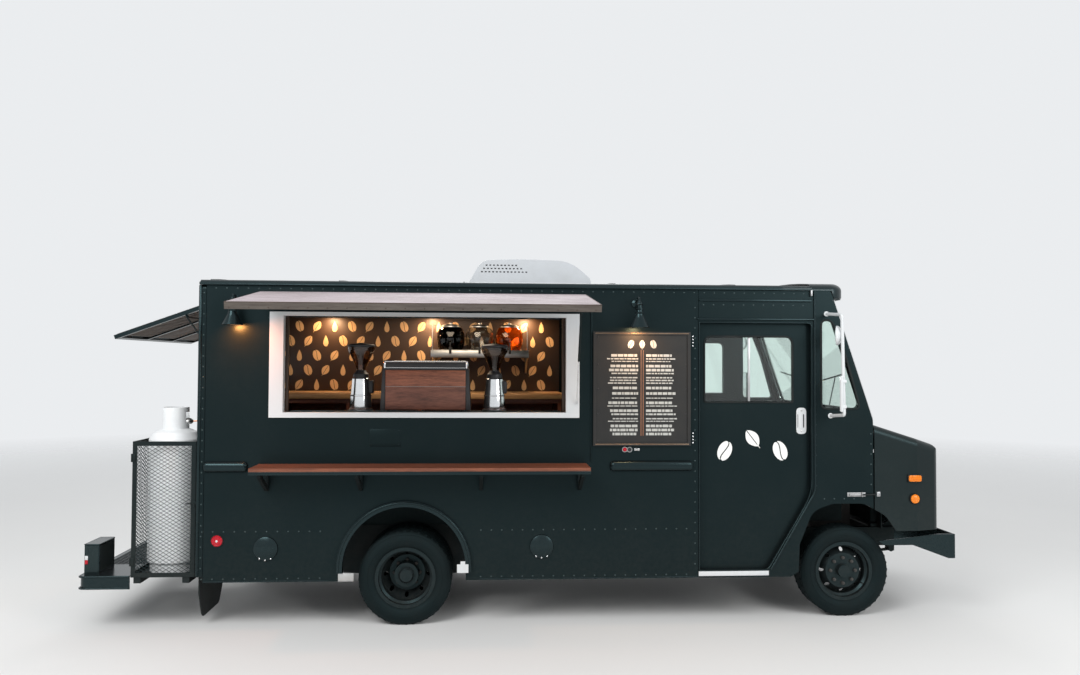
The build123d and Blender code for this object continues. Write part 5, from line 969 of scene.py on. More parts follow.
# Brackets that hold the rear flare's feet
foot = plate("flare_foot", (-0.48, -0.366), (WALL_OUT - 0.01, WALL_OUT - 0.002), (0.348, 0.408), 0.003)
dress(foot, STEEL)
notched = cutout("notched_bracket", [(0.387, 0.408), (0.387, 0.47), (0.412, 0.47), (0.412, 0.492),
                                     (0.446, 0.492), (0.446, 0.47), (0.47, 0.47), (0.47, 0.408)], "side",
                 WALL_OUT - 0.036, 0.005)
dress(notched, WHITE_PAINT)


# Lamps on the body

def round_lens(name, centre, axis, side, radius, proud):
    """A domed lens with stepped rings."""
    profile = [(0.0, radius), (side * proud * 0.5, radius * 0.985), (side * proud * 0.8, radius * 0.9),
               (side * proud * 0.86, radius * 0.72), (side * proud * 0.8, radius * 0.69),
               (side * proud, radius * 0.42), (side * proud * 0.95, radius * 0.38),
               (side * proud * 1.08, 0.0005)]
    return spun(name, profile, centre, axis, 40, False, 25.0)


def bezel(name, centre, axis, side, radius, wide, proud):
    """A rolled metal or rubber ring round a lens."""
    profile = [(0.0, radius), (side * proud, radius + wide * 0.15),
               (side * proud * 1.25, radius + wide * 0.5), (side * proud, radius + wide * 0.85),
               (0.0, radius + wide)]
    return spun(name, profile, centre, axis, 48, True, 40.0)


MARKER_AT = (-1.351, 0.648)
TAIL_Y = (0.72, 0.81)
TAIL_Z = 0.352
BUMPER_FACE_X = -2.3303
red_lenses, red_rings, red_middles = [], [], []
for side, label in SIDES:
    face = side * (WALL_Y + 0.0003)
    centre = (MARKER_AT[0], face, MARKER_AT[1])
    red_lenses.append(round_lens("lens", centre, "Y", side, 0.041, 0.013))
    red_rings.append(bezel("ring", centre, "Y", side, 0.0405, 0.006, 0.007))
    middle = (MARKER_AT[0], face + side * 0.0115, MARKER_AT[1])
    red_middles.append(spun("middle", [(0.0, 0.009), (side * 0.003, 0.0075), (side * 0.0035, 0.0005)], middle,
                            "Y", 20))
    for y in TAIL_Y:
        centre = (BUMPER_FACE_X, side * y, TAIL_Z)
        red_lenses.append(round_lens("lens", centre, "X", -1, 0.031, 0.0145))
        red_rings.append(bezel("ring", centre, "X", -1, 0.0305, 0.0055, 0.008))
fitted("red_lenses", red_lenses, RED, "truck", ["red_lamps"])
fitted("red_lamp_rings", red_rings, SOFT_RUBBER)
fitted("red_lamp_middles", red_middles, WHITE_PAINT)

LAMP_X = 3.873
AMBER_FACE_Y = 1.04
AMBER_HIGH_Z = 1.081
AMBER_LOW_Z = 0.925
AMBER_HALF = (0.049, 0.024)
amber_lenses, amber_bases = [], []
for side, label in SIDES:
    face = side * AMBER_FACE_Y
    corners = rounded(four_corners(around(LAMP_X, AMBER_HALF[0]), around(AMBER_HIGH_Z, AMBER_HALF[1])), 0.014)
    long_lens = cutout("long_lens", corners, "side", face - side * 0.01, side * 0.022)
    amber_lenses.append(smooth(ease_rims(long_lens, 0.005, 3), 30.0))
    ribs = plate("lens_rib", (LAMP_X - 0.04, LAMP_X - 0.038), (face, face + side * 0.0135),
                 around(AMBER_HIGH_Z, 0.018), 0.0007)
    amber_lenses.append(in_a_row(ribs, 14, (0.006, 0, 0)))
    amber_bases.append(plate("base", around(LAMP_X, 0.054), (face - side * 0.012, face + side * 0.002),
                             around(AMBER_HIGH_Z, 0.029), 0.0018))
    centre = (LAMP_X, face - side * 0.002, AMBER_LOW_Z)
    amber_lenses.append(round_lens("lens", centre, "Y", side, 0.035, 0.014))
    amber_bases.append(bezel("ring", (LAMP_X, face - side * 0.008, AMBER_LOW_Z), "Y", side, 0.0345, 0.006,
                             0.012))
fitted("amber_lenses", amber_lenses, AMBER, "nose", ["amber_lamps"])
fitted("amber_lamp_bases", amber_bases, SOFT_RUBBER, "nose")

HEADLAMP_Y = 0.74
HEADLAMP_Z = 1.0
NOSE_FRONT_X = 4.1
bowls, covers, rings, bulbs = [], [], [], []
for side, label in SIDES:
    at = (NOSE_FRONT_X, side * HEADLAMP_Y, HEADLAMP_Z)
    bowls.append(spun("bowl", [(-0.06, 0.0005), (-0.058, 0.02), (-0.045, 0.048), (-0.026, 0.07),
                               (-0.012, 0.08), (-0.012, 0.083), (-0.029, 0.074), (-0.049, 0.051),
                               (-0.064, 0.022), (-0.066, 0.0005)], at, "X", 56))
    covers.append(spun("cover", [(-0.01, 0.079), (-0.002, 0.076), (0.004, 0.058), (0.007, 0.03),
                                 (0.0078, 0.0005), (0.0045, 0.0005), (0.0038, 0.03), (0.001, 0.056),
                                 (-0.005, 0.073), (-0.012, 0.076)], at, "X", 56))
    rings.append(spun("ring", [(-0.03, 0.0918), (-0.002, 0.0918), (0.003, 0.0885), (0.004, 0.0835),
                               (-0.001, 0.079), (-0.012, 0.0785), (-0.014, 0.086), (-0.03, 0.088)], at, "X",
                      56, True))
    bulbs.append(spun("bulb", [(-0.056, 0.0005), (-0.056, 0.01), (-0.034, 0.0105), (-0.026, 0.007),
                               (-0.024, 0.0005)], at, "X", 20))
fitted("headlamp_bowls", bowls, CHROME, "nose", ["headlamps"])
fitted("headlamp_covers", covers, LAMP_GLASS, "nose")
fitted("headlamp_rings", rings, CHROME, "nose")
fitted("headlamp_bulbs", bulbs, WHITE_PAINT, "nose")


# Nose and windshield

GRILLE_HALF = 0.47
GRILLE_Z = (0.8, 1.19)
frame_points = rounded(four_corners((-GRILLE_HALF, GRILLE_HALF), GRILLE_Z), 0.012)
dress(bead("grille_bead", [(NOSE_FRONT_X - 0.001, y, z) for y, z in frame_points], 0.006), TRIM_BLACK, "nose")
fin = plate("fin", (3.8, 3.85), (-0.4105, -0.4095), (0.625, 1.14), 0.0003, 1)
fins = in_a_row(fin, 96, (0, 0.0086, 0))
tanks = [plate("tank", (3.788, 3.862), (-0.43, 0.43), span, 0.014, 3)
         for span in ((0.6, 0.64), (1.13, 1.175))]
core = plate("core", (3.846, 3.856), (-0.505, 0.505), (0.6, 1.21), 0.002)
fitted("radiator", [fins, core, *tanks], CHASSIS)

SCREEN_FOOT = (3.545, 1.527)
SLOPE = (-0.3128, 0.9498)


def on_screen(y, run, out=0.0):
    """A point on the windshield from its height along the slope, out from its face."""
    return (SCREEN_FOOT[0] + SLOPE[0] * run + SLOPE[1] * out, y,
            SCREEN_FOOT[1] + SLOPE[1] * run - SLOPE[0] * out)


PANE = (0.035, 0.94, 0.07, 0.9018)
gaskets, strips, arms, blades = [], [], [], []
for side, label in SIDES:
    near, far, low, high = PANE
    corners = four_corners((side * near, side * far), (low, high))
    gaskets.append(bead("gasket", [on_screen(y, run, 0.001) for y, run in rounded(corners, 0.05)], 0.011))
    strips.append(bar("strip", on_screen(side * 1.022, 0.004, 0.004), on_screen(side * 1.022, 0.962, 0.004),
                      0.0065, 12, 0.001))
    arms.append(bent("arm", [on_screen(side * 0.16, 0.028, 0.012), on_screen(side * 0.2, 0.1, 0.034),
                             on_screen(side * 0.52, 0.335, 0.026)], 0.005, 0.05))
    arms.append(bar("pivot", on_screen(side * 0.16, 0.028, 0.0), on_screen(side * 0.16, 0.028, 0.022), 0.014,
                    20, 0.002))
    blades.append(bar("blade", on_screen(side * 0.28, 0.305, 0.01), on_screen(side * 0.76, 0.365, 0.01),
                      0.0065, 8))
    blades.append(bar("spine", on_screen(side * 0.34, 0.313, 0.019), on_screen(side * 0.7, 0.357, 0.019),
                      0.004, 8))
fitted("windshield_gaskets", gaskets, SOFT_RUBBER)
fitted("windshield_edge_strips", strips, ALUMINIUM)
fitted("wiper_arms", arms, TRIM_BLACK)
fitted("wiper_blades", blades, SOFT_RUBBER)

LATCH_Z = 0.962
latch_metal, latch_straps, latch_hooks = [], [], []
for side, label in SIDES:
    face = side * WALL_Y
    latch_metal.append(plate("base", (3.336, 3.478), (face, face + side * 0.006), around(LATCH_Z, 0.016),
                             0.002))
    latch_metal.append(plate("lever", (3.35, 3.44), (face + side * 0.005, face + side * 0.016),
                             (0.952, 0.972), 0.004, 3))
    latch_metal.append(bar("pin", (3.452, face + side * 0.012, 0.944), (3.452, face + side * 0.012, 0.98),
                           0.0045, 12, 0.001))
    latch_straps.append(bent("strap", [(3.452, face + side * 0.014, LATCH_Z),
                                       (3.5, face + side * 0.016, LATCH_Z),
                                       (3.552, face + side * 0.01, LATCH_Z + 0.001)], 0.006, 0.03, 8))
    latch_hooks.append(plate("hook_base", (3.572, 3.6), (side * 1.036, side * 1.044), (0.944, 0.98), 0.002))
    latch_hooks.append(bent("hook", [(3.59, side * 1.042, LATCH_Z), (3.578, side * 1.06, LATCH_Z),
                                     (3.566, side * 1.058, LATCH_Z)], 0.004, 0.01))
fitted("nose_latches", latch_metal, ALUMINIUM)
fitted("nose_latch_straps", latch_straps, SOFT_RUBBER)
fitted("nose_latch_hooks", latch_hooks, ALUMINIUM, "nose")


# Doors

DOOR_FACE_Y = 1.0
HANDLE_X = (2.961, 3.039)
HANDLE_Z = (1.417, 1.618)
GLASS_X = (2.249, 2.934)
GLASS_Z = (1.659, 2.16)
HANDLE_PROUD = 0.0092


def door_handle(side, name):
    """A rounded upright pull, raised on its plate."""
    face = side * DOOR_FACE_Y
    middle = sum(HANDLE_X) / 2
    outer = rounded(four_corners(HANDLE_X, HANDLE_Z), 0.032, 6)
    base = smooth(ease_rims(cutout("base", outer, "side", face, side * 0.0055), 0.0025, 3))
    grip = plate("grip", (middle - 0.024, middle + 0.01), (face + side * 0.004, face + side * HANDLE_PROUD),
                 inside(HANDLE_Z, 0.045), 0.0022, 3)
    return joined(name, [base, grip])


def finger_slots(side, name):
    """Dark hollows beside the pull."""
    face = side * (DOOR_FACE_Y + 0.0052)
    middle = sum(HANDLE_X) / 2
    slots = [plate("slot", span, (face, face + side * 0.0008), inside(HANDLE_Z, 0.05), 0.0003, 1)
             for span in ((middle - 0.0305, middle - 0.0265), (middle + 0.0125, middle + 0.0215))]
    return joined(name, slots)


for side, label in SIDES:
    face = side * DOOR_FACE_Y
    body = f"door_{label}"
    dress(door_handle(side, f"door_handle_{label}"), WHITE_PAINT, body)
    dress(finger_slots(side, f"door_handle_slots_{label}"), PLASTIC_DARK, body)
    screws = [screw_head("screw", (sum(HANDLE_X) / 2, face + side * 0.005, z), side, 0.007)
              for z in inside(HANDLE_Z, 0.022)]
    fitted(f"door_handle_screws_{label}", screws, STEEL, body)
    opening = rounded(four_corners(GLASS_X, GLASS_Z), [0.012, 0.012, 0.055, 0.055])
    seal = bead(f"door_seal_{label}", [(x, face, z) for x, z in opening], 0.0075)
    dress(seal, SOFT_RUBBER, body)
    rail = plate(f"door_glass_rail_{label}", (GLASS_X[0] + 0.338, GLASS_X[0] + 0.356),
                 (face - side * 0.014, face - side * 0.006), GLASS_Z, 0.002)
    dress(rail, ALUMINIUM, body)


# Generic motifs: a bean, a leaf and a drop

def bean(size, steps=14):
    """Two halves of a coffee bean with the wavy cleft between them."""
    halves = []
    for side in (1, -1):
        rim = [(side * 0.34 * size * math.sin(math.pi * k / steps),
                0.5 * size * math.cos(math.pi * k / steps)) for k in range(1, steps)]
        cleft = [(0.07 * size * math.sin(FULL_TURN * k / steps) + side * 0.025 * size,
                  0.47 * size * math.cos(math.pi * k / steps)) for k in range(steps, -1, -2)]
        halves.append(rim + cleft)
    return halves


def leaf(size, steps=12):
    """Two halves of a pointed leaf with its midrib and stalk."""
    halves = []
    for side in (1, -1):
        rim = [(side * (0.3 * size * math.sin(math.pi * k / steps) ** 0.8 + 0.02 * size),
                size * (0.5 - k / steps)) for k in range(steps + 1)]
        rib = [(side * 0.02 * size, -0.5 * size), (side * 0.02 * size, 0.45 * size)]
        halves.append(rim + rib)
    stalk = [(-0.015 * size, -0.62 * size), (0.015 * size, -0.62 * size), (0.015 * size, -0.4 * size),
             (-0.015 * size, -0.4 * size)]
    return [*halves, stalk]


def drop(size, steps=18):
    """A rounded drop that comes to a point."""
    return [[(0.3 * size * math.sin(FULL_TURN * k / steps) * math.sin(math.pi * k / steps) ** 1.2,
              0.5 * size * math.cos(FULL_TURN * k / steps)) for k in range(steps)]]


def motif(name, shape, size, centre, level, thick, tilt):
    """A flat motif set on a side face, turned by its tilt."""
    turn = math.radians(tilt)
    pieces = []
    for outline in shape(size):
        points = [(centre[0] + a * math.cos(turn) - b * math.sin(turn),
                   centre[1] + a * math.sin(turn) + b * math.cos(turn)) for a, b in outline]
        pieces.append(cutout("petal", points, "side", level, thick))
    return joined(name, pieces)


DOOR_MOTIFS = [(bean, 0.155, 2.405, 1.29, -24.0), (leaf, 0.15, 2.62, 1.385, 38.0),
               (bean, 0.155, 2.835, 1.29, 24.0)]
for side, label in SIDES:
    marks = [motif("mark", shape, size, (x, z), side * DOOR_FACE_Y, side * 0.0012, tilt) for shape, size, x,
             z, tilt in DOOR_MOTIFS]
    fitted(f"door_motifs_{label}", marks, MOTIF_WHITE, f"door_{label}")


# Load space lining

LINING_X = (-1.445, 1.312)
LINING_Y = (1.0025, 1.009)
BACK_TOP_Z = 1.665
MOTIF_PITCH = 0.166
MOTIF_ROWS = 6
MOTIF_ROW_STEP = 0.14
MOTIF_LOW_Z = 1.735
MOTIF_SIZE = 0.108
lining = plate("back_wall_lining", LINING_X, LINING_Y, (BACK_TOP_Z + 0.002, 2.5), 0.002)
dress(lining, LINING_BROWN)
pattern = []
order = [(bean, 22.0), (leaf, -32.0), (drop, 0.0)]
for row in range(MOTIF_ROWS):
    shift = MOTIF_PITCH / 2 if row % 2 else 0.0
    for place in range(3):
        shape, tilt = order[(place + 2 * row) % 3]
        x = LINING_X[0] + 0.09 + shift + place * MOTIF_PITCH
        count = int((LINING_X[1] - 0.06 - x) // (3 * MOTIF_PITCH)) + 1
        mark = motif("mark", shape, MOTIF_SIZE, (x, MOTIF_LOW_Z + row * MOTIF_ROW_STEP), LINING_Y[0] - 0.0012,
                     0.0012, tilt)
        pattern.append(in_a_row(mark, count, (3 * MOTIF_PITCH, 0, 0)))
fitted("back_wall_motifs", pattern, MOTIF_TAN)

PUCK_X = (-0.89, 0.08, 0.995)
PUCK_Y = 0.89
LEDGE_Z = 2.402
shelf = plate("lamp_ledge", LINING_X, (0.8, 1.002), (LEDGE_Z, LEDGE_Z + 0.022), 0.003)
dress(shelf, LINING_BROWN)
pucks, puck_faces = [], []
for x in PUCK_X:
    pucks.append(spun("puck", [(0.0, 0.052), (-0.01, 0.052), (-0.016, 0.047), (-0.016, 0.039),
                               (-0.006, 0.037), (-0.006, 0.0005), (0.0, 0.0005)], (x, PUCK_Y, LEDGE_Z), "Z",
                      32))
    puck_faces.append(spun("face", [(-0.0062, 0.036), (-0.011, 0.03), (-0.013, 0.0005)], (x, PUCK_Y, LEDGE_Z),
                           "Z", 32))
fitted("ledge_lamp_rims", pucks, STEEL)
fitted("ledge_lamp_faces", puck_faces, BULB)

edge_board = plate("back_counter_edge", (-1.3, 1.3), (0.366, 0.38), (BACK_TOP_Z - 0.042, BACK_TOP_Z + 0.002),
                   0.005, 3)
dress(edge_board, SHELF_WOOD)
top_board = plate("back_counter_board", (-1.3, 1.3), (0.38, 0.999), (BACK_TOP_Z + 0.0005, BACK_TOP_Z + 0.01),
                  0.003)
dress(top_board, SHELF_WOOD)
posts = [plate("reveal_post", span, (-1.0, -0.965), (1.583, 2.288), 0.004)
         for span in ((-0.89, -0.868), (1.163, 1.185))]
fitted("window_reveal_posts", posts, LINING_BROWN)
tracks = [plate("track", (-0.89, 1.185), (-0.985, -0.96), span, 0.003)
          for span in ((1.5815, 1.59), (2.281, 2.2895))]
fitted("window_slide_tracks", tracks, TRIM_BLACK)


# Espresso machine

MACHINE_X = (-0.205, 0.475)
MACHINE_BACK_Y = -0.905
MACHINE_FRONT_Y = -0.44
COUNTER_Z = 1.5603
CASE_TOP_Z = 1.897
GALLERY_TOP_Z = 1.958
GROUP_X = (0.0, 0.27)
GROUP_Y = -0.56


def espresso_machine():
    """Steel case with wood back boards, a cup gallery on top and two groups on the working side."""
    x0, x1 = MACHINE_X
    case = plate("case", inside(MACHINE_X, 0.03), (MACHINE_BACK_Y + 0.012, -0.64),
                 (COUNTER_Z + 0.04, CASE_TOP_Z), 0.01, 3)
    head = plate("head", inside(MACHINE_X, 0.035), (-0.66, MACHINE_FRONT_Y + 0.01), (1.8, CASE_TOP_Z), 0.014,
                 4)
    tray = plate("tray", inside(MACHINE_X, 0.035), (-0.66, MACHINE_FRONT_Y),
                 (COUNTER_Z + 0.045, COUNTER_Z + 0.095), 0.008, 3)
    fitted("espresso_case", [case, head, tray], STEEL, "truck", ["espresso_machine"])
    cheeks = []
    for side_x, lean in ((x0, 1), (x1, -1)):
        outline = [(side_x, COUNTER_Z + 0.03), (side_x + lean * 0.036, COUNTER_Z + 0.03),
                   (side_x + lean * 0.036, CASE_TOP_Z + 0.004), (side_x + lean * 0.016, CASE_TOP_Z + 0.004)]
        cheek = cutout("cheek", outline, "side", MACHINE_BACK_Y, MACHINE_FRONT_Y - MACHINE_BACK_Y)
        cheeks.append(ease_edges(cheek, 0.003, 2))
    for x in inside(MACHINE_X, 0.06):
        for y in inside((MACHINE_BACK_Y, MACHINE_FRONT_Y), 0.06):
            cheeks.append(spun("foot", [(0.0, 0.0005), (0.0, 0.026), (0.012, 0.024), (0.016, 0.015),
                                        (0.045, 0.015), (0.045, 0.0005)], (x, y, COUNTER_Z), "Z", 20))
    deck = plate("deck", inside(MACHINE_X, 0.02), (MACHINE_BACK_Y + 0.002, MACHINE_FRONT_Y + 0.002),
                 (CASE_TOP_Z - 0.002, CASE_TOP_Z + 0.01), 0.003)
    fitted("espresso_cheeks", [*cheeks, deck], PLASTIC_DARK)
    for label, span, wood in (("lower", (COUNTER_Z + 0.034, 1.7665), DARK_BOARD_WOOD),
                              ("upper", (1.769, CASE_TOP_Z - 0.004), BOARD_WOOD)):
        board_y = (MACHINE_BACK_Y, MACHINE_BACK_Y + 0.014)
        dress(plate(f"espresso_{label}_board", inside(MACHINE_X, 0.038), board_y, span, 0.004, 3), wood)
    low, high = CASE_TOP_Z + 0.01, GALLERY_TOP_Z
    corners = [(x, y) for y in (MACHINE_BACK_Y + 0.012, MACHINE_FRONT_Y - 0.01)
               for x in inside(MACHINE_X, 0.032)]
    rails = [bar("post", (x, y, low), (x, y, high), 0.0075, 16, 0.001) for x, y in corners]
    ring = rounded([corners[0], corners[1], corners[3], corners[2]], 0.012)
    rails += [bead("rail", [(x, y, z) for x, y in ring], 0.0055) for z in (low + 0.003, high)]
    fitted("espresso_gallery_rails", rails, CHROME)
    panes = [plate("pane", inside(MACHINE_X, 0.04), (y, y + 0.004), (low + 0.002, high - 0.008), 0.001)
             for y in (MACHINE_BACK_Y + 0.011, MACHINE_FRONT_Y - 0.015)]
    panes += [plate("pane", (x, x + 0.004), (MACHINE_BACK_Y + 0.02, MACHINE_FRONT_Y - 0.018),
                    (low + 0.002, high - 0.008), 0.001) for x in (x0 + 0.03, x1 - 0.034)]
    fitted("espresso_gallery_panes", panes, PLASTIC_DARK)
    chrome, black = [], []
    for x in GROUP_X:
        chrome.append(spun("group", [(0.0, 0.0005), (0.0, 0.036), (-0.012, 0.04), (-0.04, 0.04),
                                     (-0.052, 0.034), (-0.052, 0.0005)], (x, GROUP_Y, 1.802), "Z", 32))
        chrome.append(spun("basket", [(0.0, 0.0005), (0.0, 0.035), (-0.022, 0.033), (-0.03, 0.012),
                                      (-0.034, 0.0005)], (x, GROUP_Y, 1.748), "Z", 28))
        black.append(spun("grip", [(0.0, 0.0005), (0.0, 0.01), (0.02, 0.013), (0.08, 0.015), (0.105, 0.017),
                                   (0.115, 0.011), (0.118, 0.0005)], (x, GROUP_Y + 0.034, 1.736), "Y", 20))
        for k in range(4):
            key_x = x - 0.045 + 0.03 * k
            black.append(bar("key", (key_x, MACHINE_FRONT_Y + 0.008, 1.85), (key_x, MACHINE_FRONT_Y + 0.014,
                                                                             1.85), 0.009, 16, 0.002))
    for x in (-0.12, 0.39):
        chrome.append(bent("wand", [(x, MACHINE_FRONT_Y + 0.004, 1.8), (x, MACHINE_FRONT_Y + 0.03, 1.775),
                                    (x, MACHINE_FRONT_Y + 0.04, 1.64)], 0.005, 0.03))
        black.append(spun("knob", [(0.0, 0.006), (0.01, 0.018), (0.022, 0.02), (0.03, 0.016),
                                   (0.032, 0.0005)], (x, MACHINE_FRONT_Y + 0.01, 1.852), "Y", 24))
    slats = in_a_row(plate("slat", (x0 + 0.05, x0 + 0.056), (-0.645, MACHINE_FRONT_Y - 0.008),
                           (COUNTER_Z + 0.094, COUNTER_Z + 0.1), 0.0015), 48, (0.0122, 0, 0))
    fitted("espresso_groups", [*chrome, slats], CHROME)
    fitted("espresso_knobs", black, PLASTIC_DARK)


espresso_machine()

GRINDER_SPOTS = [(-0.375, -0.7), (0.658, -0.7)]


def grinders():
    """Two grinders: chrome column, dark throat, smoky funnel hopper with its lid, and the doser's fork."""
    chrome, dark, funnels = [], [], []
    for x, y in GRINDER_SPOTS:
        at = (x, y, COUNTER_Z)
        chrome.append(spun("column", [(0.03, 0.0005), (0.03, 0.086), (0.036, 0.087), (0.12, 0.08),
                                      (0.2, 0.072), (0.262, 0.068), (0.268, 0.064), (0.268, 0.0005)], at, "Z",
                           56, False, 25.0))
        chrome.append(spun("band", [(0.128, 0.08), (0.13, 0.0835), (0.138, 0.0835), (0.14, 0.079)], at, "Z",
                           56, True))
        dark.append(spun("plinth", [(0.0, 0.0005), (0.0, 0.094), (0.01, 0.096), (0.026, 0.094),
                                    (0.031, 0.084), (0.031, 0.0005)], at, "Z", 48))
        dark.append(spun("throat", [(0.266, 0.0005), (0.266, 0.06), (0.276, 0.062), (0.3, 0.058),
                                    (0.318, 0.04), (0.33, 0.036), (0.33, 0.0005)], at, "Z", 40))
        dark.append(spun("lid", [(0.508, 0.0005), (0.508, 0.1), (0.512, 0.106), (0.522, 0.106), (0.53, 0.092),
                                 (0.536, 0.03), (0.54, 0.022), (0.54, 0.0005)], at, "Z", 48))
        funnels.append(spun("funnel", [(0.326, 0.036), (0.345, 0.038), (0.38, 0.052), (0.44, 0.08),
                                       (0.478, 0.101), (0.508, 0.104), (0.508, 0.101), (0.478, 0.098),
                                       (0.44, 0.077), (0.38, 0.049), (0.345, 0.035), (0.326, 0.033)], at, "Z",
                            56, True))
        dark.append(plate("doser", (x + 0.06, x + 0.098), (y - 0.03, y + 0.03),
                          (COUNTER_Z + 0.15, COUNTER_Z + 0.25), 0.01, 3))
        chrome.append(bent("fork", [(x + 0.07, y + 0.02, COUNTER_Z + 0.12),
                                    (x + 0.07, y + 0.085, COUNTER_Z + 0.12),
                                    (x + 0.03, y + 0.092, COUNTER_Z + 0.12)], 0.0045, 0.02))
    fitted("grinder_columns", chrome, CHROME, "truck", ["grinders"])
    fitted("grinder_dark_parts", dark, PLASTIC_DARK)
    fitted("grinder_funnels", funnels, SMOKE_GLASS)


grinders()

JARS = [(0.262, JAR_DARK, "dark"), (0.536, JAR_GLASS, "clear"), (0.818, JAR_ORANGE, "orange")]
JAR_Y = 0.85
JAR_FOOT_Z = 2.0465


def dispensers():
    """Three rounded jars with taps on a metal tray, with its brackets and two upright stanchions."""
    metal = [plate("tray", (0.08, 1.0), (0.7, 1.0015), (2.016, 2.03), 0.004),
             plate("lip", (0.08, 1.0), (0.698, 0.706), (1.998, 2.068), 0.003),
             plate("fold", (0.08, 1.0), (0.69, 0.706), (2.064, 2.069), 0.002)]
    for x in (0.095, 0.985):
        metal.append(cutout("bracket", [(1.0015, 1.85), (1.0015, 2.016), (0.76, 2.016), (0.985, 1.85)], "end",
                            x - 0.008, 0.016))
        metal.append(bar("stanchion", (x, 0.712, 2.03), (x, 0.712, 2.3), 0.0045, 12, 0.001))
    black = []
    for x, glass, label in JARS:
        at = (x, JAR_Y, JAR_FOOT_Z)
        jar = spun(f"dispenser_jar_{label}", [(0.0, 0.0005), (0.0, 0.094), (0.008, 0.106), (0.06, 0.123),
                                              (0.12, 0.132), (0.18, 0.13), (0.222, 0.115), (0.244, 0.088),
                                              (0.246, 0.083), (0.22, 0.109), (0.18, 0.125), (0.12, 0.127),
                                              (0.06, 0.118), (0.013, 0.101), (0.006, 0.09), (0.006, 0.0005)],
                   at, "Z", 56)
        dress(jar, glass)
        metal.append(spun("lid", [(0.24, 0.0005), (0.24, 0.092), (0.25, 0.092), (0.262, 0.074), (0.27, 0.018),
                                  (0.282, 0.018), (0.282, 0.0005)], at, "Z", 40))
        black.append(spun("tap", [(0.0, 0.01), (-0.024, 0.01), (-0.03, 0.014), (-0.042, 0.014),
                                  (-0.046, 0.0005)], (x, JAR_Y - 0.122, JAR_FOOT_Z + 0.04), "Y", 20))
        black.append(bar("spout", (x, 0.6835, JAR_FOOT_Z + 0.044), (x, 0.6835, JAR_FOOT_Z - 0.012), 0.0105,
                         16, 0.003))
        black.append(bar("lever", (x, 0.6835, JAR_FOOT_Z + 0.04), (x, 0.6835, JAR_FOOT_Z + 0.092), 0.006, 12,
                         0.002))
    fitted("dispenser_tray", metal, STEEL, "truck", ["drink_dispensers"])
    fitted("dispenser_taps", black, PLASTIC_DARK)


dispensers()


# Menu board and wall lamps

MENU_X = (1.391, 2.127)
MENU_Z = (1.335, 2.188)
MENU_FACE_Y = -1.0663
MENU_FRONT_Y = -1.0743
COLUMN_WIDE = 0.236
MENU_MOTIFS = [(bean, -1, -20.0), (leaf, 0, 0.0), (bean, 1, 20.0)]


def chalk_row(start, end, middle_z, high):
    """Short strokes of uneven length, side by side, that stand for a line of writing."""
    strokes = []
    x = start
    while x < end - 0.012:
        run = min(random.uniform(0.012, 0.045), end - x)
        strokes.append(plate("stroke", (x, x + run), (MENU_FACE_Y - 0.0009, MENU_FACE_Y),
                             around(middle_z, high / 2)))
        x += run + 0.0055
    return strokes


def menu_board():
    """Bronze rails, copper rules, two columns of plain chalk strokes and a row of motifs on the slate."""
    middle = sum(MENU_X) / 2
    marks = []
    z = 2.02
    while z > 1.42:
        high = random.choice((0.007, 0.0095, 0.0125, 0.019))
        z -= high / 2
        wide = random.uniform(0.8, 1.0) * COLUMN_WIDE
        marks += chalk_row(middle - 0.03 - wide, middle - 0.03, z, high)
        marks += chalk_row(middle + 0.03, middle + 0.03 + random.uniform(0.8, 1.0) * COLUMN_WIDE, z, high)
        z -= high / 2 + random.choice((0.011, 0.011, 0.022))
    for shape, place, tilt in MENU_MOTIFS:
        marks.append(motif("mark", shape, 0.066, (middle + place * 0.085, 2.095), MENU_FACE_Y - 0.001, 0.001,
                           tilt))
    fitted("menu_chalk_marks", marks, CHALK)
    rails = [bar("rail", *[(x, MENU_FRONT_Y + 0.002, z) for x in inside(MENU_X, 0.014)], 0.0045, 12, 0.001)
             for z in inside(MENU_Z, 0.012)]
    rules = [plate("rule", around(x, 0.0018), (MENU_FACE_Y - 0.0012, MENU_FACE_Y), (1.41, 2.05))
             for x in around(middle, 0.008)]
    fitted("menu_middle_rules", rules, COPPER)
    fitted("menu_rails", rails, BRONZE)
    dots = []
    for start in (2.085, 1.355):
        for k in range(4):
            dots.append(screw_head("dot", (MENU_X[1] + 0.022, WALL_OUT, start + 0.024 * k), -1, 0.0055))
    fitted("menu_side_screws", dots, CHROME)
    pins = [screw_head("pin", (x, MENU_FACE_Y, z), -1, 0.005) for x in inside(MENU_X, 0.034)
            for z in (1.372, 1.575, 1.76, 1.945, 2.15)]
    fitted("menu_face_screws", pins, PLASTIC_DARK)


menu_board()

LAMP_MOUNT_Z = 2.4
SHADE_TOP_Z = 2.318
LAMPS = [("menu", 1.715, 0.15), ("awning", -1.235, 0.115)]


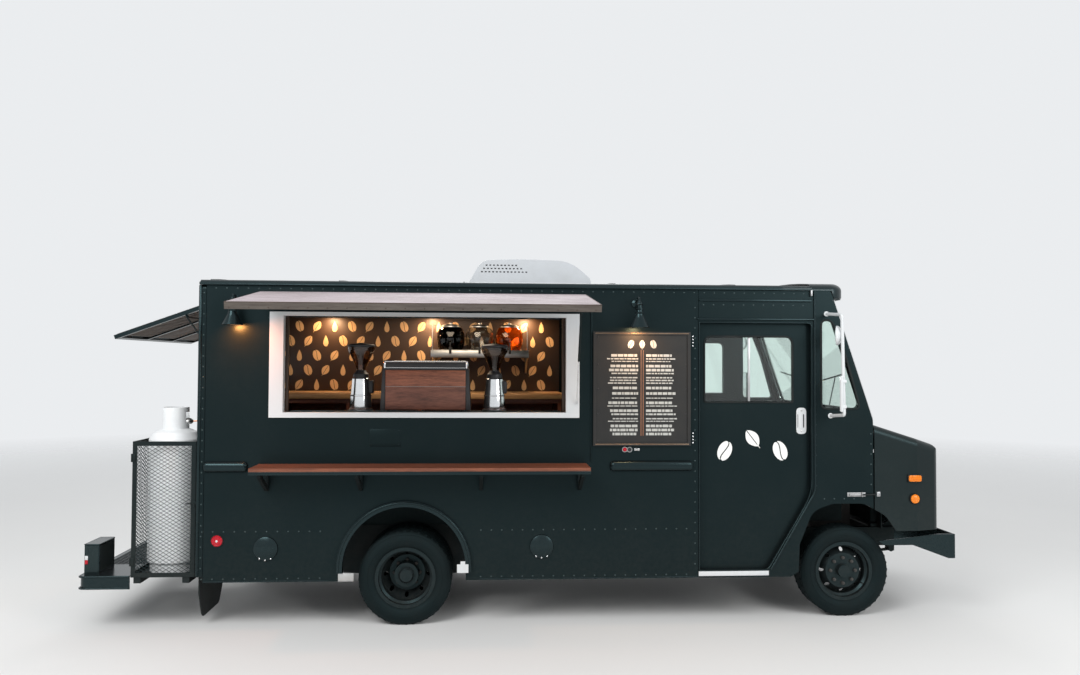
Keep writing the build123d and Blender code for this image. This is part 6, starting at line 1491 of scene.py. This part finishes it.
def wall_lamp(label, x, reach):
    """A rose on the wall, a bent arm, a ribbed neck and a flared shade."""
    face = WALL_OUT - 0.0003
    y = face - reach
    mount = LAMP_MOUNT_Z
    top = SHADE_TOP_Z
    rose = spun("rose", [(0.0, 0.0005), (0.0, 0.034), (-0.008, 0.033), (-0.014, 0.022), (-0.018, 0.012),
                         (-0.018, 0.0005)], (x, face, mount), "Y", 32)
    arm = bent("arm", [(x, face - 0.008, mount), (x, face - 0.04, mount + 0.03),
                       (x, y + 0.015, mount + 0.032), (x, y, mount + 0.005), (x, y, top + 0.06)], 0.009,
               0.045, 10)
    neck = spun("neck", [(0.088, 0.0005), (0.088, 0.012), (0.08, 0.019), (0.07, 0.021), (0.066, 0.028),
                         (0.06, 0.021), (0.04, 0.022), (0.036, 0.031), (0.028, 0.031), (0.024, 0.024),
                         (0.012, 0.026), (0.008, 0.034), (-0.002, 0.032), (-0.006, 0.0005)], (x, y, top), "Z",
                36)
    shade = spun("shade", [(0.0, 0.028), (-0.014, 0.03), (-0.04, 0.043), (-0.07, 0.059), (-0.09, 0.07),
                           (-0.1, 0.0755), (-0.1025, 0.0745), (-0.092, 0.068), (-0.07, 0.0565),
                           (-0.04, 0.0405), (-0.014, 0.0275), (0.0, 0.0255)], (x, y, top), "Z", 56, True)
    fitted(f"{label}_lamp_arm", [rose, arm, neck, shade], TRIM_BLACK)
    bulb = spun(f"{label}_lamp_bulb", [(-0.006, 0.0005), (-0.008, 0.014), (-0.03, 0.017), (-0.054, 0.029),
                                       (-0.076, 0.029), (-0.092, 0.018), (-0.098, 0.0005)], (x, y, top), "Z",
                28)
    dress(bulb, BULB)


for lamp in LAMPS:
    wall_lamp(*lamp)
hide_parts("wall_lamps")


# Awning and counter

AWNING_X = (-1.051, 1.325)
HINGE_Y = -1.1
HINGE_Z = 2.417
AWNING_LENGTH = 0.934
AWNING_THICK = 0.042
AWNING_SLOPE = 8.5
BOARDS = 10


def awning_boards():
    """Weathered boards, their pale tone a painted sky sheen, on the awning's frame, with dark edge strips."""
    pivot = (0.0, HINGE_Y, HINGE_Z)
    top = HINGE_Z + AWNING_THICK
    first = HINGE_Y - 0.016
    last = HINGE_Y - AWNING_LENGTH + 0.0035
    pitch = (last - first) / BOARDS
    board = plate("board", inside(AWNING_X, 0.003), (first, first + pitch + 0.0022),
                  (top - 0.001, top + 0.005), 0.0015)
    boards = tipped(in_a_row(board, BOARDS, (0, pitch, 0)), pivot, "X", AWNING_SLOPE)
    dress(settle(boards), MAUVE_BOARDS_PAINTED_SHEEN, "awning")
    boards.name = "awning_boards"
    edge = [plate("edge", AWNING_X, (last - 0.0018, last + 0.004), (top - 0.014, top + 0.006), 0.002)]
    for x in AWNING_X:
        edge.append(plate("edge", around(x, 0.0015), (last, first), (top - 0.014, top + 0.006), 0.001))
    strip = tipped(joined("awning_edge_strips", edge), pivot, "X", AWNING_SLOPE)
    dress(strip, BROWN_EDGE, "awning")
    heads = rivets("screw", (AWNING_X[0] + 0.03, last - 0.0018, HINGE_Z + 0.012), 20, (0.1215, 0, 0), (0, -1))
    dress(tipped(joined("awning_fascia_screws", [heads]), pivot, "X", AWNING_SLOPE), BROWN_EDGE, "awning")


awning_boards()

COUNTER_X = (-1.06, 1.34)
COUNTER_EDGE_Y = -1.3503
nosing = plate("counter_nosing", COUNTER_X, (COUNTER_EDGE_Y - 0.003, COUNTER_EDGE_Y), (1.158, 1.181), 0.0012)
ends = [plate("end", around(x, 0.002), (COUNTER_EDGE_Y, -1.055), (1.158, 1.181), 0.001) for x in COUNTER_X]
fitted("counter_edge_strip", [nosing, *ends], TRIM_BLACK)


# Rear end

FLAP_X = -1.52
FLAP_Z = 2.35
FLAP_LENGTH = 0.69
FLAP_SLOPE = 20.0
FLAP_HALF = 0.87
RIB_STEP = 0.0265


def rear_flap_boards():
    """Ribbed boards under and over the rear flap's frame."""
    pivot = (FLAP_X, 0.0, FLAP_Z)
    near = FLAP_X - 0.052
    far = FLAP_X - FLAP_LENGTH + 0.038
    across = (-FLAP_HALF, FLAP_HALF)
    rib = plate("rib", (near - 0.02, near), inside(across, 0.036), (FLAP_Z + 0.011, FLAP_Z + 0.0165), 0.002)
    ribs = in_a_row(rib, int((near - far) / RIB_STEP), (-RIB_STEP, 0, 0))
    dress(tipped(ribs, pivot, "Y", -FLAP_SLOPE), GREY_BOARDS, "rear_flap").name = "rear_flap_ribs"
    board = plate("board", (near + 0.024, near - 0.062), inside(across, 0.012),
                  (FLAP_Z + 0.0295, FLAP_Z + 0.034), 0.0015)
    boards = in_a_row(board, 7, (-0.092, 0, 0))
    dress(tipped(boards, pivot, "Y", -FLAP_SLOPE), GREY_BOARDS, "rear_flap").name = "rear_flap_boards"


rear_flap_boards()


def mesh_panel(name, start, wide, high, plane, level, cell=(0.043, 0.027), strand=0.0056, thick=0.002):
    """Expanded metal: upright zigzag strands, each meeting its neighbour at the diamonds' corners."""
    columns = max(1, round(wide / cell[0]))
    step = wide / columns
    turns = 2 * max(1, round(high / cell[1]))
    rise = high / turns
    panels = []
    for phase in (0, 1):
        offsets = [step / 2 if k % 2 else step * phase for k in range(turns + 1)]
        left = [(start[0] + a - strand / 2, start[1] + k * rise) for k, a in enumerate(offsets)]
        right = [(start[0] + a + strand / 2, start[1] + k * rise) for k, a in enumerate(offsets)]
        zigzag = cutout("strand", left + right[::-1], plane, level, thick)
        panels.append(in_a_row(zigzag, columns, (step, 0, 0) if plane == "side" else (0, step, 0)))
    return joined(name, panels)


CAGE_X = (-1.962, -1.512)
CAGE_Y = (-1.04, -0.56)
CAGE_Z = (0.388, 1.368)
CAGE_HINGES_Z = (0.47, 1.22)
POST = 0.026
cage_low = CAGE_Z[0] + POST
cage_high = CAGE_Z[1] - CAGE_Z[0] - 2 * POST
meshes = [mesh_panel("mesh", (span[0] + POST, cage_low), span[1] - span[0] - 2 * POST, cage_high, plane,
                     level) for span, plane, other in ((CAGE_X, "side", CAGE_Y), (CAGE_Y, "end", CAGE_X))
          for level in (other[0] + 0.0045, other[1] - 0.0065)]
fitted("gas_cage_mesh", meshes, TRIM_BLACK)
cage_hardware = [plate("hinge", (-1.964, -1.94), (CAGE_Y[0] - 0.006, CAGE_Y[0]), (z, z + 0.06), 0.002)
                 for z in CAGE_HINGES_Z]
cage_hardware += [bar("knuckle", (-1.966, CAGE_Y[0] - 0.003, z), (-1.966, CAGE_Y[0] - 0.003, z + 0.06), 0.006,
                      12, 0.001) for z in CAGE_HINGES_Z]
cage_hardware.append(plate("hasp", (-1.545, -1.505), (CAGE_Y[0] - 0.006, CAGE_Y[0]), (0.9, 0.935), 0.002))
cage_hardware.append(bent("bolt", [(-1.58, CAGE_Y[0] - 0.008, 0.918), (-1.52, CAGE_Y[0] - 0.008, 0.918),
                                   (-1.52, CAGE_Y[0] - 0.016, 0.9)], 0.004, 0.01))
fitted("gas_cage_hardware", cage_hardware, CHASSIS)

BOX_X = (-2.32, -2.215)
BOX_Y = (-0.962, -0.69)
BOX_Z = (0.4, 0.616)
box_meshes = [mesh_panel("mesh", (span[0] + 0.01, BOX_Z[0] + 0.012), span[1] - span[0] - 0.02, 0.19, plane,
                         level, (0.017, 0.012), 0.003, 0.0015) for span, plane,
              level in ((BOX_X, "side", BOX_Y[0] - 0.002), (BOX_Y, "end", BOX_X[0] - 0.002),
                        (BOX_Y, "end", BOX_X[1] + 0.0005))]
# The box's mesh takes the paler black with its painted highlights.
fitted("bumper_box_mesh", box_meshes, PAINTED_HIGHLIGHT_BLACK)
rim = rounded(four_corners(BOX_X, BOX_Y), 0.006)
dress(bead("bumper_box_rim", [(x, y, BOX_Z[1] - 0.004) for x, y in rim], 0.005), TRIM_BLACK)
REFLECTORS = [("reflector_red", (0.47, 0.5), RED), ("reflector_white", (0.501, 0.531), WHITE_PAINT)]
for name, span, finish in REFLECTORS:
    dress(plate(name, (BOX_X[0] + 0.004, BOX_X[0] + 0.026), (BOX_Y[0] - 0.005, BOX_Y[0] - 0.002), span,
                0.0012), finish)

STEP_X = (-2.316, -1.985)
STEP_TOP = 0.4
tread = plate("tread", (STEP_X[0] + 0.02, STEP_X[0] + 0.052), (-0.64, -0.634), (STEP_TOP, STEP_TOP + 0.0025),
              0.001, 1)
treads = in_a_row(in_a_row(tread, 8, (0.037, 0, 0)), 52, (0, 0.0248, 0))
dress(treads, TRIM_BLACK).name = "step_tread_bars"
STEP_PATH = [(-1.972, -1.0405), (-2.3305, -1.0405), (-2.3305, 1.0405), (-1.972, 1.0405)]
lips = [bent("lip", [(x, y, z) for x, y in STEP_PATH], 0.0075, 0.085, 8) for z in (0.3945, 0.312)]
fitted("step_edge_lips", lips, TRIM_BLACK)

TANK_AT = (-1.737, -0.8)
VALVE_Z = 1.5


def gas_fittings():
    """Valve, regulator and the rigid line to the body."""
    x, y = TANK_AT
    valve = spun("valve", [(-0.04, 0.016), (-0.028, 0.016), (-0.026, 0.013), (0.02, 0.013), (0.022, 0.018),
                           (0.03, 0.018), (0.032, 0.008), (0.046, 0.008), (0.046, 0.0005)], (x, y, VALVE_Z),
                 "Z", 28)
    outlet = bar("outlet", (x, y, VALVE_Z), (x + 0.052, y, VALVE_Z), 0.013, 6, 0.0015)
    fitted("gas_valve", [valve, outlet], BRASS)
    hand_wheel = spun("rim", [(0.0, 0.03), (0.006, 0.034), (0.012, 0.034), (0.016, 0.03), (0.012, 0.026),
                              (0.006, 0.026)], (x, y, VALVE_Z + 0.046), "Z", 32, True)
    spokes = ring_of(plate("spoke", (x, x + 0.029), (y - 0.004, y + 0.004), (VALVE_Z + 0.05, VALVE_Z + 0.058),
                           0.0015), 4, (x, y, VALVE_Z), "Z", "spokes")
    fitted("gas_hand_wheel", [hand_wheel, spokes], TRIM_BLACK)
    regulator = spun("regulator", [(-0.02, 0.0005), (-0.02, 0.024), (-0.01, 0.034), (-0.002, 0.038),
                                   (0.002, 0.038), (0.01, 0.034), (0.022, 0.02), (0.026, 0.0005)],
                     (x + 0.09, y, VALVE_Z), "Z", 36)
    fitted("gas_regulator", [regulator, bar("inlet", (x + 0.05, y, VALVE_Z), (x + 0.066, y, VALVE_Z), 0.01, 6,
                                            0.001)], STEEL)
    line = bent("gas_line", [(x + 0.122, y, VALVE_Z), (x + 0.165, y, VALVE_Z + 0.002),
                             (x + 0.19, y, VALVE_Z - 0.006), (-1.491, y, VALVE_Z - 0.006)], 0.005, 0.03)
    nut = bar("nut", (-1.5, y, VALVE_Z - 0.006), (-1.4902, y, VALVE_Z - 0.006), 0.012, 6, 0.001)
    fitted("gas_line", [line, nut], COPPER)


gas_fittings()

REAR_X = -1.49
HATCH_HALF = 0.83
HATCH_Z = (1.69, 2.316)
hatch_points = rounded(four_corners((-HATCH_HALF, HATCH_HALF), HATCH_Z), 0.025)
dress(bead("rear_hatch_seal", [(REAR_X + 0.002, y, z) for y, z in hatch_points], 0.0038), SOFT_RUBBER)
REAR_ROWS = [(-1.02, 0.44, 27, UPWARD), (1.02, 0.44, 27, UPWARD), (-0.962, 2.48, 26, ACROSS),
             (-0.962, 1.62, 26, ACROSS)]
rear_rows = [rivets("row", (REAR_X, y, z), count, step, (1, -1)) for y, z, count, step in REAR_ROWS]
fitted("rear_wall_rivets", rear_rows, PAINTED_HIGHLIGHT_BLACK)


# Roof

ROOF_ROW_X = (-1.43, -0.5, 0.42, 1.56, 2.48)
ROOF_TOP_Z = 2.606
ROOF_EDGE_Z = 2.55
ROOF_END_X = -1.489
ROOF_END_HALF = 0.976


def roof_height(y):
    """The roof's top face across the truck."""
    return ROOF_TOP_Z - (ROOF_TOP_Z - ROOF_EDGE_Z) * (abs(y) / WALL_Y) ** 2


seams = []
for x in ROOF_ROW_X:
    points = [(x, y, roof_height(y) - 0.0005) for y in [-1.02 + 0.17 * k for k in range(13)]]
    seams.append(bent("seam", points, 0.003, 0.05, 6))
fitted("roof_seams", seams, BODY_PAINT)

arc = [(y, 2.5205 + 0.056 * (1 - (y / ROOF_END_HALF) ** 2)) for y in [ROOF_END_HALF * (k / 12 - 1)
                                                                      for k in range(25)]]
roof_end = cutout("roof_end_panel", [(-1.01, 2.5123), *arc, (1.01, 2.5123)], "end", ROOF_END_X, 0.018)
dress(roof_end, BODY_PAINT)
gutters = [bar("gutter", (-1.496, side * 1.064, 2.517), (3.058, side * 1.064, 2.517), 0.0068, 12, 0.002)
           for side, label in SIDES]
fitted("gutter_edge_beads", gutters, TRIM_BLACK)

AC_SIDE_Y = 0.345
AC_ROUND = 0.048
AC_SHROUD = [(0.447, 2.6085), (1.461, 2.6085), (1.452, 2.655), (1.285, 2.796), (0.88, 2.81), (0.55, 2.796)]
AC_CORNERS = [0.004, 0.004, 0.03, 0.12, 0.3, 0.075]
shroud = cutout("roof_unit_shroud", rounded(AC_SHROUD, AC_CORNERS, 8), "side", -AC_SIDE_Y, 2 * AC_SIDE_Y)
open_up(shroud)
choose_faces(shroud, lambda face: len(face.verts) > 4)
bpy.ops.mesh.bevel(offset=AC_ROUND, segments=7, affect="EDGES", clamp_overlap=True)
weld()
close_up()
smooth(shroud, 40.0)
dress(shroud, PLASTIC_WHITE, "truck", ["roof_ac"])
AC_DOTS = [(0.584, 2.756, 9), (0.564, 2.729, 11), (0.546, 2.701, 13)]
slots = []
for side, label in SIDES:
    for start, z, count in AC_DOTS:
        out = AC_SIDE_Y - AC_ROUND * (1 - math.sqrt(max(0.0,
                                                        1 - max(0.0, (z - AC_DOTS[0][1]) / AC_ROUND) ** 2)))
        slot = plate("slot", (start, start + 0.017), (side * (out - 0.006), side * (out + 0.001)),
                     around(z, 0.006), 0.0022, 2)
        slots.append(in_a_row(slot, count, (0.0305, 0, 0)))
rear_slots = plate("slot", (0.475, 0.483), (-0.24, -0.228), (2.66, 2.664), 0.001, 1)
slots.append(in_a_row(in_a_row(rear_slots, 20, (0, 0.0247, 0)), 6, (0.0066, 0, 0.012)))
fitted("roof_unit_slots", slots, PLASTIC_DARK)
pan = rounded(four_corners((0.45, 1.458), (-0.341, 0.341)), 0.055)
dress(bead("roof_unit_pan", [(x, y, 2.611) for x, y in pan], 0.006), PLASTIC_WHITE)


CAP_X = (3.06, 3.338)
CAP_Z = (2.444, 2.62)
CAP_HALF = 1.058
CAP_CORNER = 0.13
CAP_BROW = 0.074
CAP_LIP = 0.034
CAP_FALL = 0.33
CAP_CUTS = (0.0, -0.8, -0.6, -0.4, -0.2, 0.2, 0.4, 0.6, 0.8)


def front_cap():
    """The bulging cap over the windshield: rounded brow, corners and lower lip, hollow inside."""
    cap = plate("front_cap_shell", CAP_X, (-CAP_HALF, CAP_HALF), CAP_Z)
    low = spot(CAP_X[0], 0.0, CAP_Z[0])
    high = spot(CAP_X[1], 0.0, CAP_Z[1])
    near = 0.001
    open_up(cap, "EDGE")
    choose_edges(cap, lambda edge: all(v.co.x > high.x - near for v in edge.verts)
                 and abs(edge.verts[0].co.z - edge.verts[1].co.z) > near)
    bpy.ops.mesh.bevel(offset=CAP_CORNER, segments=10, affect="EDGES")
    for level, offset, rounds in ((high.z, CAP_BROW, 8), (low.z, CAP_LIP, 5)):
        choose_edges(cap, lambda edge: all(abs(v.co.z - level) < near for v in edge.verts)
                     and any(v.co.x > low.x + near for v in edge.verts))
        bpy.ops.mesh.bevel(offset=offset, segments=rounds, affect="EDGES")
    bpy.ops.mesh.select_mode(type="FACE")
    choose_faces(cap, lambda face: all(v.co.x < low.x + near for v in face.verts)
                 or all(v.co.z < low.z + near for v in face.verts))
    bpy.ops.mesh.delete(type="FACE")
    for offset in CAP_CUTS:
        pick_all()
        bpy.ops.mesh.bisect(plane_co=spot(0.0, offset, 0.0), plane_no=(0.0, 1.0, 0.0))
    close_up()
    for vertex in cap.data.vertices:
        share = (vertex.co.y - CENTRE_Y) / CAP_HALF
        vertex.co.z = low.z + (vertex.co.z - low.z) * (1 - CAP_FALL * share ** 2)
    apply_modifier(cap, "SOLIDIFY", thickness=0.006, offset=-1.0)
    glass_line = cutout("glass_line", [(3.0, 2.4), (3.2575, 2.4), (3.2204, 2.5125), (3.0, 2.5125)], "side",
                        -1.2, 2.4)
    apply_modifier(cap, "BOOLEAN", object=glass_line, operation="DIFFERENCE", solver="EXACT")
    bpy.data.objects.remove(glass_line)
    smooth(cap, 40.0)
    soffit = plate("soffit", (3.248, 3.306), (-1.02, 1.02), (2.4445, 2.4495), 0.002)
    return fitted("front_cap_shell", [cap, soffit], ROOF_PAINT, "truck", ["front_cap"])


front_cap()

# Inner guards of the rear wheels, under the floor: guessed panels, hung low in dark rubber as sheets of
# painted shade behind the wheels
guard_shade_sheets = []
for side, label in SIDES:
    shape = rounded([(-0.62, 0.3), (-0.215, 0.265), (-0.215, 0.455), (0.215, 0.455), (0.215, 0.265),
                     (0.62, 0.3), (0.62, 0.662), (-0.62, 0.662)], 0.025)
    guard_shade_sheets.append(cutout("guard", shape, "side", side * 0.512, side * 0.004))
fitted("rear_wheel_guards_and_shade_sheets", guard_shade_sheets, SOFT_RUBBER)


# Mirrors

MIRROR_OUT_Y = 1.29
MIRROR_FEET = ((3.182, 2.335), (3.21, 1.56))
MIRROR_LINE = ((3.182, 1.053, 2.335), (3.205, MIRROR_OUT_Y, 2.312 + 0.004),
               (3.218, MIRROR_OUT_Y, 1.58 - 0.002), (3.21, 1.053, 1.56))
HEAD_Z = (1.6, 1.866)
HEAD_OUT_Y = 1.314
HEAD_WIDE = 0.114
ROUND_AT = (3.203, 1.237, 2.165)
ROUND_RADIUS = 0.073
MIRROR_TURN = 27.0


def mirror_set(side, label):
    """A bent white bracket with a tall flat mirror and a small round one."""
    head_at = (3.2185, side * (HEAD_OUT_Y - HEAD_WIDE / 2), 1.733)
    small_at = (ROUND_AT[0], side * ROUND_AT[1], ROUND_AT[2])
    tube = bent("tube", [(x, side * y, z) for x, y, z in MIRROR_LINE], 0.0125, 0.035, 12)
    feet = [spun("foot", [(0.0, 0.0005), (0.0, 0.02), (side * 0.004, 0.0195), (side * 0.007, 0.013),
                          (side * 0.008, 0.0005)], (x, side * 1.0503, z), "Y", 28) for x, z in MIRROR_FEET]
    head = plate("head", (3.208, 3.229), (side * (HEAD_OUT_Y - HEAD_WIDE), side * HEAD_OUT_Y), HEAD_Z, 0.009,
                 4)
    small = spun("small", [(-0.016, 0.0005), (-0.016, ROUND_RADIUS * 0.95), (-0.018, ROUND_RADIUS),
                           (-0.008, ROUND_RADIUS), (0.004, ROUND_RADIUS * 0.88), (0.02, ROUND_RADIUS * 0.55),
                           (0.028, ROUND_RADIUS * 0.25), (0.03, 0.0005)], small_at, "X", 48)
    clamps = [plate("clamp", (3.196, 3.232), [side * y for y in around(MIRROR_OUT_Y, 0.02)], around(z, 0.012),
                    0.005, 3) for z in (1.64, 1.826)]
    heads = [tipped(head, head_at, "Z", side * MIRROR_TURN), tipped(small, small_at, "Z", side * MIRROR_TURN)]
    fitted(f"mirror_bracket_{label}", [tube, *feet, *heads, *clamps], WHITE_PAINT)
    glass = plate("glass", (3.2055, 3.2085), (side * (HEAD_OUT_Y - HEAD_WIDE + 0.007),
                                              side * (HEAD_OUT_Y - 0.007)), inside(HEAD_Z, 0.007), 0.001)
    convex = spun("convex", [(-0.02, ROUND_RADIUS * 0.93), (-0.026, ROUND_RADIUS * 0.5), (-0.028, 0.0005),
                             (-0.017, 0.0005), (-0.017, ROUND_RADIUS * 0.93)], small_at, "X", 48)
    glasses = [tipped(glass, head_at, "Z", side * MIRROR_TURN),
               tipped(convex, small_at, "Z", side * MIRROR_TURN)]
    return fitted(f"mirror_glass_{label}", glasses, CHROME)


for side, label in SIDES:
    glass = mirror_set(side, label)
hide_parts("mirrors")


# Cab

DIALS = ((0.305, 0.032), (0.385, 0.042), (0.485, 0.042), (0.56, 0.032))
DIAL_X = 3.2155
DIAL_Z = 1.415
PEDALS_Y = (0.38, 0.51)
BOSS_AT = (3.13, 0.43, 1.42)
BOSS_SLOPE = -62.0
dials, dial_rims, knobs = [], [], []
pod = plate("pod", (3.215, 3.3), (0.24, 0.62), (1.345, 1.475), 0.018, 4)
panel = plate("panel", (3.262, 3.272), (-0.7, 0.15), (1.32, 1.41), 0.004)
fitted("dash_panels", [pod, panel], PLASTIC_DARK)
for y, radius in DIALS:
    at = (DIAL_X, y, DIAL_Z)
    dials.append(spun("dial", [(0.0, 0.0005), (0.0, radius), (-0.003, radius), (-0.003, 0.0005)], at, "X",
                      32))
    dial_rims.append(spun("rim", [(0.0, radius), (-0.007, radius), (-0.008, radius + 0.003),
                                  (-0.004, radius + 0.006), (0.0, radius + 0.006)], at, "X", 32, True))
for k in range(7):
    knobs.append(spun("knob", [(0.0, 0.008), (-0.01, 0.008), (-0.014, 0.013), (-0.022, 0.013),
                               (-0.024, 0.0005)], (3.262, -0.6 + 0.11 * k, 1.365), "X", 18))
fitted("dash_dials", dials, WHITE_PAINT)
fitted("dash_dial_rims", dial_rims, CHROME)
lever = bent("lever", [(2.98, 0.12, 1.118), (2.96, 0.125, 1.26), (2.9, 0.13, 1.34)], 0.008, 0.05, 8)
pedals = [plate("pedal", (3.33, 3.342), (y, y + 0.07), (0.8, 0.88), 0.004) for y in PEDALS_Y]
stalks = [bar("stalk", (3.342, y + 0.035, 0.845), (3.5, y + 0.035, 1.0), 0.008, 12) for y in PEDALS_Y]
mat = plate("mat", (2.9, 3.28), (0.3, 0.59), (0.7002, 0.706), 0.0025)
fitted("cab_controls", [*knobs, lever, *pedals, *stalks, mat], SOFT_RUBBER)
boss = spun("boss", [(0.012, 0.0005), (0.012, 0.046), (0.026, 0.05), (0.036, 0.04), (0.04, 0.0005)], BOSS_AT,
            "Z", 36)
dress(tipped(boss, BOSS_AT, "Y", BOSS_SLOPE), PLASTIC_DARK).name = "steering_boss"

SEAT_X = (2.44, 2.92)
SEAT_Y = (0.32, 0.81)
SEAT_Z = (1.12, 1.25)
BACK_X = (2.36, 2.47)
SEAT_BACK_TOP_Z = 1.8
START_INSET = 0.014
PIPING_INSET = 0.006
SWELL = 0.016
SWELL_FRAMES = 20


def cushion(name, x_span, y_span, z_span):
    """A stuffed cushion: a slightly smaller form, blown up as cloth and capped, then smoothed."""
    spans = [inside(span, START_INSET) for span in (x_span, y_span, z_span)]
    pad = plate(name, *spans, 0.022, 4)
    pad = apply_modifier(pad, "REMESH", mode="VOXEL", voxel_size=0.009)
    rest = [vertex.co.copy() for vertex in pad.data.vertices]
    hold(pad)
    cloth = pad.modifiers.new("stuffing", "CLOTH")
    cloth.settings.use_pressure = True
    cloth.settings.uniform_pressure_force = 4.0
    cloth.settings.effector_weights.gravity = 0.0
    cloth.point_cache.frame_start = 1
    cloth.point_cache.frame_end = SWELL_FRAMES
    for moment in range(1, SWELL_FRAMES + 1):
        bpy.context.scene.frame_set(moment)
    bpy.ops.object.modifier_apply(modifier=cloth.name)
    bpy.context.scene.frame_set(1)
    for vertex, start in zip(pad.data.vertices, rest):
        move = vertex.co - start
        if move.length > SWELL:
            vertex.co = start + move.normalized() * SWELL
    pad = apply_modifier(pad, "SUBSURF", levels=1, render_levels=1)
    return smooth(pad, 80.0)


def driver_seat():
    """Two stuffed cushions with piping, on a boxed pedestal."""
    base = cushion("seat_cushion", SEAT_X, SEAT_Y, SEAT_Z)
    dress(base, SEAT_VINYL, "truck", ["driver_seat"])
    back = cushion("seat_back", BACK_X, SEAT_Y, (SEAT_Z[1] + 0.004, SEAT_BACK_TOP_Z))
    dress(back, SEAT_VINYL)
    flat = four_corners(inside(SEAT_X, PIPING_INSET), inside(SEAT_Y, PIPING_INSET))
    piping = [bead("piping", [(x, y, SEAT_Z[1] - 0.024) for x, y in rounded(flat, 0.035)], 0.0045)]
    upright = four_corners(inside(SEAT_Y, PIPING_INSET), (SEAT_Z[1] + 0.012, SEAT_BACK_TOP_Z - PIPING_INSET))
    piping.append(bead("piping", [(BACK_X[1] - 0.024, y, z) for y, z in rounded(upright, 0.035)], 0.0045))
    fitted("seat_piping", piping, SOFT_RUBBER)
    stand = plate("stand", (2.54, 2.84), (0.43, 0.6), (0.7002, 1.1), 0.006)
    slide = plate("slide", (2.47, 2.89), (0.35, 0.78), (1.1, 1.124), 0.004)
    prop = plate("prop", (2.372, 2.384), (0.5, 0.63), (1.105, 1.5), 0.004)
    fitted("seat_pedestal", [stand, slide, prop], TRIM_BLACK)


driver_seat()


# Light

def soft_lamp(name, place, aim, size, power, colour=(1, 1, 1)):
    """A square light that faces the point it aims at."""
    data = bpy.data.lights.new(name, "AREA")
    data.size = size
    data.energy = power
    data.color = colour
    lamp = bpy.data.objects.new(name, data)
    bpy.context.scene.collection.objects.link(lamp)
    lamp.location = spot(*place)
    lamp.rotation_euler = (spot(*aim) - spot(*place)).to_track_quat("-Z", "Y").to_euler()
    return lamp


WARM = (1.0, 0.63, 0.34)
CEILING_WARM = (1.0, 0.82, 0.62)
MENU_WARM = (1.0, 0.55, 0.27)
AWNING_WARM = (1.0, 0.27, 0.07)
BULB_Z = 2.212
soft_lamp("key_softbox", (-3.5, -7.5, 7.0), (0.8, 0.0, 1.2), 5.0, 640.0)
soft_lamp("fill_softbox", (6.5, -6.5, 4.5), (1.5, 0.0, 1.2), 4.0, 260.0)
soft_lamp("back_softbox", (1.0, 6.5, 8.0), (1.0, 0.0, 1.5), 5.0, 260.0)
for x in PUCK_X:
    soft_lamp("ledge_glow", (x, PUCK_Y, LEDGE_Z - 0.02), (x, PUCK_Y + 0.04, 1.6), 0.07, 5.0, WARM)
soft_lamp("ceiling_glow", (0.2, -0.1, 2.48), (0.2, 0.2, 1.2), 0.8, 14.0, CEILING_WARM)
soft_lamp("menu_glow", (1.715, WALL_OUT - 0.15, BULB_Z), (1.7, WALL_OUT - 0.05, 1.6), 0.06, 2.6, MENU_WARM)
soft_lamp("awning_glow", (-1.235, WALL_OUT - 0.115, BULB_Z), (-1.08, WALL_OUT + 0.05, 2.0), 0.06, 4.5,
          AWNING_WARM)

world = bpy.data.worlds.new("studio")
bpy.context.scene.world = world
world.use_nodes = True
PALE = (0.9, 0.92, 0.94, 1)
LIGHT_GIVEN = 0.6
LIGHT_SEEN = 0.92
world_tree = world.node_tree
plain = world_tree.nodes["Background"]
feed(world_tree, plain.inputs, {"Color": PALE, "Strength": LIGHT_GIVEN})
seen = node(world_tree, "ShaderNodeBackground", {"Color": PALE, "Strength": LIGHT_SEEN})
rays = node(world_tree, "ShaderNodeLightPath").outputs
looked_at = math_node(world_tree, "MAXIMUM", rays["Is Camera Ray"], rays["Is Transmission Ray"])
looked_at = math_node(world_tree, "MAXIMUM", looked_at, rays["Is Glossy Ray"])
shades = {"Fac": looked_at, 1: plain.outputs["Background"], 2: seen.outputs["Background"]}
either = node(world_tree, "ShaderNodeMixShader", shades)
feed(world_tree, world_tree.nodes["World Output"].inputs, {"Surface": either.outputs["Shader"]})

FLOOR_CLEAR = (6.0, 20.0)
deselect()
bpy.ops.mesh.primitive_plane_add(size=80.0, location=(0, 0, -0.001))
floor = take("studio_floor")
floor_finish, floor_tree, floor_shader = finish_start("pale_studio_floor")
floor_tone = mix_colour(floor_tree, noise(floor_tree, 0.6, 3.0), (0.8, 0.8, 0.79, 1), (0.77, 0.77, 0.76, 1))
far_off = node(floor_tree, "ShaderNodeVectorMath", {0: object_space(floor_tree)}, operation="LENGTH")
fade = ramp(floor_tree, far_off.outputs["Value"], FLOOR_CLEAR[1], FLOOR_CLEAR[0])
feed(floor_tree, floor_shader, {"Base Color": floor_tone, "Roughness": 0.75, "Alpha": fade})
floor.data.materials.append(floor_finish)

bpy.context.scene.view_settings.view_transform = "Standard"
